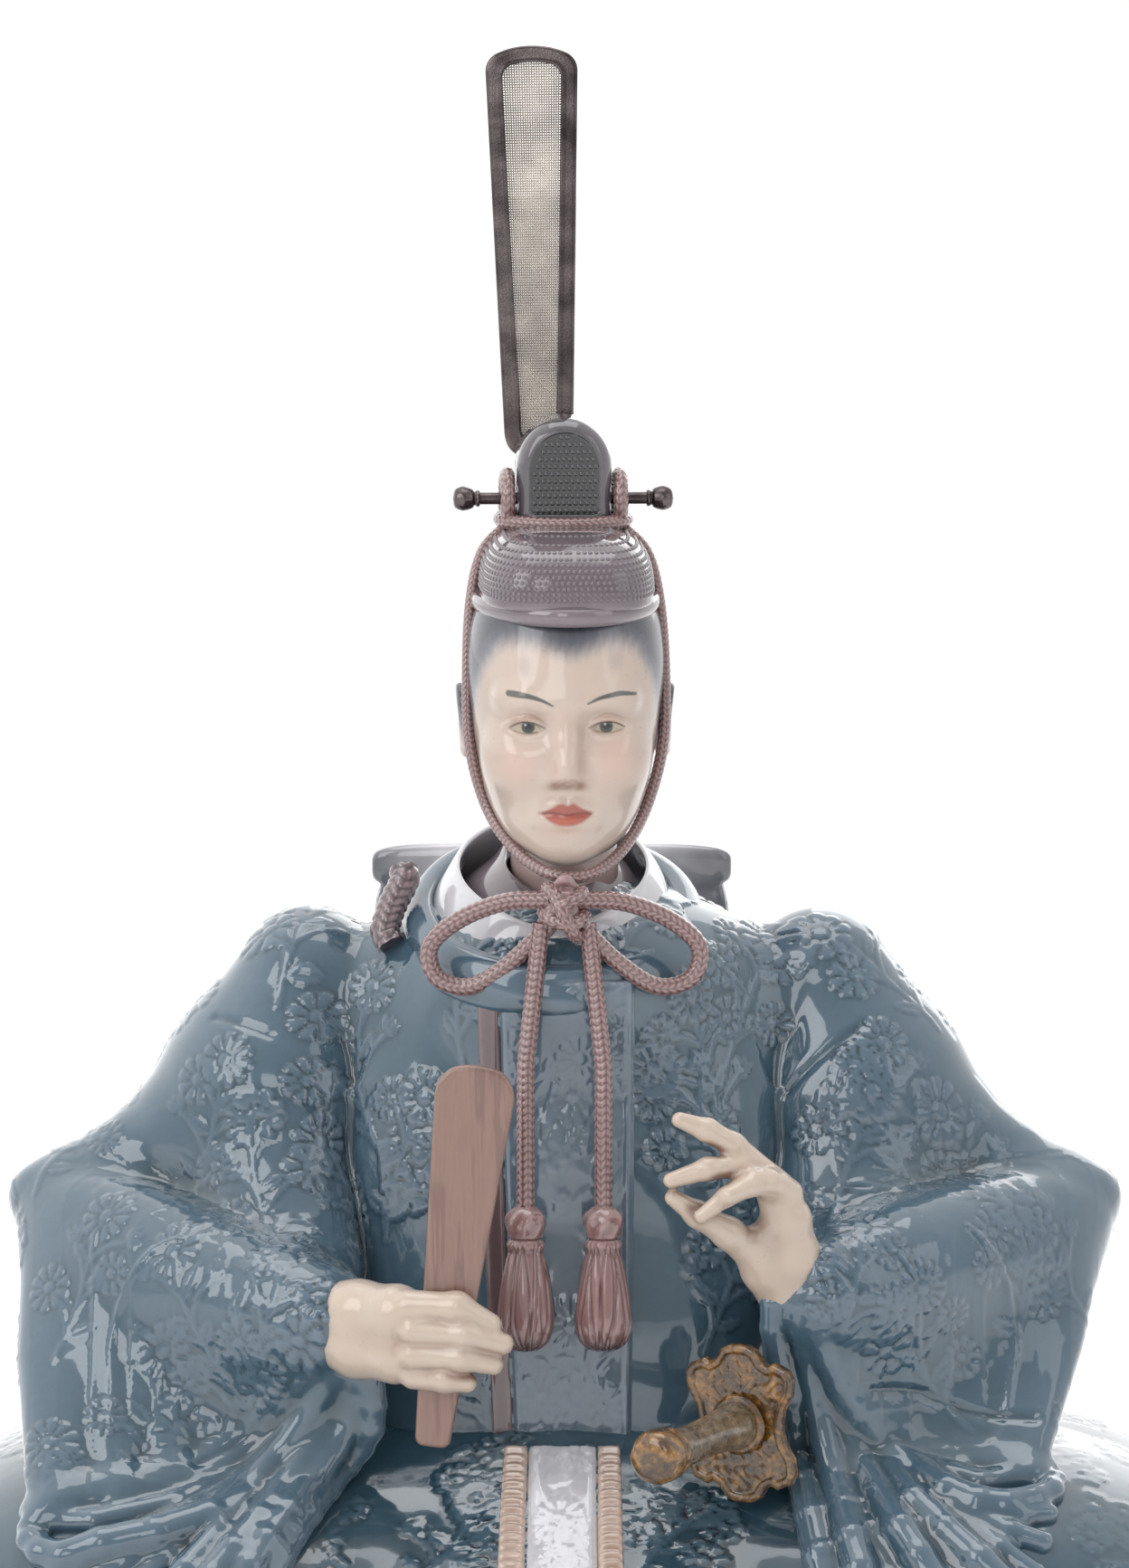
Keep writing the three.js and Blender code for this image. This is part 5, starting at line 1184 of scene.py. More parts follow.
def braided_cord(name, beads, pitch, depth, plaits=5, cyclic=False, material=cord_glaze, nodes=None, slot=None):
    """A braided cord through beads (x, y, z, radius), as thick as each bead"""
    beads = np.array(beads, float)
    girth = float(beads[:, 3].max())
    curve = bpy.data.curves.new(name, "CURVE")
    curve.dimensions = "3D"
    spline = curve.splines.new("POLY")
    spline.points.add(len(beads) - 1)
    for point, bead in zip(spline.points, beads):
        point.co = (*(bead[:3] * metre), 1.0)
        point.radius = bead[3] / girth
    spline.use_cyclic_u = cyclic
    if cyclic:
        length = np.linalg.norm(np.diff(np.vstack([beads, beads[:1]])[:, :3], axis=0), axis=1).sum()
        pitch = length / round(length / pitch)
    sizes = {"Radius": girth * metre, "Pitch": pitch * metre, "Depth": depth * metre, "Plaits": plaits,
             "Sides": plaits * 8, "Fineness": 0.15 * pitch * metre}
    grown_by(braid, name, curve, sizes, material, nodes, slot)


def nub_tree():
    """A small rounded nub on each point, standing along the point's own direction"""
    nodes, given, output = new_tree("raised_weave", Radius=0.0006, Flatness=0.55)
    nub = nodes.add("GeometryNodeMeshIcoSphere", {"Radius": given["Radius"], "Subdivisions": 2})
    facing = nodes.add("GeometryNodeInputNamedAttribute", {"Name": "facing"}, data_type="FLOAT_VECTOR")
    turned = nodes.add("FunctionNodeAlignRotationToVector", {"Vector": facing}, axis="Z")
    scale = nodes.add("ShaderNodeCombineXYZ", {"X": 1.0, "Y": 1.0, "Z": given["Flatness"]})
    copies = nodes.add("GeometryNodeInstanceOnPoints", {
        "Points": given["Geometry"], "Instance": nub, "Rotation": turned, "Scale": scale})
    return finish_tree(nodes, given, output, copies)


nubs = nub_tree()


def raised_weave(name, places, facing, radius, flatness, material):
    """A nub on each place, turned the way that the place faces"""
    mesh = bpy.data.meshes.new(name)
    mesh.from_pydata((places * metre).tolist(), [], [])
    directions = mesh.attributes.new("facing", "FLOAT_VECTOR", "POINT")
    directions.data.foreach_set("vector", facing.astype(np.float32).ravel())
    grown_by(nubs, name, mesh, {"Radius": radius * metre, "Flatness": flatness}, material, ())


def net_tree():
    """Wires that pass over and under each other, closer together towards the foot"""
    nodes, given, output = new_tree(
        "woven_net", TopWidth=0.017, FootWidth=0.0106, Height=0.099, Columns=27, Rows=152, Wire=0.00015, Sway=0.00016)
    columns = nodes.sum("SUBTRACT", given["Columns"], 1.0)
    rows = nodes.sum("SUBTRACT", given["Rows"], 1.0)
    layers = []
    for across in (True, False):
        count, other = (rows, columns) if across else (columns, rows)
        end = (1, 0, 0) if across else (0, 0, 1)
        line = nodes.add("GeometryNodeCurvePrimitiveLine", {"End": end})
        points = nodes.times_plus(other, 2, 1.0)
        wire = nodes.add("GeometryNodeResampleCurve", {"Curve": line, "Count": points}, mode="COUNT")
        step = nodes.sum("DIVIDE", 1.0, count)
        gap = nodes.add("ShaderNodeCombineXYZ", {"Z" if across else "X": step})
        total = nodes.sum("ADD", count, 1.0)
        rack = nodes.add("GeometryNodeMeshLine", {"Count": total, "Offset": gap})
        copies = nodes.add("GeometryNodeInstanceOnPoints", {"Points": rack, "Instance": wire})
        real = nodes.add("GeometryNodeRealizeInstances", {"Geometry": copies})
        place = nodes.add("ShaderNodeSeparateXYZ", {0: nodes.add("GeometryNodeInputPosition")}).outputs
        phase = nodes.times_plus(place[2], rows, nodes.times(place[0], columns))
        wave = nodes.sum("COSINE", nodes.times(phase, math.pi))
        depth = nodes.times(nodes.times(wave, given["Sway"]), 1.0 if across else -1.0)
        widening = nodes.sum("SUBTRACT", given["TopWidth"], given["FootWidth"])
        width = nodes.times_plus(widening, place[2], given["FootWidth"])
        x = nodes.times(nodes.sum("SUBTRACT", place[0], 0.5), width)
        z = nodes.times(place[2], given["Height"])
        warped = nodes.add("ShaderNodeCombineXYZ", {"X": x, "Y": depth, "Z": z})
        shaped = nodes.add("GeometryNodeSetPosition", {"Geometry": real, "Position": warped})
        section = nodes.add("GeometryNodeCurvePrimitiveCircle", {"Resolution": 4, "Radius": given["Wire"]},
                            mode="RADIUS")
        tube = nodes.add("GeometryNodeCurveToMesh", {"Curve": shaped, "Profile Curve": section, "Fill Caps": True})
        layers.append(tube.outputs[0])
    both = nodes.add("GeometryNodeJoinGeometry")
    for layer in layers:
        nodes.tree.links.new(layer, both.inputs[0])
    return finish_tree(nodes, given, output, both)


net = net_tree()


# Head

head_spot = spot(head_place, ("Z", head_turn), ("X", head_bow))
face_spot = spot(head_place, ("Z", head_turn - 0.05), ("X", head_bow))
face_middle = 0.2
eye_centres = {-1: (-9.9, 2.3), 1: (10.3, 2.5)}
skull_half = (24.5, 31, 31)

# Beads (x, y, z, radius) of the upper and the lower lid for the left eye; the right eye mirrors them
eyelids = (
    [(4.9, -28.4, 1, 0.7), (7.2, -29.3, 3.6, 0.95), (10.2, -29.3, 4.7, 1.05), (13.2, -28.2, 3.9, 0.95),
     (15.6, -26.5, 1.9, 0.7)],
    [(5.2, -28.5, 0.9, 0.6), (8, -28.9, -0.2, 0.75), (11, -28.6, -0.4, 0.75), (13.6, -27.6, 0.3, 0.7),
     (15.4, -26.6, 1.5, 0.6)])

skull = joined(
    7, pillow((0, 4.34, 10.5), skull_half), pillow((0, 3, 20), (23.6, 26, 18), 2.6),
    pillow((0, -7.2, -1.65), (22.6, 24, 33), 2.3), pillow((0, -16.25, -22.55), (13, 13, 11), 2.2))
cheeks = [pillow((side * 11, -20, -7), (9, 10.2, 10)) for side in (-1, 1)]
face = joined(6, skull, *cheeks)
for side in (-1, 1):
    face = carved(face, pillow((side * 10.2, -34.5, 2.6), (7.6, 5.8, 5.0)), 4.0)
nose = joined(
    2.2,
    chain([(0, -27.6, 9.5, 2.2), (0, -28.3, 5, 2.1), (0.1, -30.4, -1.5, 2.3), (0.2, -32.4, -7.2, 2.7),
           (0.2, -32.8, -8.9, 2.7)], 1),
    chain([(-3.1, -30.1, -10.4, 1.9), (-1.6, -31.2, -10.8, 1.6)]),
    chain([(3.3, -30.1, -10.4, 1.9), (2, -31.2, -10.8, 1.6)]))
brow_beads = [(4.5, -27.8, 8.6, 1.8), (10, -27.2, 9.6, 2), (15.5, -24.2, 8.6, 1.8)]
brow_bones = joined(3, chain(mirrored(-1, brow_beads)), chain(brow_beads))
face = joined(4.5, face, brow_bones)
face = joined(3.4, face, nose)
for side in (-1, 1):
    face = joined(0.8, face, pillow((side * 10.2, -23.3, 1.8), (6, 5.5, 5.2)))
    face = joined(0.9, face, *[chain(smooth_beads(mirrored(side, lid), 12)) for lid in eyelids])
    face = carved(face, pillow((side * 1.5 + face_middle, -32.6, -12.9), (0.9, 1.5, 0.7)), 0.6)
upper_lip = smooth_beads(
    [(-6.4, -28.2, -19.6, 0.7), (-3.4, -29.6, -18.2, 1.15), (-1.2, -30.3, -17.6, 1.2), (0.1, -30.4, -18.1, 1.1),
     (1.5, -30.3, -17.6, 1.2), (3.6, -29.6, -18.2, 1.15), (6.4, -28.2, -19.6, 0.7)], 25)
lower_lip = smooth_beads(
    [(-5.6, -28.2, -20.2, 0.7), (-2.8, -29.4, -21.3, 1.45), (0.1, -29.9, -21.7, 1.7), (3, -29.4, -21.3, 1.45),
     (5.8, -28.2, -20.2, 0.7)], 21)
between_lips = smooth_beads(
    [(-6.6, -30.2, -19.9, 0.35), (-2.4, -32.2, -19.5, 0.5), (0.1, -32.6, -19.9, 0.5), (2.6, -32.2, -19.5, 0.5),
     (6.8, -30.2, -19.9, 0.35)], 21)
mouth = pillow((0.1, -27.6, -20.5), (8.4, 3.2, 5.2))
groove_over_lip = chain([(0.1, -33.4, -13.5, 1.2), (0.1, -33.2, -17, 1.4)])
chin = pillow((0, -23, -28.6), (6.5, 5.6, 5.4))
face = joined(3.0, face, mouth)
face = carved(face, groove_over_lip, 2.6)
face = joined(1.4, face, joined(1.2, chain(upper_lip), chain(lower_lip)))
face = carved(face, chain(between_lips), 0.9)
face = joined(5, face, chin)


def ear(side):
    """An ear with a rolled rim and a hollow"""
    shell = pillow((side * 24.9, 3.6, -1.8), (2.6, 5.4, 9.2), 2.2)
    rim = chain(smooth_beads(mirrored(side, [
        (25.6, -0.6, -2.5, 0.9), (26.4, -1.6, 3.5, 1), (27, 2.2, 7.2, 1.1), (27, 6.6, 5.4, 1.1),
        (26.6, 8.2, 0.4, 1), (25.8, 6.4, -5.2, 1), (25.2, 3.0, -9.4, 1.5)]), 24))
    bowl = pillow((side * 28.6, 3.2, -1.4), (2.6, 3.6, 5.2))
    return joined(1.2, carved(shell, bowl, 1.2), rim)


head_form = joined(1.6, face, ear(-1), ear(1))


def over(base, colour, amount):
    """Paint laid over paint, where amount is how much of it covers each place"""
    return base + (np.array(shade(*colour)[:3]) - base) * np.clip(amount, 0, 1)[:, None]


def stroke(p, beads, soft):
    """How much of a brush line covers each place of the face, seen from the front"""
    flat = np.array([(x, 0.0, z, r) for x, z, r in beads])
    q = p * (1, 0, 1)
    reach = chain(smooth_beads(flat, 18))
    return ramp(-reach(q), -soft, soft * 0.4) * (p[:, 1] < -8)


def blot(across, width, up, height):
    """A soft oval of paint"""
    return np.exp(-(across / width) ** 2 - (up / height) ** 2)


def face_paint(places):
    """The colours of the face and the hair, with painted shade and a painted highlight in the eyes, and the hair's
    relief
    """
    p = inward(face_spot, places)
    x, y, z = p.T
    across = x - face_middle
    front = y < -20
    colour = np.repeat([shade(192, 175, 163)[:3]], len(p), 0)
    colour = over(colour, (206, 166, 152), blot(np.abs(x) - 13.5, 6.5, z + 7, 6) * (y < -10) * 0.3)
    # Painted shade towards the sides of the face, where it turns away from the light
    colour = over(colour, (160, 144, 132), ramp(np.abs(across), 12, 23) * 0.5)
    # Painted shade in the eye sockets
    for cx, cz in eye_centres.values():
        colour = over(colour, (150, 122, 104), blot(x - cx, 6.2, z - cz - 2.2, 2.6) * (y < -15) * 0.4)

    # Nose: painted shading beside it, heavier on the side away from the light, painted shadows in the nostrils and the
    # painted shade below
    colour = over(colour, (182, 146, 130), blot(np.abs(across) - 3.4, 1.3, z + 9, 6) * front * 0.25)
    colour = over(colour, (150, 126, 112), blot(across - 3.7, 1.7, z + 2, 8.5) * front * 0.45)
    for nostril in (-3.1, 3.3):
        colour = over(colour, (124, 88, 70), blot(across - nostril, 1.5, z + 12, 1.1) * front * 0.55)
    colour = over(colour, (126, 92, 78), blot(across, 3.6, z + 13, 0.9) * front * 0.7)

    # Eyes: white, iris, pupil, a painted highlight as a glint, lashes, lower rim and painted shade in the crease above
    for side, (cx, cz) in eye_centres.items():
        u = np.abs((x - cx) / 4.5)
        top = cz - 0.5 + 1.6 * (1 - np.clip(u, 0, 1) ** 2.2)
        foot = cz - 0.7 - 1.05 * (1 - np.clip(u, 0, 1) ** 2)
        opening = ramp(np.minimum(top - z, z - foot), -0.12, 0.12) * (u < 1) * front
        iris = np.hypot(x - cx + side * 0.2, z - cz + 0.15)
        # glint: where a painted highlight sits on the eye
        glint = ramp(np.hypot(x - cx + 0.5, z - cz - 0.45), 0.42, 0.2)
        lash = np.exp(-((z - top - 0.1) / 0.26) ** 2) * ramp(1.12 - u, 0, 0.2) * front
        lower = np.exp(-((z - foot) / 0.22) ** 2) * ramp(1.0 - u, 0, 0.3) * front
        # painted shade in the crease above the lid
        crease_shade = np.exp(-((z - top - 1.5) / 0.4) ** 2) * ramp(1.1 - u, 0, 0.3) * front
        colour = over(colour, (168, 156, 140), opening)
        colour = over(colour, (50, 60, 56), opening * ramp(iris, 1.9, 1.5))
        colour = over(colour, (16, 22, 22), opening * ramp(iris, 1.1, 0.7))
        colour = over(colour, (235, 235, 235), opening * glint * 0.6)
        colour = over(colour, (64, 50, 42), lash * 0.85)
        colour = over(colour, (136, 108, 82), lower * 0.6)
        colour = over(colour, (150, 118, 104), crease_shade * 0.4)

    # Brows as (x, z, radius), and the two smudges of court make-up on the forehead
    right = [(-14.6, 10.7, 0.7), (-12.2, 10.6, 0.72), (-9.7, 10.3, 0.55), (-6.4, 9.4, 0.38), (-3.5, 8, 0.15)]
    left = [(17.6, 10.2, 0.3), (15, 10.6, 0.48), (12.6, 10.7, 0.56), (8.6, 9.9, 0.4), (5.4, 8.5, 0.15)]
    colour = over(colour, (60, 66, 64), np.maximum(stroke(p, right, 0.25), stroke(p, left, 0.25)) * 0.9)
    for cx, cz in ((-10.8, 17.7), (12.4, 18.9)):
        smudge = np.exp(-(((x - cx) / 2.0) ** 2 + ((z - cz) / 3.1) ** 2) ** 1.5) * (y < -10)
        colour = over(colour, (142, 130, 130), smudge * 0.45)

    # Lips
    u = np.clip(np.abs(x - 0.1) / 6.7, 0, 1)
    bow = 0.55 * np.exp(-((np.abs(x - 0.1) - 1.9) / 1.3) ** 2) - 0.35 * np.exp(-((x - 0.1) / 0.8) ** 2)
    upper = -19.75 + (2.6 + bow) * (1 - u ** 1.7)
    lower = -19.85 - 3.1 * (1 - u ** 2.4)
    lips_mask = ramp(np.minimum(upper - z, z - lower), -0.45, 0.75) * front * (np.abs(x) < 7)
    colour = over(colour, (150, 54, 38), lips_mask * 0.9)
    colour = over(colour, (180, 86, 50), lips_mask * np.exp(-((z + 21.8) / 1.0) ** 2 - (x / 3.4) ** 2) * 0.7)
    line = np.exp(-((z + 19.75 + 0.25 * np.cos(x * 0.9)) / 0.24) ** 2) * (np.abs(x) < 6.4) * front
    colour = over(colour, (84, 26, 24), line * 0.75)
    # Painted shade under the lower lip
    shade_under_lip = np.exp(-((z + 24.2) / 0.9) ** 2 - (x / 4.5) ** 2) * front
    colour = over(colour, (172, 130, 114), shade_under_lip * 0.4)

    # Hair: airbrushed grey from a soft hairline, down to the sideburns and the nape
    strand = 0.9 * np.sin(x * 2.3 + np.sin(z * 0.7) * 2) + 0.6 * np.sin(x * 5.1 + z * 0.4)
    hairline = 23.5 - 2.7 * np.exp(-((x - 1) / 6) ** 2) - 0.09 * np.maximum(np.abs(x) - 13, 0) ** 2
    temple = -19.5 + (20 - np.clip(z, -3, 20)) * 0.5
    fall = -4.5 - 20 * ramp(y, 6, 11)
    side_hair = np.minimum(y - temple, z - fall)
    hair = np.maximum(z - hairline, side_hair) + strand * 0.25
    colour = over(colour, (142, 138, 140), ramp(hair, -3.6, 0.5) * 0.8)
    colour = over(colour, (84, 87, 98), ramp(hair, -1.4, 2.8) * 0.95)
    colour = over(colour, (50, 52, 62), ramp(hair, 1.5, 6) * 0.85)
    relief = ramp(hair, 1, 5) * (0.5 + 0.5 * np.sin(x * 3.1 + np.sin(z * 0.5)))
    return {"paint": colour, "relief": relief}


def eyes_and_lips(vertices):
    """Where the face needs a finer mesh for its paint"""
    x, y, z = inward(face_spot, vertices).T
    eyes = (np.abs(np.abs(x) - 10.2) < 7.5) & (z > -3) & (z < 13)
    mouth_area = (np.abs(x) < 8.5) & (z > -25) & (z < -11)
    return (eyes | mouth_area) & (y < -18)


cast_piece("head_casting", placed(face_spot, head_form), (-31, -58, 226), (31, 21, 306), head_step, skin_glaze,
           refine=eyes_and_lips, paint=face_paint)
neck_form = chain([(0, -9, 206, 14.2), (0, -12, 226, 13.4), (0, -15, 246, 13)], 2)
neck_foot = 208.6


def shaded_neck_paint(vertices):
    # The neck's skin painted darker than the face, as painted shade under the head
    return {"paint": np.repeat([shade(152, 130, 126)[:3]], len(vertices), 0)}


cast_piece("neck_casting", lambda p: np.maximum(neck_form(p), neck_foot - p[:, 2]), (-17, -32, 207), (17, 8, 258), 0.8,
           skin_glaze, paint=shaded_neck_paint)


# Cap

crown_radii = (22.2, 30.5, 19.5)
crown_squareness = 3.4
crown_middle = 29.5
crown_foot = 31.2
cap_back = 4
crown_pillow = pillow((0, cap_back, crown_middle), crown_radii, crown_squareness)
cast_piece("cap_crown_casting", placed(head_spot, lambda p: soft_max(crown_pillow(p), crown_foot - p[:, 2], 0.6)),
           (-26, -52, 288), (26, 22, 318), cap_step, cap_glaze)


def crown_weave():
    """Places for the nubs of the cap's weave, in level rings, and the way that each faces"""
    nub_spacing = 1.5
    fineness = 2000
    power = 2 / crown_squareness
    turn = np.linspace(0, 2 * math.pi, fineness)
    places = []
    for level in np.arange(34.2, 49.2, 1.42):
        share = (level - crown_middle) / crown_radii[2]
        size = max(1 - share ** crown_squareness, 0.02) ** (1 / crown_squareness)
        ring = np.stack([
            crown_radii[0] * size * np.sign(np.cos(turn)) * np.abs(np.cos(turn)) ** power,
            cap_back + crown_radii[1] * size * np.sign(np.sin(turn)) * np.abs(np.sin(turn)) ** power,
            np.full(fineness, level)], 1)
        length = np.concatenate([[0], np.cumsum(np.linalg.norm(np.diff(ring, axis=0), axis=1))])
        count = int(length[-1] / nub_spacing)
        spread = np.interp(np.arange(count) / count * length[-1], length, np.arange(fineness))
        places.append(ring[spread.astype(int)])
    places = np.vstack(places)
    facing = slope_of(crown_pillow, places, 0.5)
    facing /= np.linalg.norm(facing, axis=1)[:, None]
    return outward(head_spot, places), facing @ head_spot[1].T


places, facing = crown_weave()
raised_weave("cap_crown_weave", places, facing, 0.62, 0.6, cap_glaze)

# Brim: a roll with a narrow ridge along its upper edge
section = full_turn(28)
roll = 2.0 - 0.35 * np.exp(-((section - 1.25) / 0.28) ** 2)
rows = [oval_ring(turn, 22.4, 30.7, cap_back, np.cos(section) * roll, 30 + np.sin(section) * roll * 1.35)
        for turn in full_turn(200)]
vertices, faces = rings(rows, cyclic=True)
skinned("cap_brim_casting", (outward(head_spot, vertices), faces), cap_glaze, 0.5)


# Comb: an arch with a sunk, woven panel in front and behind
comb_middle = 14.0
comb_half_depth = 8.5
comb_arch = 63.1
comb_half_width = 12.2
comb_foot = 45.6
comb_panel_foot = 51.5
comb_panel_depth = 0.9


def comb_outline(x, z):
    return np.hypot(x, np.maximum(z - comb_arch, 0) * 0.95) - comb_half_width


def comb_panel(p):
    """Flat distance to the sunk panel's edge, below zero in it"""
    return soft_max(comb_outline(p[:, 0], p[:, 2]) + 3.3, comb_panel_foot - p[:, 2], 1.5)


def comb_form(p):
    q = p - (0, comb_middle, 0)
    body = plate_form(comb_outline, comb_half_depth, 5.2)(q)
    body = soft_max(body, comb_foot - p[:, 2], 0.8)
    sunk = np.maximum(comb_panel(p), comb_half_depth - comb_panel_depth - np.abs(q[:, 1]))
    return soft_max(body, -sunk, 0.7)


def comb_paint(vertices):
    """Dark glaze in the sunk panels"""
    p = inward(head_spot, vertices)
    inside = ramp(-comb_panel(p), -0.6, 0.4) * (np.abs(p[:, 1] - comb_middle) > comb_half_depth - 2.4)
    return {"pool": inside * 0.95, "crest": 0.4 * (1 - inside), "relief": 0 * inside}


cast_piece("cap_comb_casting", placed(head_spot, comb_form), (-17, -24, 305), (17, 10, 345), comb_step, smoke_glaze,
           paint=comb_paint)
x, z = np.meshgrid(np.arange(-10, 10.1, 1.5), np.arange(52.4, 73, 1.9))
x = x + np.where(np.arange(len(z))[:, None] % 2, 0.75, 0)
flat = np.stack([x.ravel(), z.ravel()], 1)
flat = flat[comb_outline(flat[:, 0], flat[:, 1]) < -4.1]
for side, label in ((-1, "front"), (1, "back")):
    depth = comb_middle + side * (comb_half_depth - 0.85)
    places = np.column_stack([flat[:, 0], np.full(len(flat), depth), flat[:, 1]])
    facing = np.repeat([[0.0, side, 0.0]], len(flat), 0) @ head_spot[1].T
    raised_weave("cap_comb_weave_" + label, outward(head_spot, places), facing, 0.68, 0.55, smoke_glaze)


# Cords of the cap
turn = full_turn(72)
ring = np.column_stack([16 * np.sin(turn), comb_middle - 12.5 * np.cos(turn), np.full(72, 49.2)])
braided_cord("cap_cord_braid", np.column_stack([outward(head_spot, ring), np.full(72, 2)]), 1.7, 0.26, cyclic=True)
turn = turn[:48] * 1.5
for side, label in sides:
    loop = np.column_stack([np.full(48, side * 14.5), comb_middle + 6.2 * np.cos(turn), 54.5 + 6.2 * np.sin(turn)])
    braided_cord(label + "_cord_loop_braid", np.column_stack([outward(head_spot, loop), np.full(48, 1.9)]), 1.7, 0.24,
                 cyclic=True)

# The chin cord's right half, in shares of the skull's half sizes: down in front of the ear and under the chin
chin_shares = [(0.6, 0.36, 1.55), (0.86, 0.24, 1.34), (0.985, 0.12, 0.96), (1.03, -0.07, 0.4), (1.01, -0.19, -0.2),
               (0.83, -0.28, -0.72), (0.54, -0.64, -1.02), (0.18, -0.93, -1.16)]
half = [(x * skull_half[0], y * skull_half[1], z * skull_half[2], 1.5) for x, y, z in chin_shares]
beads = smooth_beads(mirrored(-1, half) + half[::-1], 160)
beads[:, :3] = outward(head_spot, beads[:, :3])
braided_cord("chin_cord_braid", beads, 1.5, 0.2, plaits=4)


# Collars

collar_spot = spot((-3, -5, 210), ("X", 0.36))


def neck_band(name, half_width, half_depth, half_thickness, half_height, level, lean, dip, ripple, material):
    """A band round the neck, leaning in at its top, whose front edge dips and whose outside is rippled"""
    section = full_turn(36)
    out = np.sign(np.cos(section)) * np.abs(np.cos(section)) ** 0.7 * half_thickness
    up = np.sign(np.sin(section)) * np.abs(np.sin(section)) ** 0.7 * half_height
    rows = []
    for turn in full_turn(240):
        front = math.exp(-(min(turn, 2 * math.pi - turn) / 0.62) ** 2)
        fold = ripple * np.cos(up / half_height * 4.2 + 2.2 * math.sin(turn * 2 + 0.6)) * (out > 0)
        height = level + up - dip * front * (0.4 + 0.6 * (up > 0))
        rows.append(oval_ring(turn, half_width, half_depth, 0, out + fold - up * lean, height))
    vertices, faces = rings(rows, cyclic=True)
    skinned(name, (outward(collar_spot, vertices), faces), material, 0.9)


neck_band("collar_casting", 35.4, 40.4, 3.7, 6.4, 0.2, 0.3, 0.5, 0.35, robe_glaze)
neck_band("white_inner_collar_casting", 29.2, 34.2, 1.7, 11.2, 4.8, 0.42, 3.5, 0.3, white_glaze)
neck_band("grey_inner_collar_casting", 21.6, 26.4, 2.0, 11.2, 6.6, 0.78, 4.5, 0.9, cap_glaze)

button = smooth_beads(
    [(-41.5, -7.5, 223, 2.4), (-41.2, -9.5, 220.5, 3.4), (-43.2, -11.5, 216.6, 2.9), (-44.6, -12.6, 213.6, 3.7),
     (-45.8, -14, 210, 3.1), (-46.2, -15, 207.4, 3.8), (-44.6, -16.4, 204.6, 2.6)], 60)
braided_cord("collar_button_braid", button, 2.4, 0.5, plaits=4, material=button_glaze, slot="smoke_glaze")


# Bow, hanging cords, beads and tassels

def front_of(x, z):
    """The y at which the front of the robe or the collar lies"""
    y = np.full(len(x), -90.0)
    for _ in range(60):
        y = y + np.maximum(robe_above(np.column_stack([x, y, z])), 0) * 0.7
    return y


# The knot: a core with two short ends, and three turns of cord over it
knot = joined(
    1.2, pillow((0, -46.4, 216.6), (3.8, 3.2, 5.4), 2.4), chain([(-2.6, -44.5, 221, 1.6), (-0.6, -46.6, 224.2, 1.3)]),
    chain([(2.8, -44.5, 221, 1.6), (0.8, -46.6, 224.4, 1.3)]))
cast_piece("bow_knot_casting", knot, (-9, -56, 208), (9, -38, 226), 0.35, cord_glaze, depth=0.4)
knot_turns = [
    [(-5.4, -45.4, 216.4), (-3.6, -48.8, 214.6), (0.2, -50.4, 213.4), (3.6, -48.8, 213.8), (5.2, -45.4, 215.4)],
    [(-5.2, -45, 213.2), (-3.4, -48.6, 216.4), (0.2, -50.8, 218.4), (3.4, -48.6, 219.8), (4.6, -45, 221.2)],
    [(-4.4, -45, 222), (-2.6, -48.4, 220.6), (-0.6, -51.2, 216.8), (1.8, -49.6, 211.6), (3.4, -46.2, 209.6)]]
for number, places in enumerate(knot_turns):
    turn_beads = smooth_beads([(*place, 1.85) for place in places], 40)
    braided_cord("bow_knot_turn_" + str(number + 1), turn_beads, 1.9, 0.3, nodes=["bow_knot"])

# Loops, hanging cords, beads and tassels of either side
bow_shares = [(0.1, 0.1), (0.42, 0.06), (0.74, -0.16), (0.95, -0.5), (0.9, -0.88), (0.66, -0.98), (0.38, -0.68),
              (0.1, -0.2)]
bow_reach = 36
bow_height = 21
bow_level = 217
hanging_top = 213
hanging_length = 72
hanging_spread = 9.9
bead_place = (-52.3, 137.3)
tassel_place = (-52.3, 104.5)
bead_profile = [(0, 4.6), (2.6, 4.2), (4.7, 2.2), (5.1, 0), (4.6, -2.4), (3.8, -3.8), (0, -4)]
tassel_profile = [(0, 29.2), (3.6, 28.9), (4.9, 27.4), (4.5, 25.6), (5.2, 22.6), (6.3, 17), (7.1, 11), (7.3, 7.4),
                  (6.9, 4.4), (5.6, 1.8), (3, 0.2), (0, -0.3)]
strand_count = 24


def swirl(angles, share):
    """Shallow flutes that wind round a bead"""
    return 0.05 * np.cos(7 * angles + 9 * share) * math.sin(math.pi * share)


def strands_of(offsets):
    """Grooves that part a tassel into strands, each a little out of its place"""

    def strands(angles, share):
        wave = 0
        for number, offset in enumerate(offsets):
            place = (number + offset) / strand_count * 2 * math.pi + 0.25 * math.sin(share * 5 + offset * 6)
            away = np.abs((angles - place + math.pi) % (2 * math.pi) - math.pi)
            wave = wave - 0.075 * np.exp(-(away / 0.07) ** 2)
        return wave * ramp(share, 0.06, 0.2) * (1 - 0.5 * ramp(share, 0.85, 1))

    return strands


def evened(values, every):
    """Values along a cord, smoothed through each one that is kept"""
    return smooth_beads(values[::every, None], len(values))[:, 0]


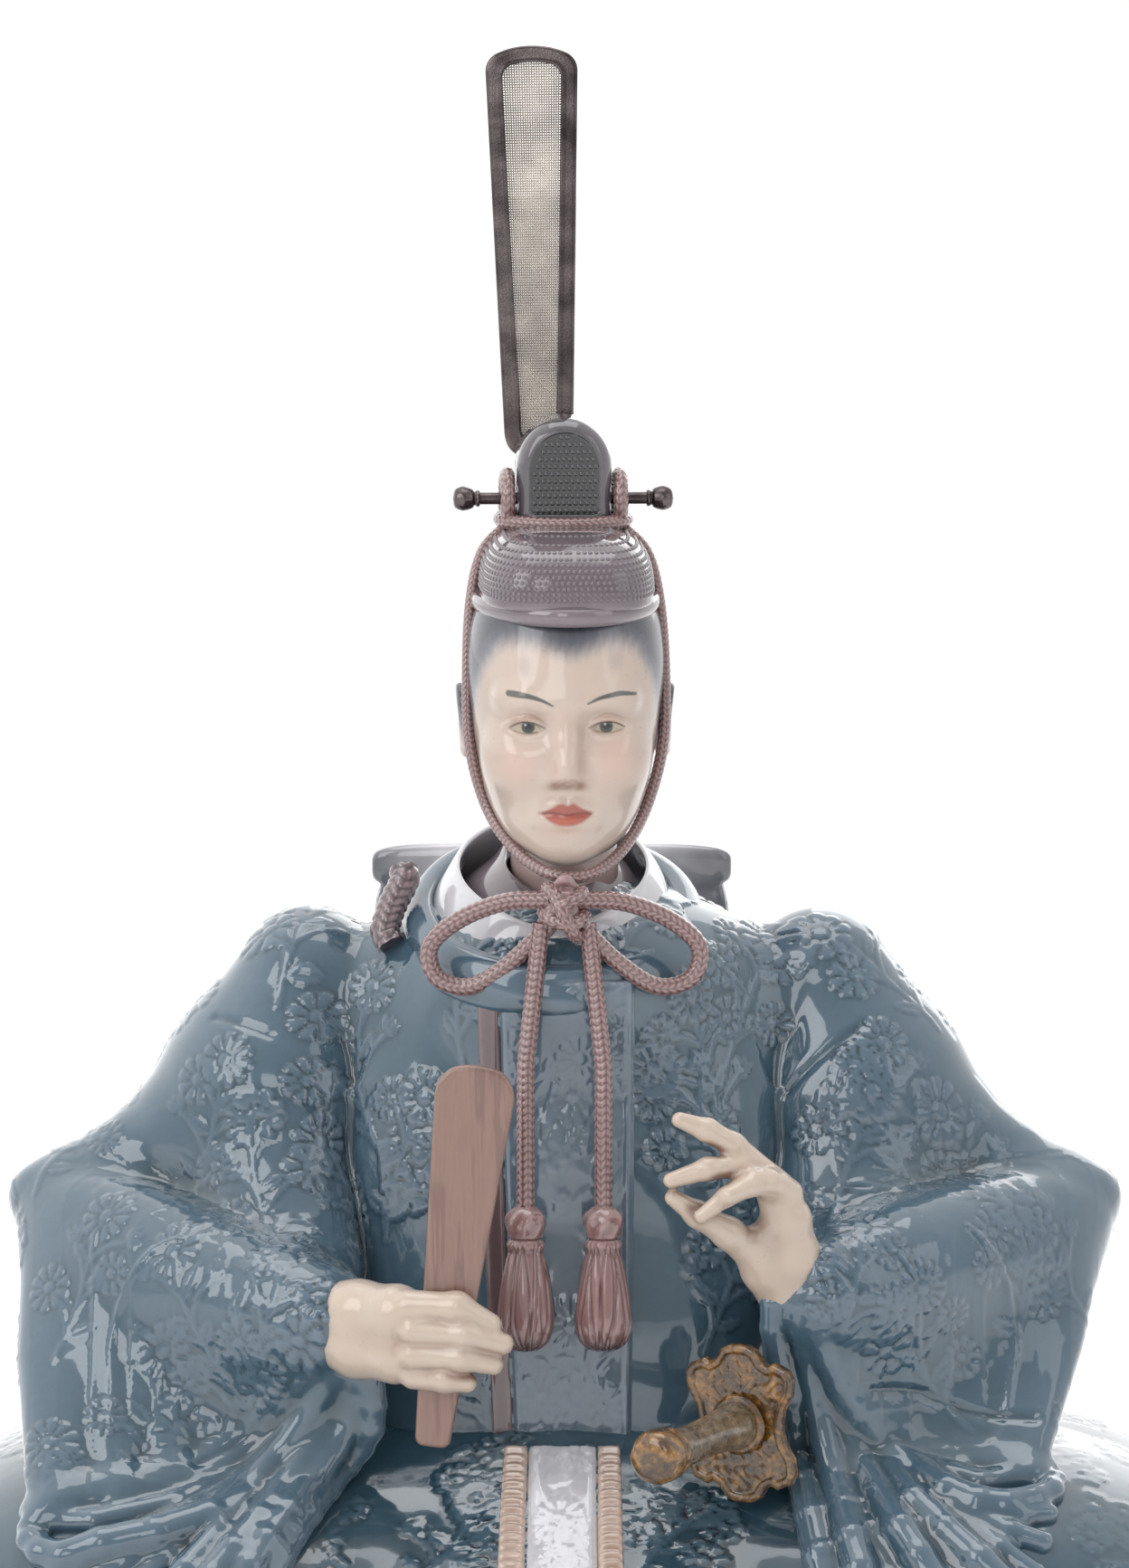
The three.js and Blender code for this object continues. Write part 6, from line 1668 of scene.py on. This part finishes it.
for side, label in sides:
    flat = np.array([(side * bow_reach * x, bow_level + bow_height * z) for x, z in bow_shares])
    across, level = smooth_beads(flat, 90).T
    chest = front_of(across, level) - 2.4
    forward = evened(np.minimum(chest, -47 + 0.24 * np.abs(across)), 9)
    braided_cord(label + "_bow_loop_braid", np.column_stack([across, forward, level, np.full(90, 2.3)]), 1.9, 0.26)
    share = np.linspace(0, 1, 60)
    across = side * hanging_spread * (0.6 + 0.4 * np.minimum(2 * share, 1))
    level = hanging_top - share * hanging_length
    forward = evened(np.minimum(front_of(across, level) - 2.7, -45.5 - 7 * ramp(share, 0, 0.8)), 6)
    thickness = 2.3 - 0.6 * ramp(share, 0.55, 0.95)
    braided_cord(label + "_hanging_cord_braid", np.column_stack([across, forward, level, thickness]), 1.9, 0.26)
    skinned(label + "_cord_bead_casting", lathed(bead_profile, 84, spot((side * hanging_spread, *bead_place)), swirl),
            tassel_glaze, 0.35, "cord_glaze")
    strands = strands_of(np.random.default_rng(5 + side).uniform(-0.4, 0.4, strand_count))
    vertices, faces = lathed(tassel_profile, 200, spot((side * hanging_spread, *tassel_place)), strands)
    paints = hollows(vertices, faces, 0.35)
    paints["pool"] = np.maximum(paints["pool"], 0.75 * ramp(-vertices[:, 2], -111.5, -105))
    add_piece(label + "_tassel_casting", vertices, faces, tassel_glaze, "cord_glaze", paints=paints)


# Hands

# Each hand: the palm, then the four fingers from the forefinger, then the thumb
right_hand = joined(
    1.7,
    joined(4, chain([(-66, -55, 115.5, 7.2), (-52, -66, 116.5, 8), (-42, -73, 117, 7.2), (-37, -76, 117, 5.5)], 2),
           chain([(-66, -55, 111.5, 7.2), (-52, -66, 107.8, 8), (-42, -72, 106.4, 7), (-37, -75, 106, 5.5)], 2)),
    chain([(-39, -77.5, 119.6, 4.2), (-27, -81, 119.8, 3.8), (-18.8, -80.4, 115.4, 3)], 2),
    chain([(-38, -79, 113.6, 3.9), (-25, -82.4, 113.2, 3.3), (-15.6, -80.8, 110.6, 2.8)], 2),
    chain([(-38, -78.6, 107.4, 3.8), (-26, -82.2, 107.2, 3.2), (-18, -80.6, 105.4, 2.7)], 2),
    chain([(-38, -76.5, 101.8, 3.4), (-30, -80, 101.4, 3), (-24.6, -79.4, 100.6, 2.6)], 2),
    chain([(-52, -66, 114, 5), (-40, -67, 113.4, 3.9), (-28, -68, 113, 3.1)], 2))
left_hand = joined(
    2.0,
    joined(4.5, chain([(61, -50, 110, 7), (60, -56, 119, 6.6), (58, -61, 130, 6.6), (56, -65, 140, 6),
                       (52.5, -68.5, 148.5, 4.6)], 2),
           chain([(57, -54, 116, 6), (50.5, -60, 126.5, 5.6), (49, -64, 134, 4.4)], 2)),
    chain([(51, -68, 151, 3.9), (42.5, -71.5, 159.6, 3.1), (36, -73, 163.6, 2.9), (28.9, -74.4, 166.4, 2)], 1.5),
    chain([(50, -69.5, 150.5, 3.9), (44, -73, 154.6, 3), (36, -75.4, 154.2, 2.8), (26.8, -76.6, 151.4, 2)], 1.5),
    chain([(53, -70, 149, 3.6), (47, -75.4, 151.4, 2.7), (40.5, -78, 147.4, 2.4), (34.4, -78.6, 142.6, 1.9)], 1.2),
    chain([(56.5, -67, 147, 3.6), (51.5, -73.6, 150.4, 2.9), (46.5, -78, 150, 2.5), (41.6, -80, 148, 2.1)], 1.2),
    chain([(57, -57, 121, 6), (49, -62, 130, 5), (41.4, -68, 136.8, 3.9), (33.6, -72.4, 142.2, 3.2),
           (27.4, -75, 146.8, 2.2)], 2))


def skin_and_shade_paint(form):
    """Pale skin, with painted shade in the grooves between the fingers of a hand's form"""

    def paint(vertices):
        sides = np.eye(3) * 0.4
        slope = np.column_stack([form(vertices + side) - form(vertices - side) for side in sides])
        slope /= np.linalg.norm(slope, axis=1)[:, None] + 1e-9
        closeness = 1 - form(vertices + slope * 2.4) / 2.4
        colour = np.repeat([shade(188, 172, 157)[:3]], len(vertices), 0)
        # painted shade where the fingers lie close together
        return {"paint": over(colour, (120, 88, 72), np.clip(closeness * 1.5 - 0.08, 0, 0.85))}

    return paint


cast_piece("right_hand_casting", right_hand, (-80, -90, 92), (-8, -40, 130), hand_step, skin_glaze,
           paint=skin_and_shade_paint(right_hand))
cast_piece("left_hand_casting", left_hand, (20, -86, 98), (72, -38, 172), hand_step, skin_glaze,
           paint=skin_and_shade_paint(left_hand))


# Baton

baton_spot = spot((-33.4, -74, 83.5), ("X", 0.05), ("Y", 0.121))
baton_height = 98
baton_foot_half = 4.4
baton_top_half = 10.6


def baton_outline(x, z):
    """A board that widens upwards to a rounded top"""
    side = np.abs(x) - (baton_foot_half + 6.2 * np.clip(z / baton_height, 0, 1))
    top = z - baton_height + 4.6 * (np.abs(x) / baton_top_half) ** 2.6
    return soft_max(soft_max(side, top, 5), -z, 2.5)


cast_piece("baton_board", placed(baton_spot, plate_form(baton_outline, 1.7, 1.1)), (-42, -86, 80), (-8, -68, 185), 0.6,
           wood_glaze, "baton_glaze", "baton")


# Sword

sword_spot = spot((45, -62, 87.5), ("Z", -0.55), ("X", 0.07))
guard_half = (16.4, 20.5)
guard_shares = [(0, 1), (0.16, 0.99), (0.3, 0.94), (0.42, 0.8), (0.52, 0.755), (0.62, 0.8), (0.86, 0.72), (0.95, 0.6),
                (0.92, 0.4), (0.78, 0.2), (0.74, 0.06)]
quarter = np.array(guard_shares) * guard_half
guard_loop = np.vstack([quarter, (quarter * (1, -1))[::-1], quarter * (-1, -1), (quarter * (-1, 1))[::-1]])


def loop_distance(x, z, loop):
    """Distance to a closed outline, below zero inside it"""
    best = np.full(len(x), 99.0)
    inside = np.zeros(len(x), bool)
    for a, b in zip(loop, np.roll(loop, -1, 0)):
        along = b - a
        share = np.clip(((x - a[0]) * along[0] + (z - a[1]) * along[1]) / max(along @ along, 1e-9), 0, 1)
        best = np.minimum(best, np.hypot(x - a[0] - share * along[0], z - a[1] - share * along[1]))
        crossing = (a[1] > z) != (b[1] > z)
        inside ^= crossing & (x < a[0] + (z - a[1]) * along[0] / (along[1] if along[1] else 1e-9))
    return np.where(inside, -best, best)


def guard_form(p):
    """A lobed plate with a sunk, leafy middle on both faces"""
    edge = loop_distance(p[:, 0], p[:, 2], guard_loop)
    body = plate_form(lambda x, z: edge, 1.6, 0.9)(p)
    dish = np.maximum(edge + 2.2, 0.9 - np.abs(p[:, 1]))
    body = soft_max(body, -dish, 0.7)
    x, z = p[:, 0], p[:, 2]
    leafy = 0.14 * np.sin(x * 1.3 + np.sin(z * 0.9) * 2) * np.sin(z * 1.2 + np.sin(x) * 1.5)
    return body - leafy * ramp(-edge, 2, 4)


cast_piece("sword_guard_casting", placed(sword_spot, guard_form), (24, -80, 62), (66, -44, 113), comb_step,
           amber_glaze, body="sword", depth=0.4)
facing_viewer = spot((0, 0, 0), ("X", math.pi / 2))
hilt_spot = (sword_spot[0], sword_spot[1] @ facing_viewer[1])


def worn(angles, share):
    """The slight unevenness of the sword's turned pieces"""
    return 0.012 * np.sin(3 * angles + 5 * share) + 0.008 * np.sin(7 * angles - 11 * share)


# Node, profile as (radius, distance in front of the guard), finish
turned_pieces = [
    ("sword_washer", [(0, 1.6), (6.6, 1.6), (7.6, 1.9), (7.8, 2.4), (7.2, 3.1), (6.2, 3.4), (0, 3.4)], amber_glaze),
    ("sword_hilt", [(0, 3.2), (5.6, 3.2), (6.1, 4.6), (5.7, 7), (5.2, 13), (5, 22), (5.2, 31), (5.3, 35.4), (5, 36),
                    (0, 36.2)], hilt_glaze),
    ("sword_pommel", [(0, 36), (6, 36.2), (6.7, 37), (6.5, 38.2), (6.9, 39.2), (7, 41.4), (6.7, 43.6), (5.4, 45.2),
                      (3, 46), (0, 46.2)], amber_glaze),
]
for label, profile, finish in turned_pieces:
    skinned(label + "_turned", lathed(profile, 72, hilt_spot, worn), finish, 0.5, "amber_glaze", "sword")

# The tang is shown as its own solid
tang = bpy.data.objects["sword_tang"].data
tang.materials.clear()
tang.materials.append(dark_metal)


# Tail and pin

tail_spot = spot((-6.5, 3, 329), ("Y", -0.02))
tail_height = 106
tail_foot_half = 8.7
tail_top_half = 12.1
frame_width_across = 4.1


def tail_outline(x, z, inset):
    """The tall outline of the tail, drawn in by inset"""
    half = tail_foot_half + 3.4 * np.clip(z / tail_height, 0, 1) - inset
    top = tail_height - inset - 3.6 * (np.abs(x) / tail_top_half) ** 2.2
    return soft_max(soft_max(np.abs(x) - half, z - top, 3.2), inset - z, 7.0 if inset == 0 else 4.0)


def frame_outline(x, z):
    return np.maximum(tail_outline(x, z, 0), -tail_outline(x, z, frame_width_across))


def lip_outline(x, z):
    return np.abs(tail_outline(x, z, 3.9)) - 0.35


def tongue_outline(x, z):
    return np.maximum(np.abs(x) - 3.9, np.abs(z + 5) - 7)


frame_form = joined(0.5, plate_form(frame_outline, 1.7, 0.8), plate_form(lip_outline, 1.95, 0.3),
                    plate_form(tongue_outline, 1.05, 0.3))
cast_piece("tail_frame_metal", placed(tail_spot, frame_form), (-24, -1, 314), (8, 7, 437), comb_step, dark_metal,
           body="tail")
blank = bpy.data.meshes.new("net_guide")
net_sizes = {"TopWidth": 0.0168, "FootWidth": 0.0104, "Height": 0.0985, "Columns": 27, "Rows": 152, "Wire": 0.00016,
             "Sway": 0.00018}
woven = grown_by(net, "tail_net_woven", blank, net_sizes, wire_metal, (), "net_metal", "tail")
carry = mathutils.Matrix.LocRotScale(
    mathutils.Vector(outward(tail_spot, [(0, 0, 4)])[0] * metre), mathutils.Matrix(tail_spot[1].tolist()), None)
woven.data.transform(carry)
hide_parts("tail_net")

pin_spot = (outward(head_spot, [(0, comb_middle, 54.5)])[0], head_spot[1] @ spot((0, 0, 0), ("Y", math.pi / 2))[1])
rod = [(0, -22.6), (1.5, -22.6), (1.55, -20), (1.5, 0), (1.55, 20), (1.5, 22.6), (0, 22.6)]
ball = [(0, 21.4), (1.9, 21.5), (2.1, 22.2), (1.8, 22.8), (2.5, 23.4), (3.1, 25.2), (3.05, 26.4), (2.2, 27.9),
        (0, 28.4)]
add_piece("pin_rod_metal", *lathed(rod, 32, pin_spot), dark_metal, body="hairpin")
for side, label in sides:
    profile = [(radius, side * along) for radius, along in ball]
    add_piece(label + "_pin_ball_metal", *lathed(profile, 48, pin_spot), dark_metal, body="hairpin")


# Panels laid on the robe

def laid_slab(name, form, rows, across, thickness, material, slot=None, lift=None, flowers=None):
    """A thin strip laid on a form. Rows are (left pixel, right pixel, pixel down) of the front view."""
    rows = np.array(rows, float)
    length = np.abs(np.diff(rows[:, 2])).sum() * millimetres_per_pixel
    fine = np.linspace(0, len(rows) - 1, int(length / 0.7) + 2)
    pixels = np.stack([np.interp(fine, np.arange(len(rows)), rows[:, i]) for i in range(3)], 1)
    share = np.linspace(0, 1, across)
    level = np.repeat(pixels[:, 2:], across, 1)
    grid = np.stack([pixels[:, :1] + (pixels[:, 1:2] - pixels[:, :1]) * share, level], -1)
    base = seen(form, grid.reshape(-1, 2))
    facing = slope_of(form, base, 1.0)
    facing /= np.linalg.norm(facing, axis=1)[:, None]
    run = np.repeat(np.linspace(0, length, len(fine)), across)
    side = np.tile(share, len(fine))
    rounded = (1 - np.abs(2 * side - 1) ** 9) * ramp(np.minimum(run, length - run), -0.6, 1.2)
    height = thickness * rounded * (lift(side, run) if lift else 1)
    if flowers:
        bloom = carve_flowers(base, facing, [], flowers, 17, 24.0) * ramp(0.5 - np.abs(side - 0.5), 0.02, 0.1)
        height = height + bloom * relief_depth * 0.45
    top = (base + facing * height[:, None]).reshape(len(fine), across, 3)
    under = (base - facing * 0.7).reshape(len(fine), across, 3)[:, ::-1]
    skinned(name, rings(np.concatenate([top, under], 1)), material, 0.5, slot)


def ribs(side, run):
    """Ribs across a border, bowed in their middle"""
    return 1 + 0.22 * np.cos(2 * math.pi * (run / 2.4 + 0.3 * np.sin(side * math.pi)))


def hemmed(side, run):
    """A narrow hem along one edge and a taller one along the other"""
    return 1 + 0.5 * np.exp(-((side - 0.03) / 0.03) ** 2) + 0.9 * np.exp(-((side - 0.955) / 0.03) ** 2)


laid_slab("front_panel_casting", torso_form, [(551, 702, 1084), (554, 702, 1200), (562, 700, 1450), (568, 698, 1612)],
          90, 1.5, panel_glaze, "robe_glaze", hemmed, 21)
laid_slab("front_lining_casting", torso_form, [(526, 551, 1084), (530, 554, 1200), (538, 562, 1450), (544, 568, 1612)],
          14, 0.9, brown_glaze)
laid_slab("sash_casting", robe_form, [(584, 660, 1604), (582, 660, 1680), (581, 661, 1760), (583, 664, 1878)],
          40, 1.3, white_glaze, flowers=33)
laid_slab("right_sash_border_casting", robe_form,
          [(557, 584, 1604), (552, 582, 1680), (549, 581, 1760), (556, 583, 1878)],
          18, 1.7, sand_glaze, lift=ribs)
laid_slab("left_sash_border_casting", robe_form,
          [(660, 686, 1604), (660, 688, 1680), (661, 690, 1760), (664, 691, 1878)],
          18, 1.7, sand_glaze, lift=ribs)


# Folded train behind the shoulders

def train_form(p):
    """A pleated sheet that hangs from a roll"""
    pleat = 0.9 * np.abs(np.sin((p[:, 0] + 3.4) / 11 * math.pi)) * (p[:, 1] > 55.7)
    roll = pillow((-3.4, 55.7, 218), (47.6, 5, 6.5), 4.5)(p)
    sheet = pillow((-3.4, 55.7, 157), (47, 3.9, 64), 9)(p) - pleat * 0.6
    return soft_min(roll, sheet, 1.0)


def shaded_ends(name):
    """A pale glaze, darker towards both ends of the roll"""
    material, nodes, shader, place = new_material(name)
    across = nodes.add("ShaderNodeSeparateXYZ", {0: place}).outputs[0]
    ends = nodes.sum("ABSOLUTE", nodes.sum("ADD", across, 0.0034))
    cloud = nodes.noise(place, 60.0)
    ends = nodes.times_plus(nodes.sum("SUBTRACT", cloud, 0.5), 0.016, ends)
    tone = nodes.mix(nodes.band(ends, 0.028, 0.047), shade(200, 197, 202), shade(74, 76, 84))
    tone = nodes.mix(nodes.attribute("pool"), tone, shade(98, 98, 106))
    nodes.feed(shader, base_color=tone)
    set_inputs(shader, roughness=0.12, coat_weight=1.0, coat_roughness=0.02)
    return material


cast_piece("folded_train_casting", train_form, (-56, 48, 88), (50, 64, 228), 0.9, shaded_ends("train_glaze"),
           "white_glaze")


# Socket behind the comb for the tail's tongue

def socket_outline(x, z):
    return np.maximum(np.abs(x) - 6.4, np.abs(z + 7.2) - 7.0)


cast_piece("tail_socket_casting", placed(tail_spot, plate_form(socket_outline, 3.4, 1.2)), (-17, -3, 310), (5, 9, 331),
           small_step, cap_glaze, "cord_glaze")


# Floor, lights and camera

def area_light(name, place, aim, width, height, power):
    """A soft window of light, in metres and watts, turned towards aim"""
    lamp = bpy.data.lights.new(name, "AREA")
    lamp.shape = "RECTANGLE"
    lamp.size = width
    lamp.size_y = height
    lamp.energy = power
    thing = bpy.data.objects.new(name, lamp)
    thing.location = place
    direction = mathutils.Vector(aim) - mathutils.Vector(place)
    thing.rotation_euler = direction.to_track_quat("-Z", "Y").to_euler()
    bpy.context.scene.collection.objects.link(thing)


area_light("key_window", (-1.05, -1.05, 1), (0, 0, 0.2), 0.85, 1.1, 7.5)
area_light("fill_window", (1.2, -0.8, 0.8), (0, 0, 0.2), 0.7, 1, 1.9)
area_light("front_window", (-0.25, -1.7, 0.75), (0, 0, 0.15), 0.45, 0.8, 2.4)
area_light("top_window", (0, 0, 1.5), (0, 0, 0.2), 1, 0.8, 4.5)
area_light("back_window", (0.5, 1.4, 0.9), (0, 0, 0.25), 1, 1, 3.5)

# A white room, brighter behind the doll and on the viewer's left
world = bpy.data.worlds.new("studio")
bpy.context.scene.world = world
world.use_nodes = True
room = Nodes(world.node_tree)
way = room.add("ShaderNodeTexCoord").outputs["Generated"]
ways = room.add("ShaderNodeSeparateXYZ", {0: way}).outputs
room_light = world.node_tree.nodes["Background"]
room_light.inputs["Color"].default_value = (1, 1, 1, 1)
front_to_back = room.band(ways["Y"], -0.8, 0.05, 0.62, 1.35)
right_to_left = room.band(ways["X"], -0.5, 0.9, 1.08, 0.7)
world.node_tree.links.new(room.times(front_to_back, right_to_left), room_light.inputs["Strength"])
bpy.context.scene.view_settings.view_transform = "Standard"

floor_mesh = bpy.data.meshes.new("floor")
floor_reach = 40.0
floor_mesh.from_pydata(
    [(-floor_reach, -floor_reach, 0), (floor_reach, -floor_reach, 0), (floor_reach, floor_reach, 0),
     (-floor_reach, floor_reach, 0)], [], [(0, 1, 2, 3)])
floor = bpy.data.objects.new("floor", floor_mesh)
bpy.context.scene.collection.objects.link(floor)
paper, paper_nodes, paper_shader, paper_place = new_material("paper")
paper_tone = paper_nodes.mix(paper_nodes.noise(paper_place, 6), shade(244, 244, 244), shade(250, 250, 250))
paper_nodes.feed(paper_shader, base_color=paper_tone)
set_inputs(paper_shader, roughness=0.9)
floor_mesh.materials.append(paper)

lens = bpy.data.cameras.new("front")
lens.sensor_width = 36
lens.lens = lens.sensor_width * viewing_distance / (frame_height * millimetres_per_pixel)
lens.clip_start = 0.1
lens.clip_end = 20
camera = bpy.data.objects.new("front", lens)
bpy.context.scene.collection.objects.link(camera)
middle_rise = (shelf_pixel - frame_height / 2) * millimetres_per_pixel
target = mathutils.Vector((
    (frame_width / 2 - middle_pixel) * millimetres_per_pixel, seen_depth, middle_rise - view_slope * seen_depth)) * metre
back = mathutils.Vector((0, -math.cos(view_elevation), math.sin(view_elevation)))
camera.location = target + back * viewing_distance * metre
camera.rotation_euler = (-back).to_track_quat("-Z", "Y").to_euler()
bpy.context.scene.camera = camera
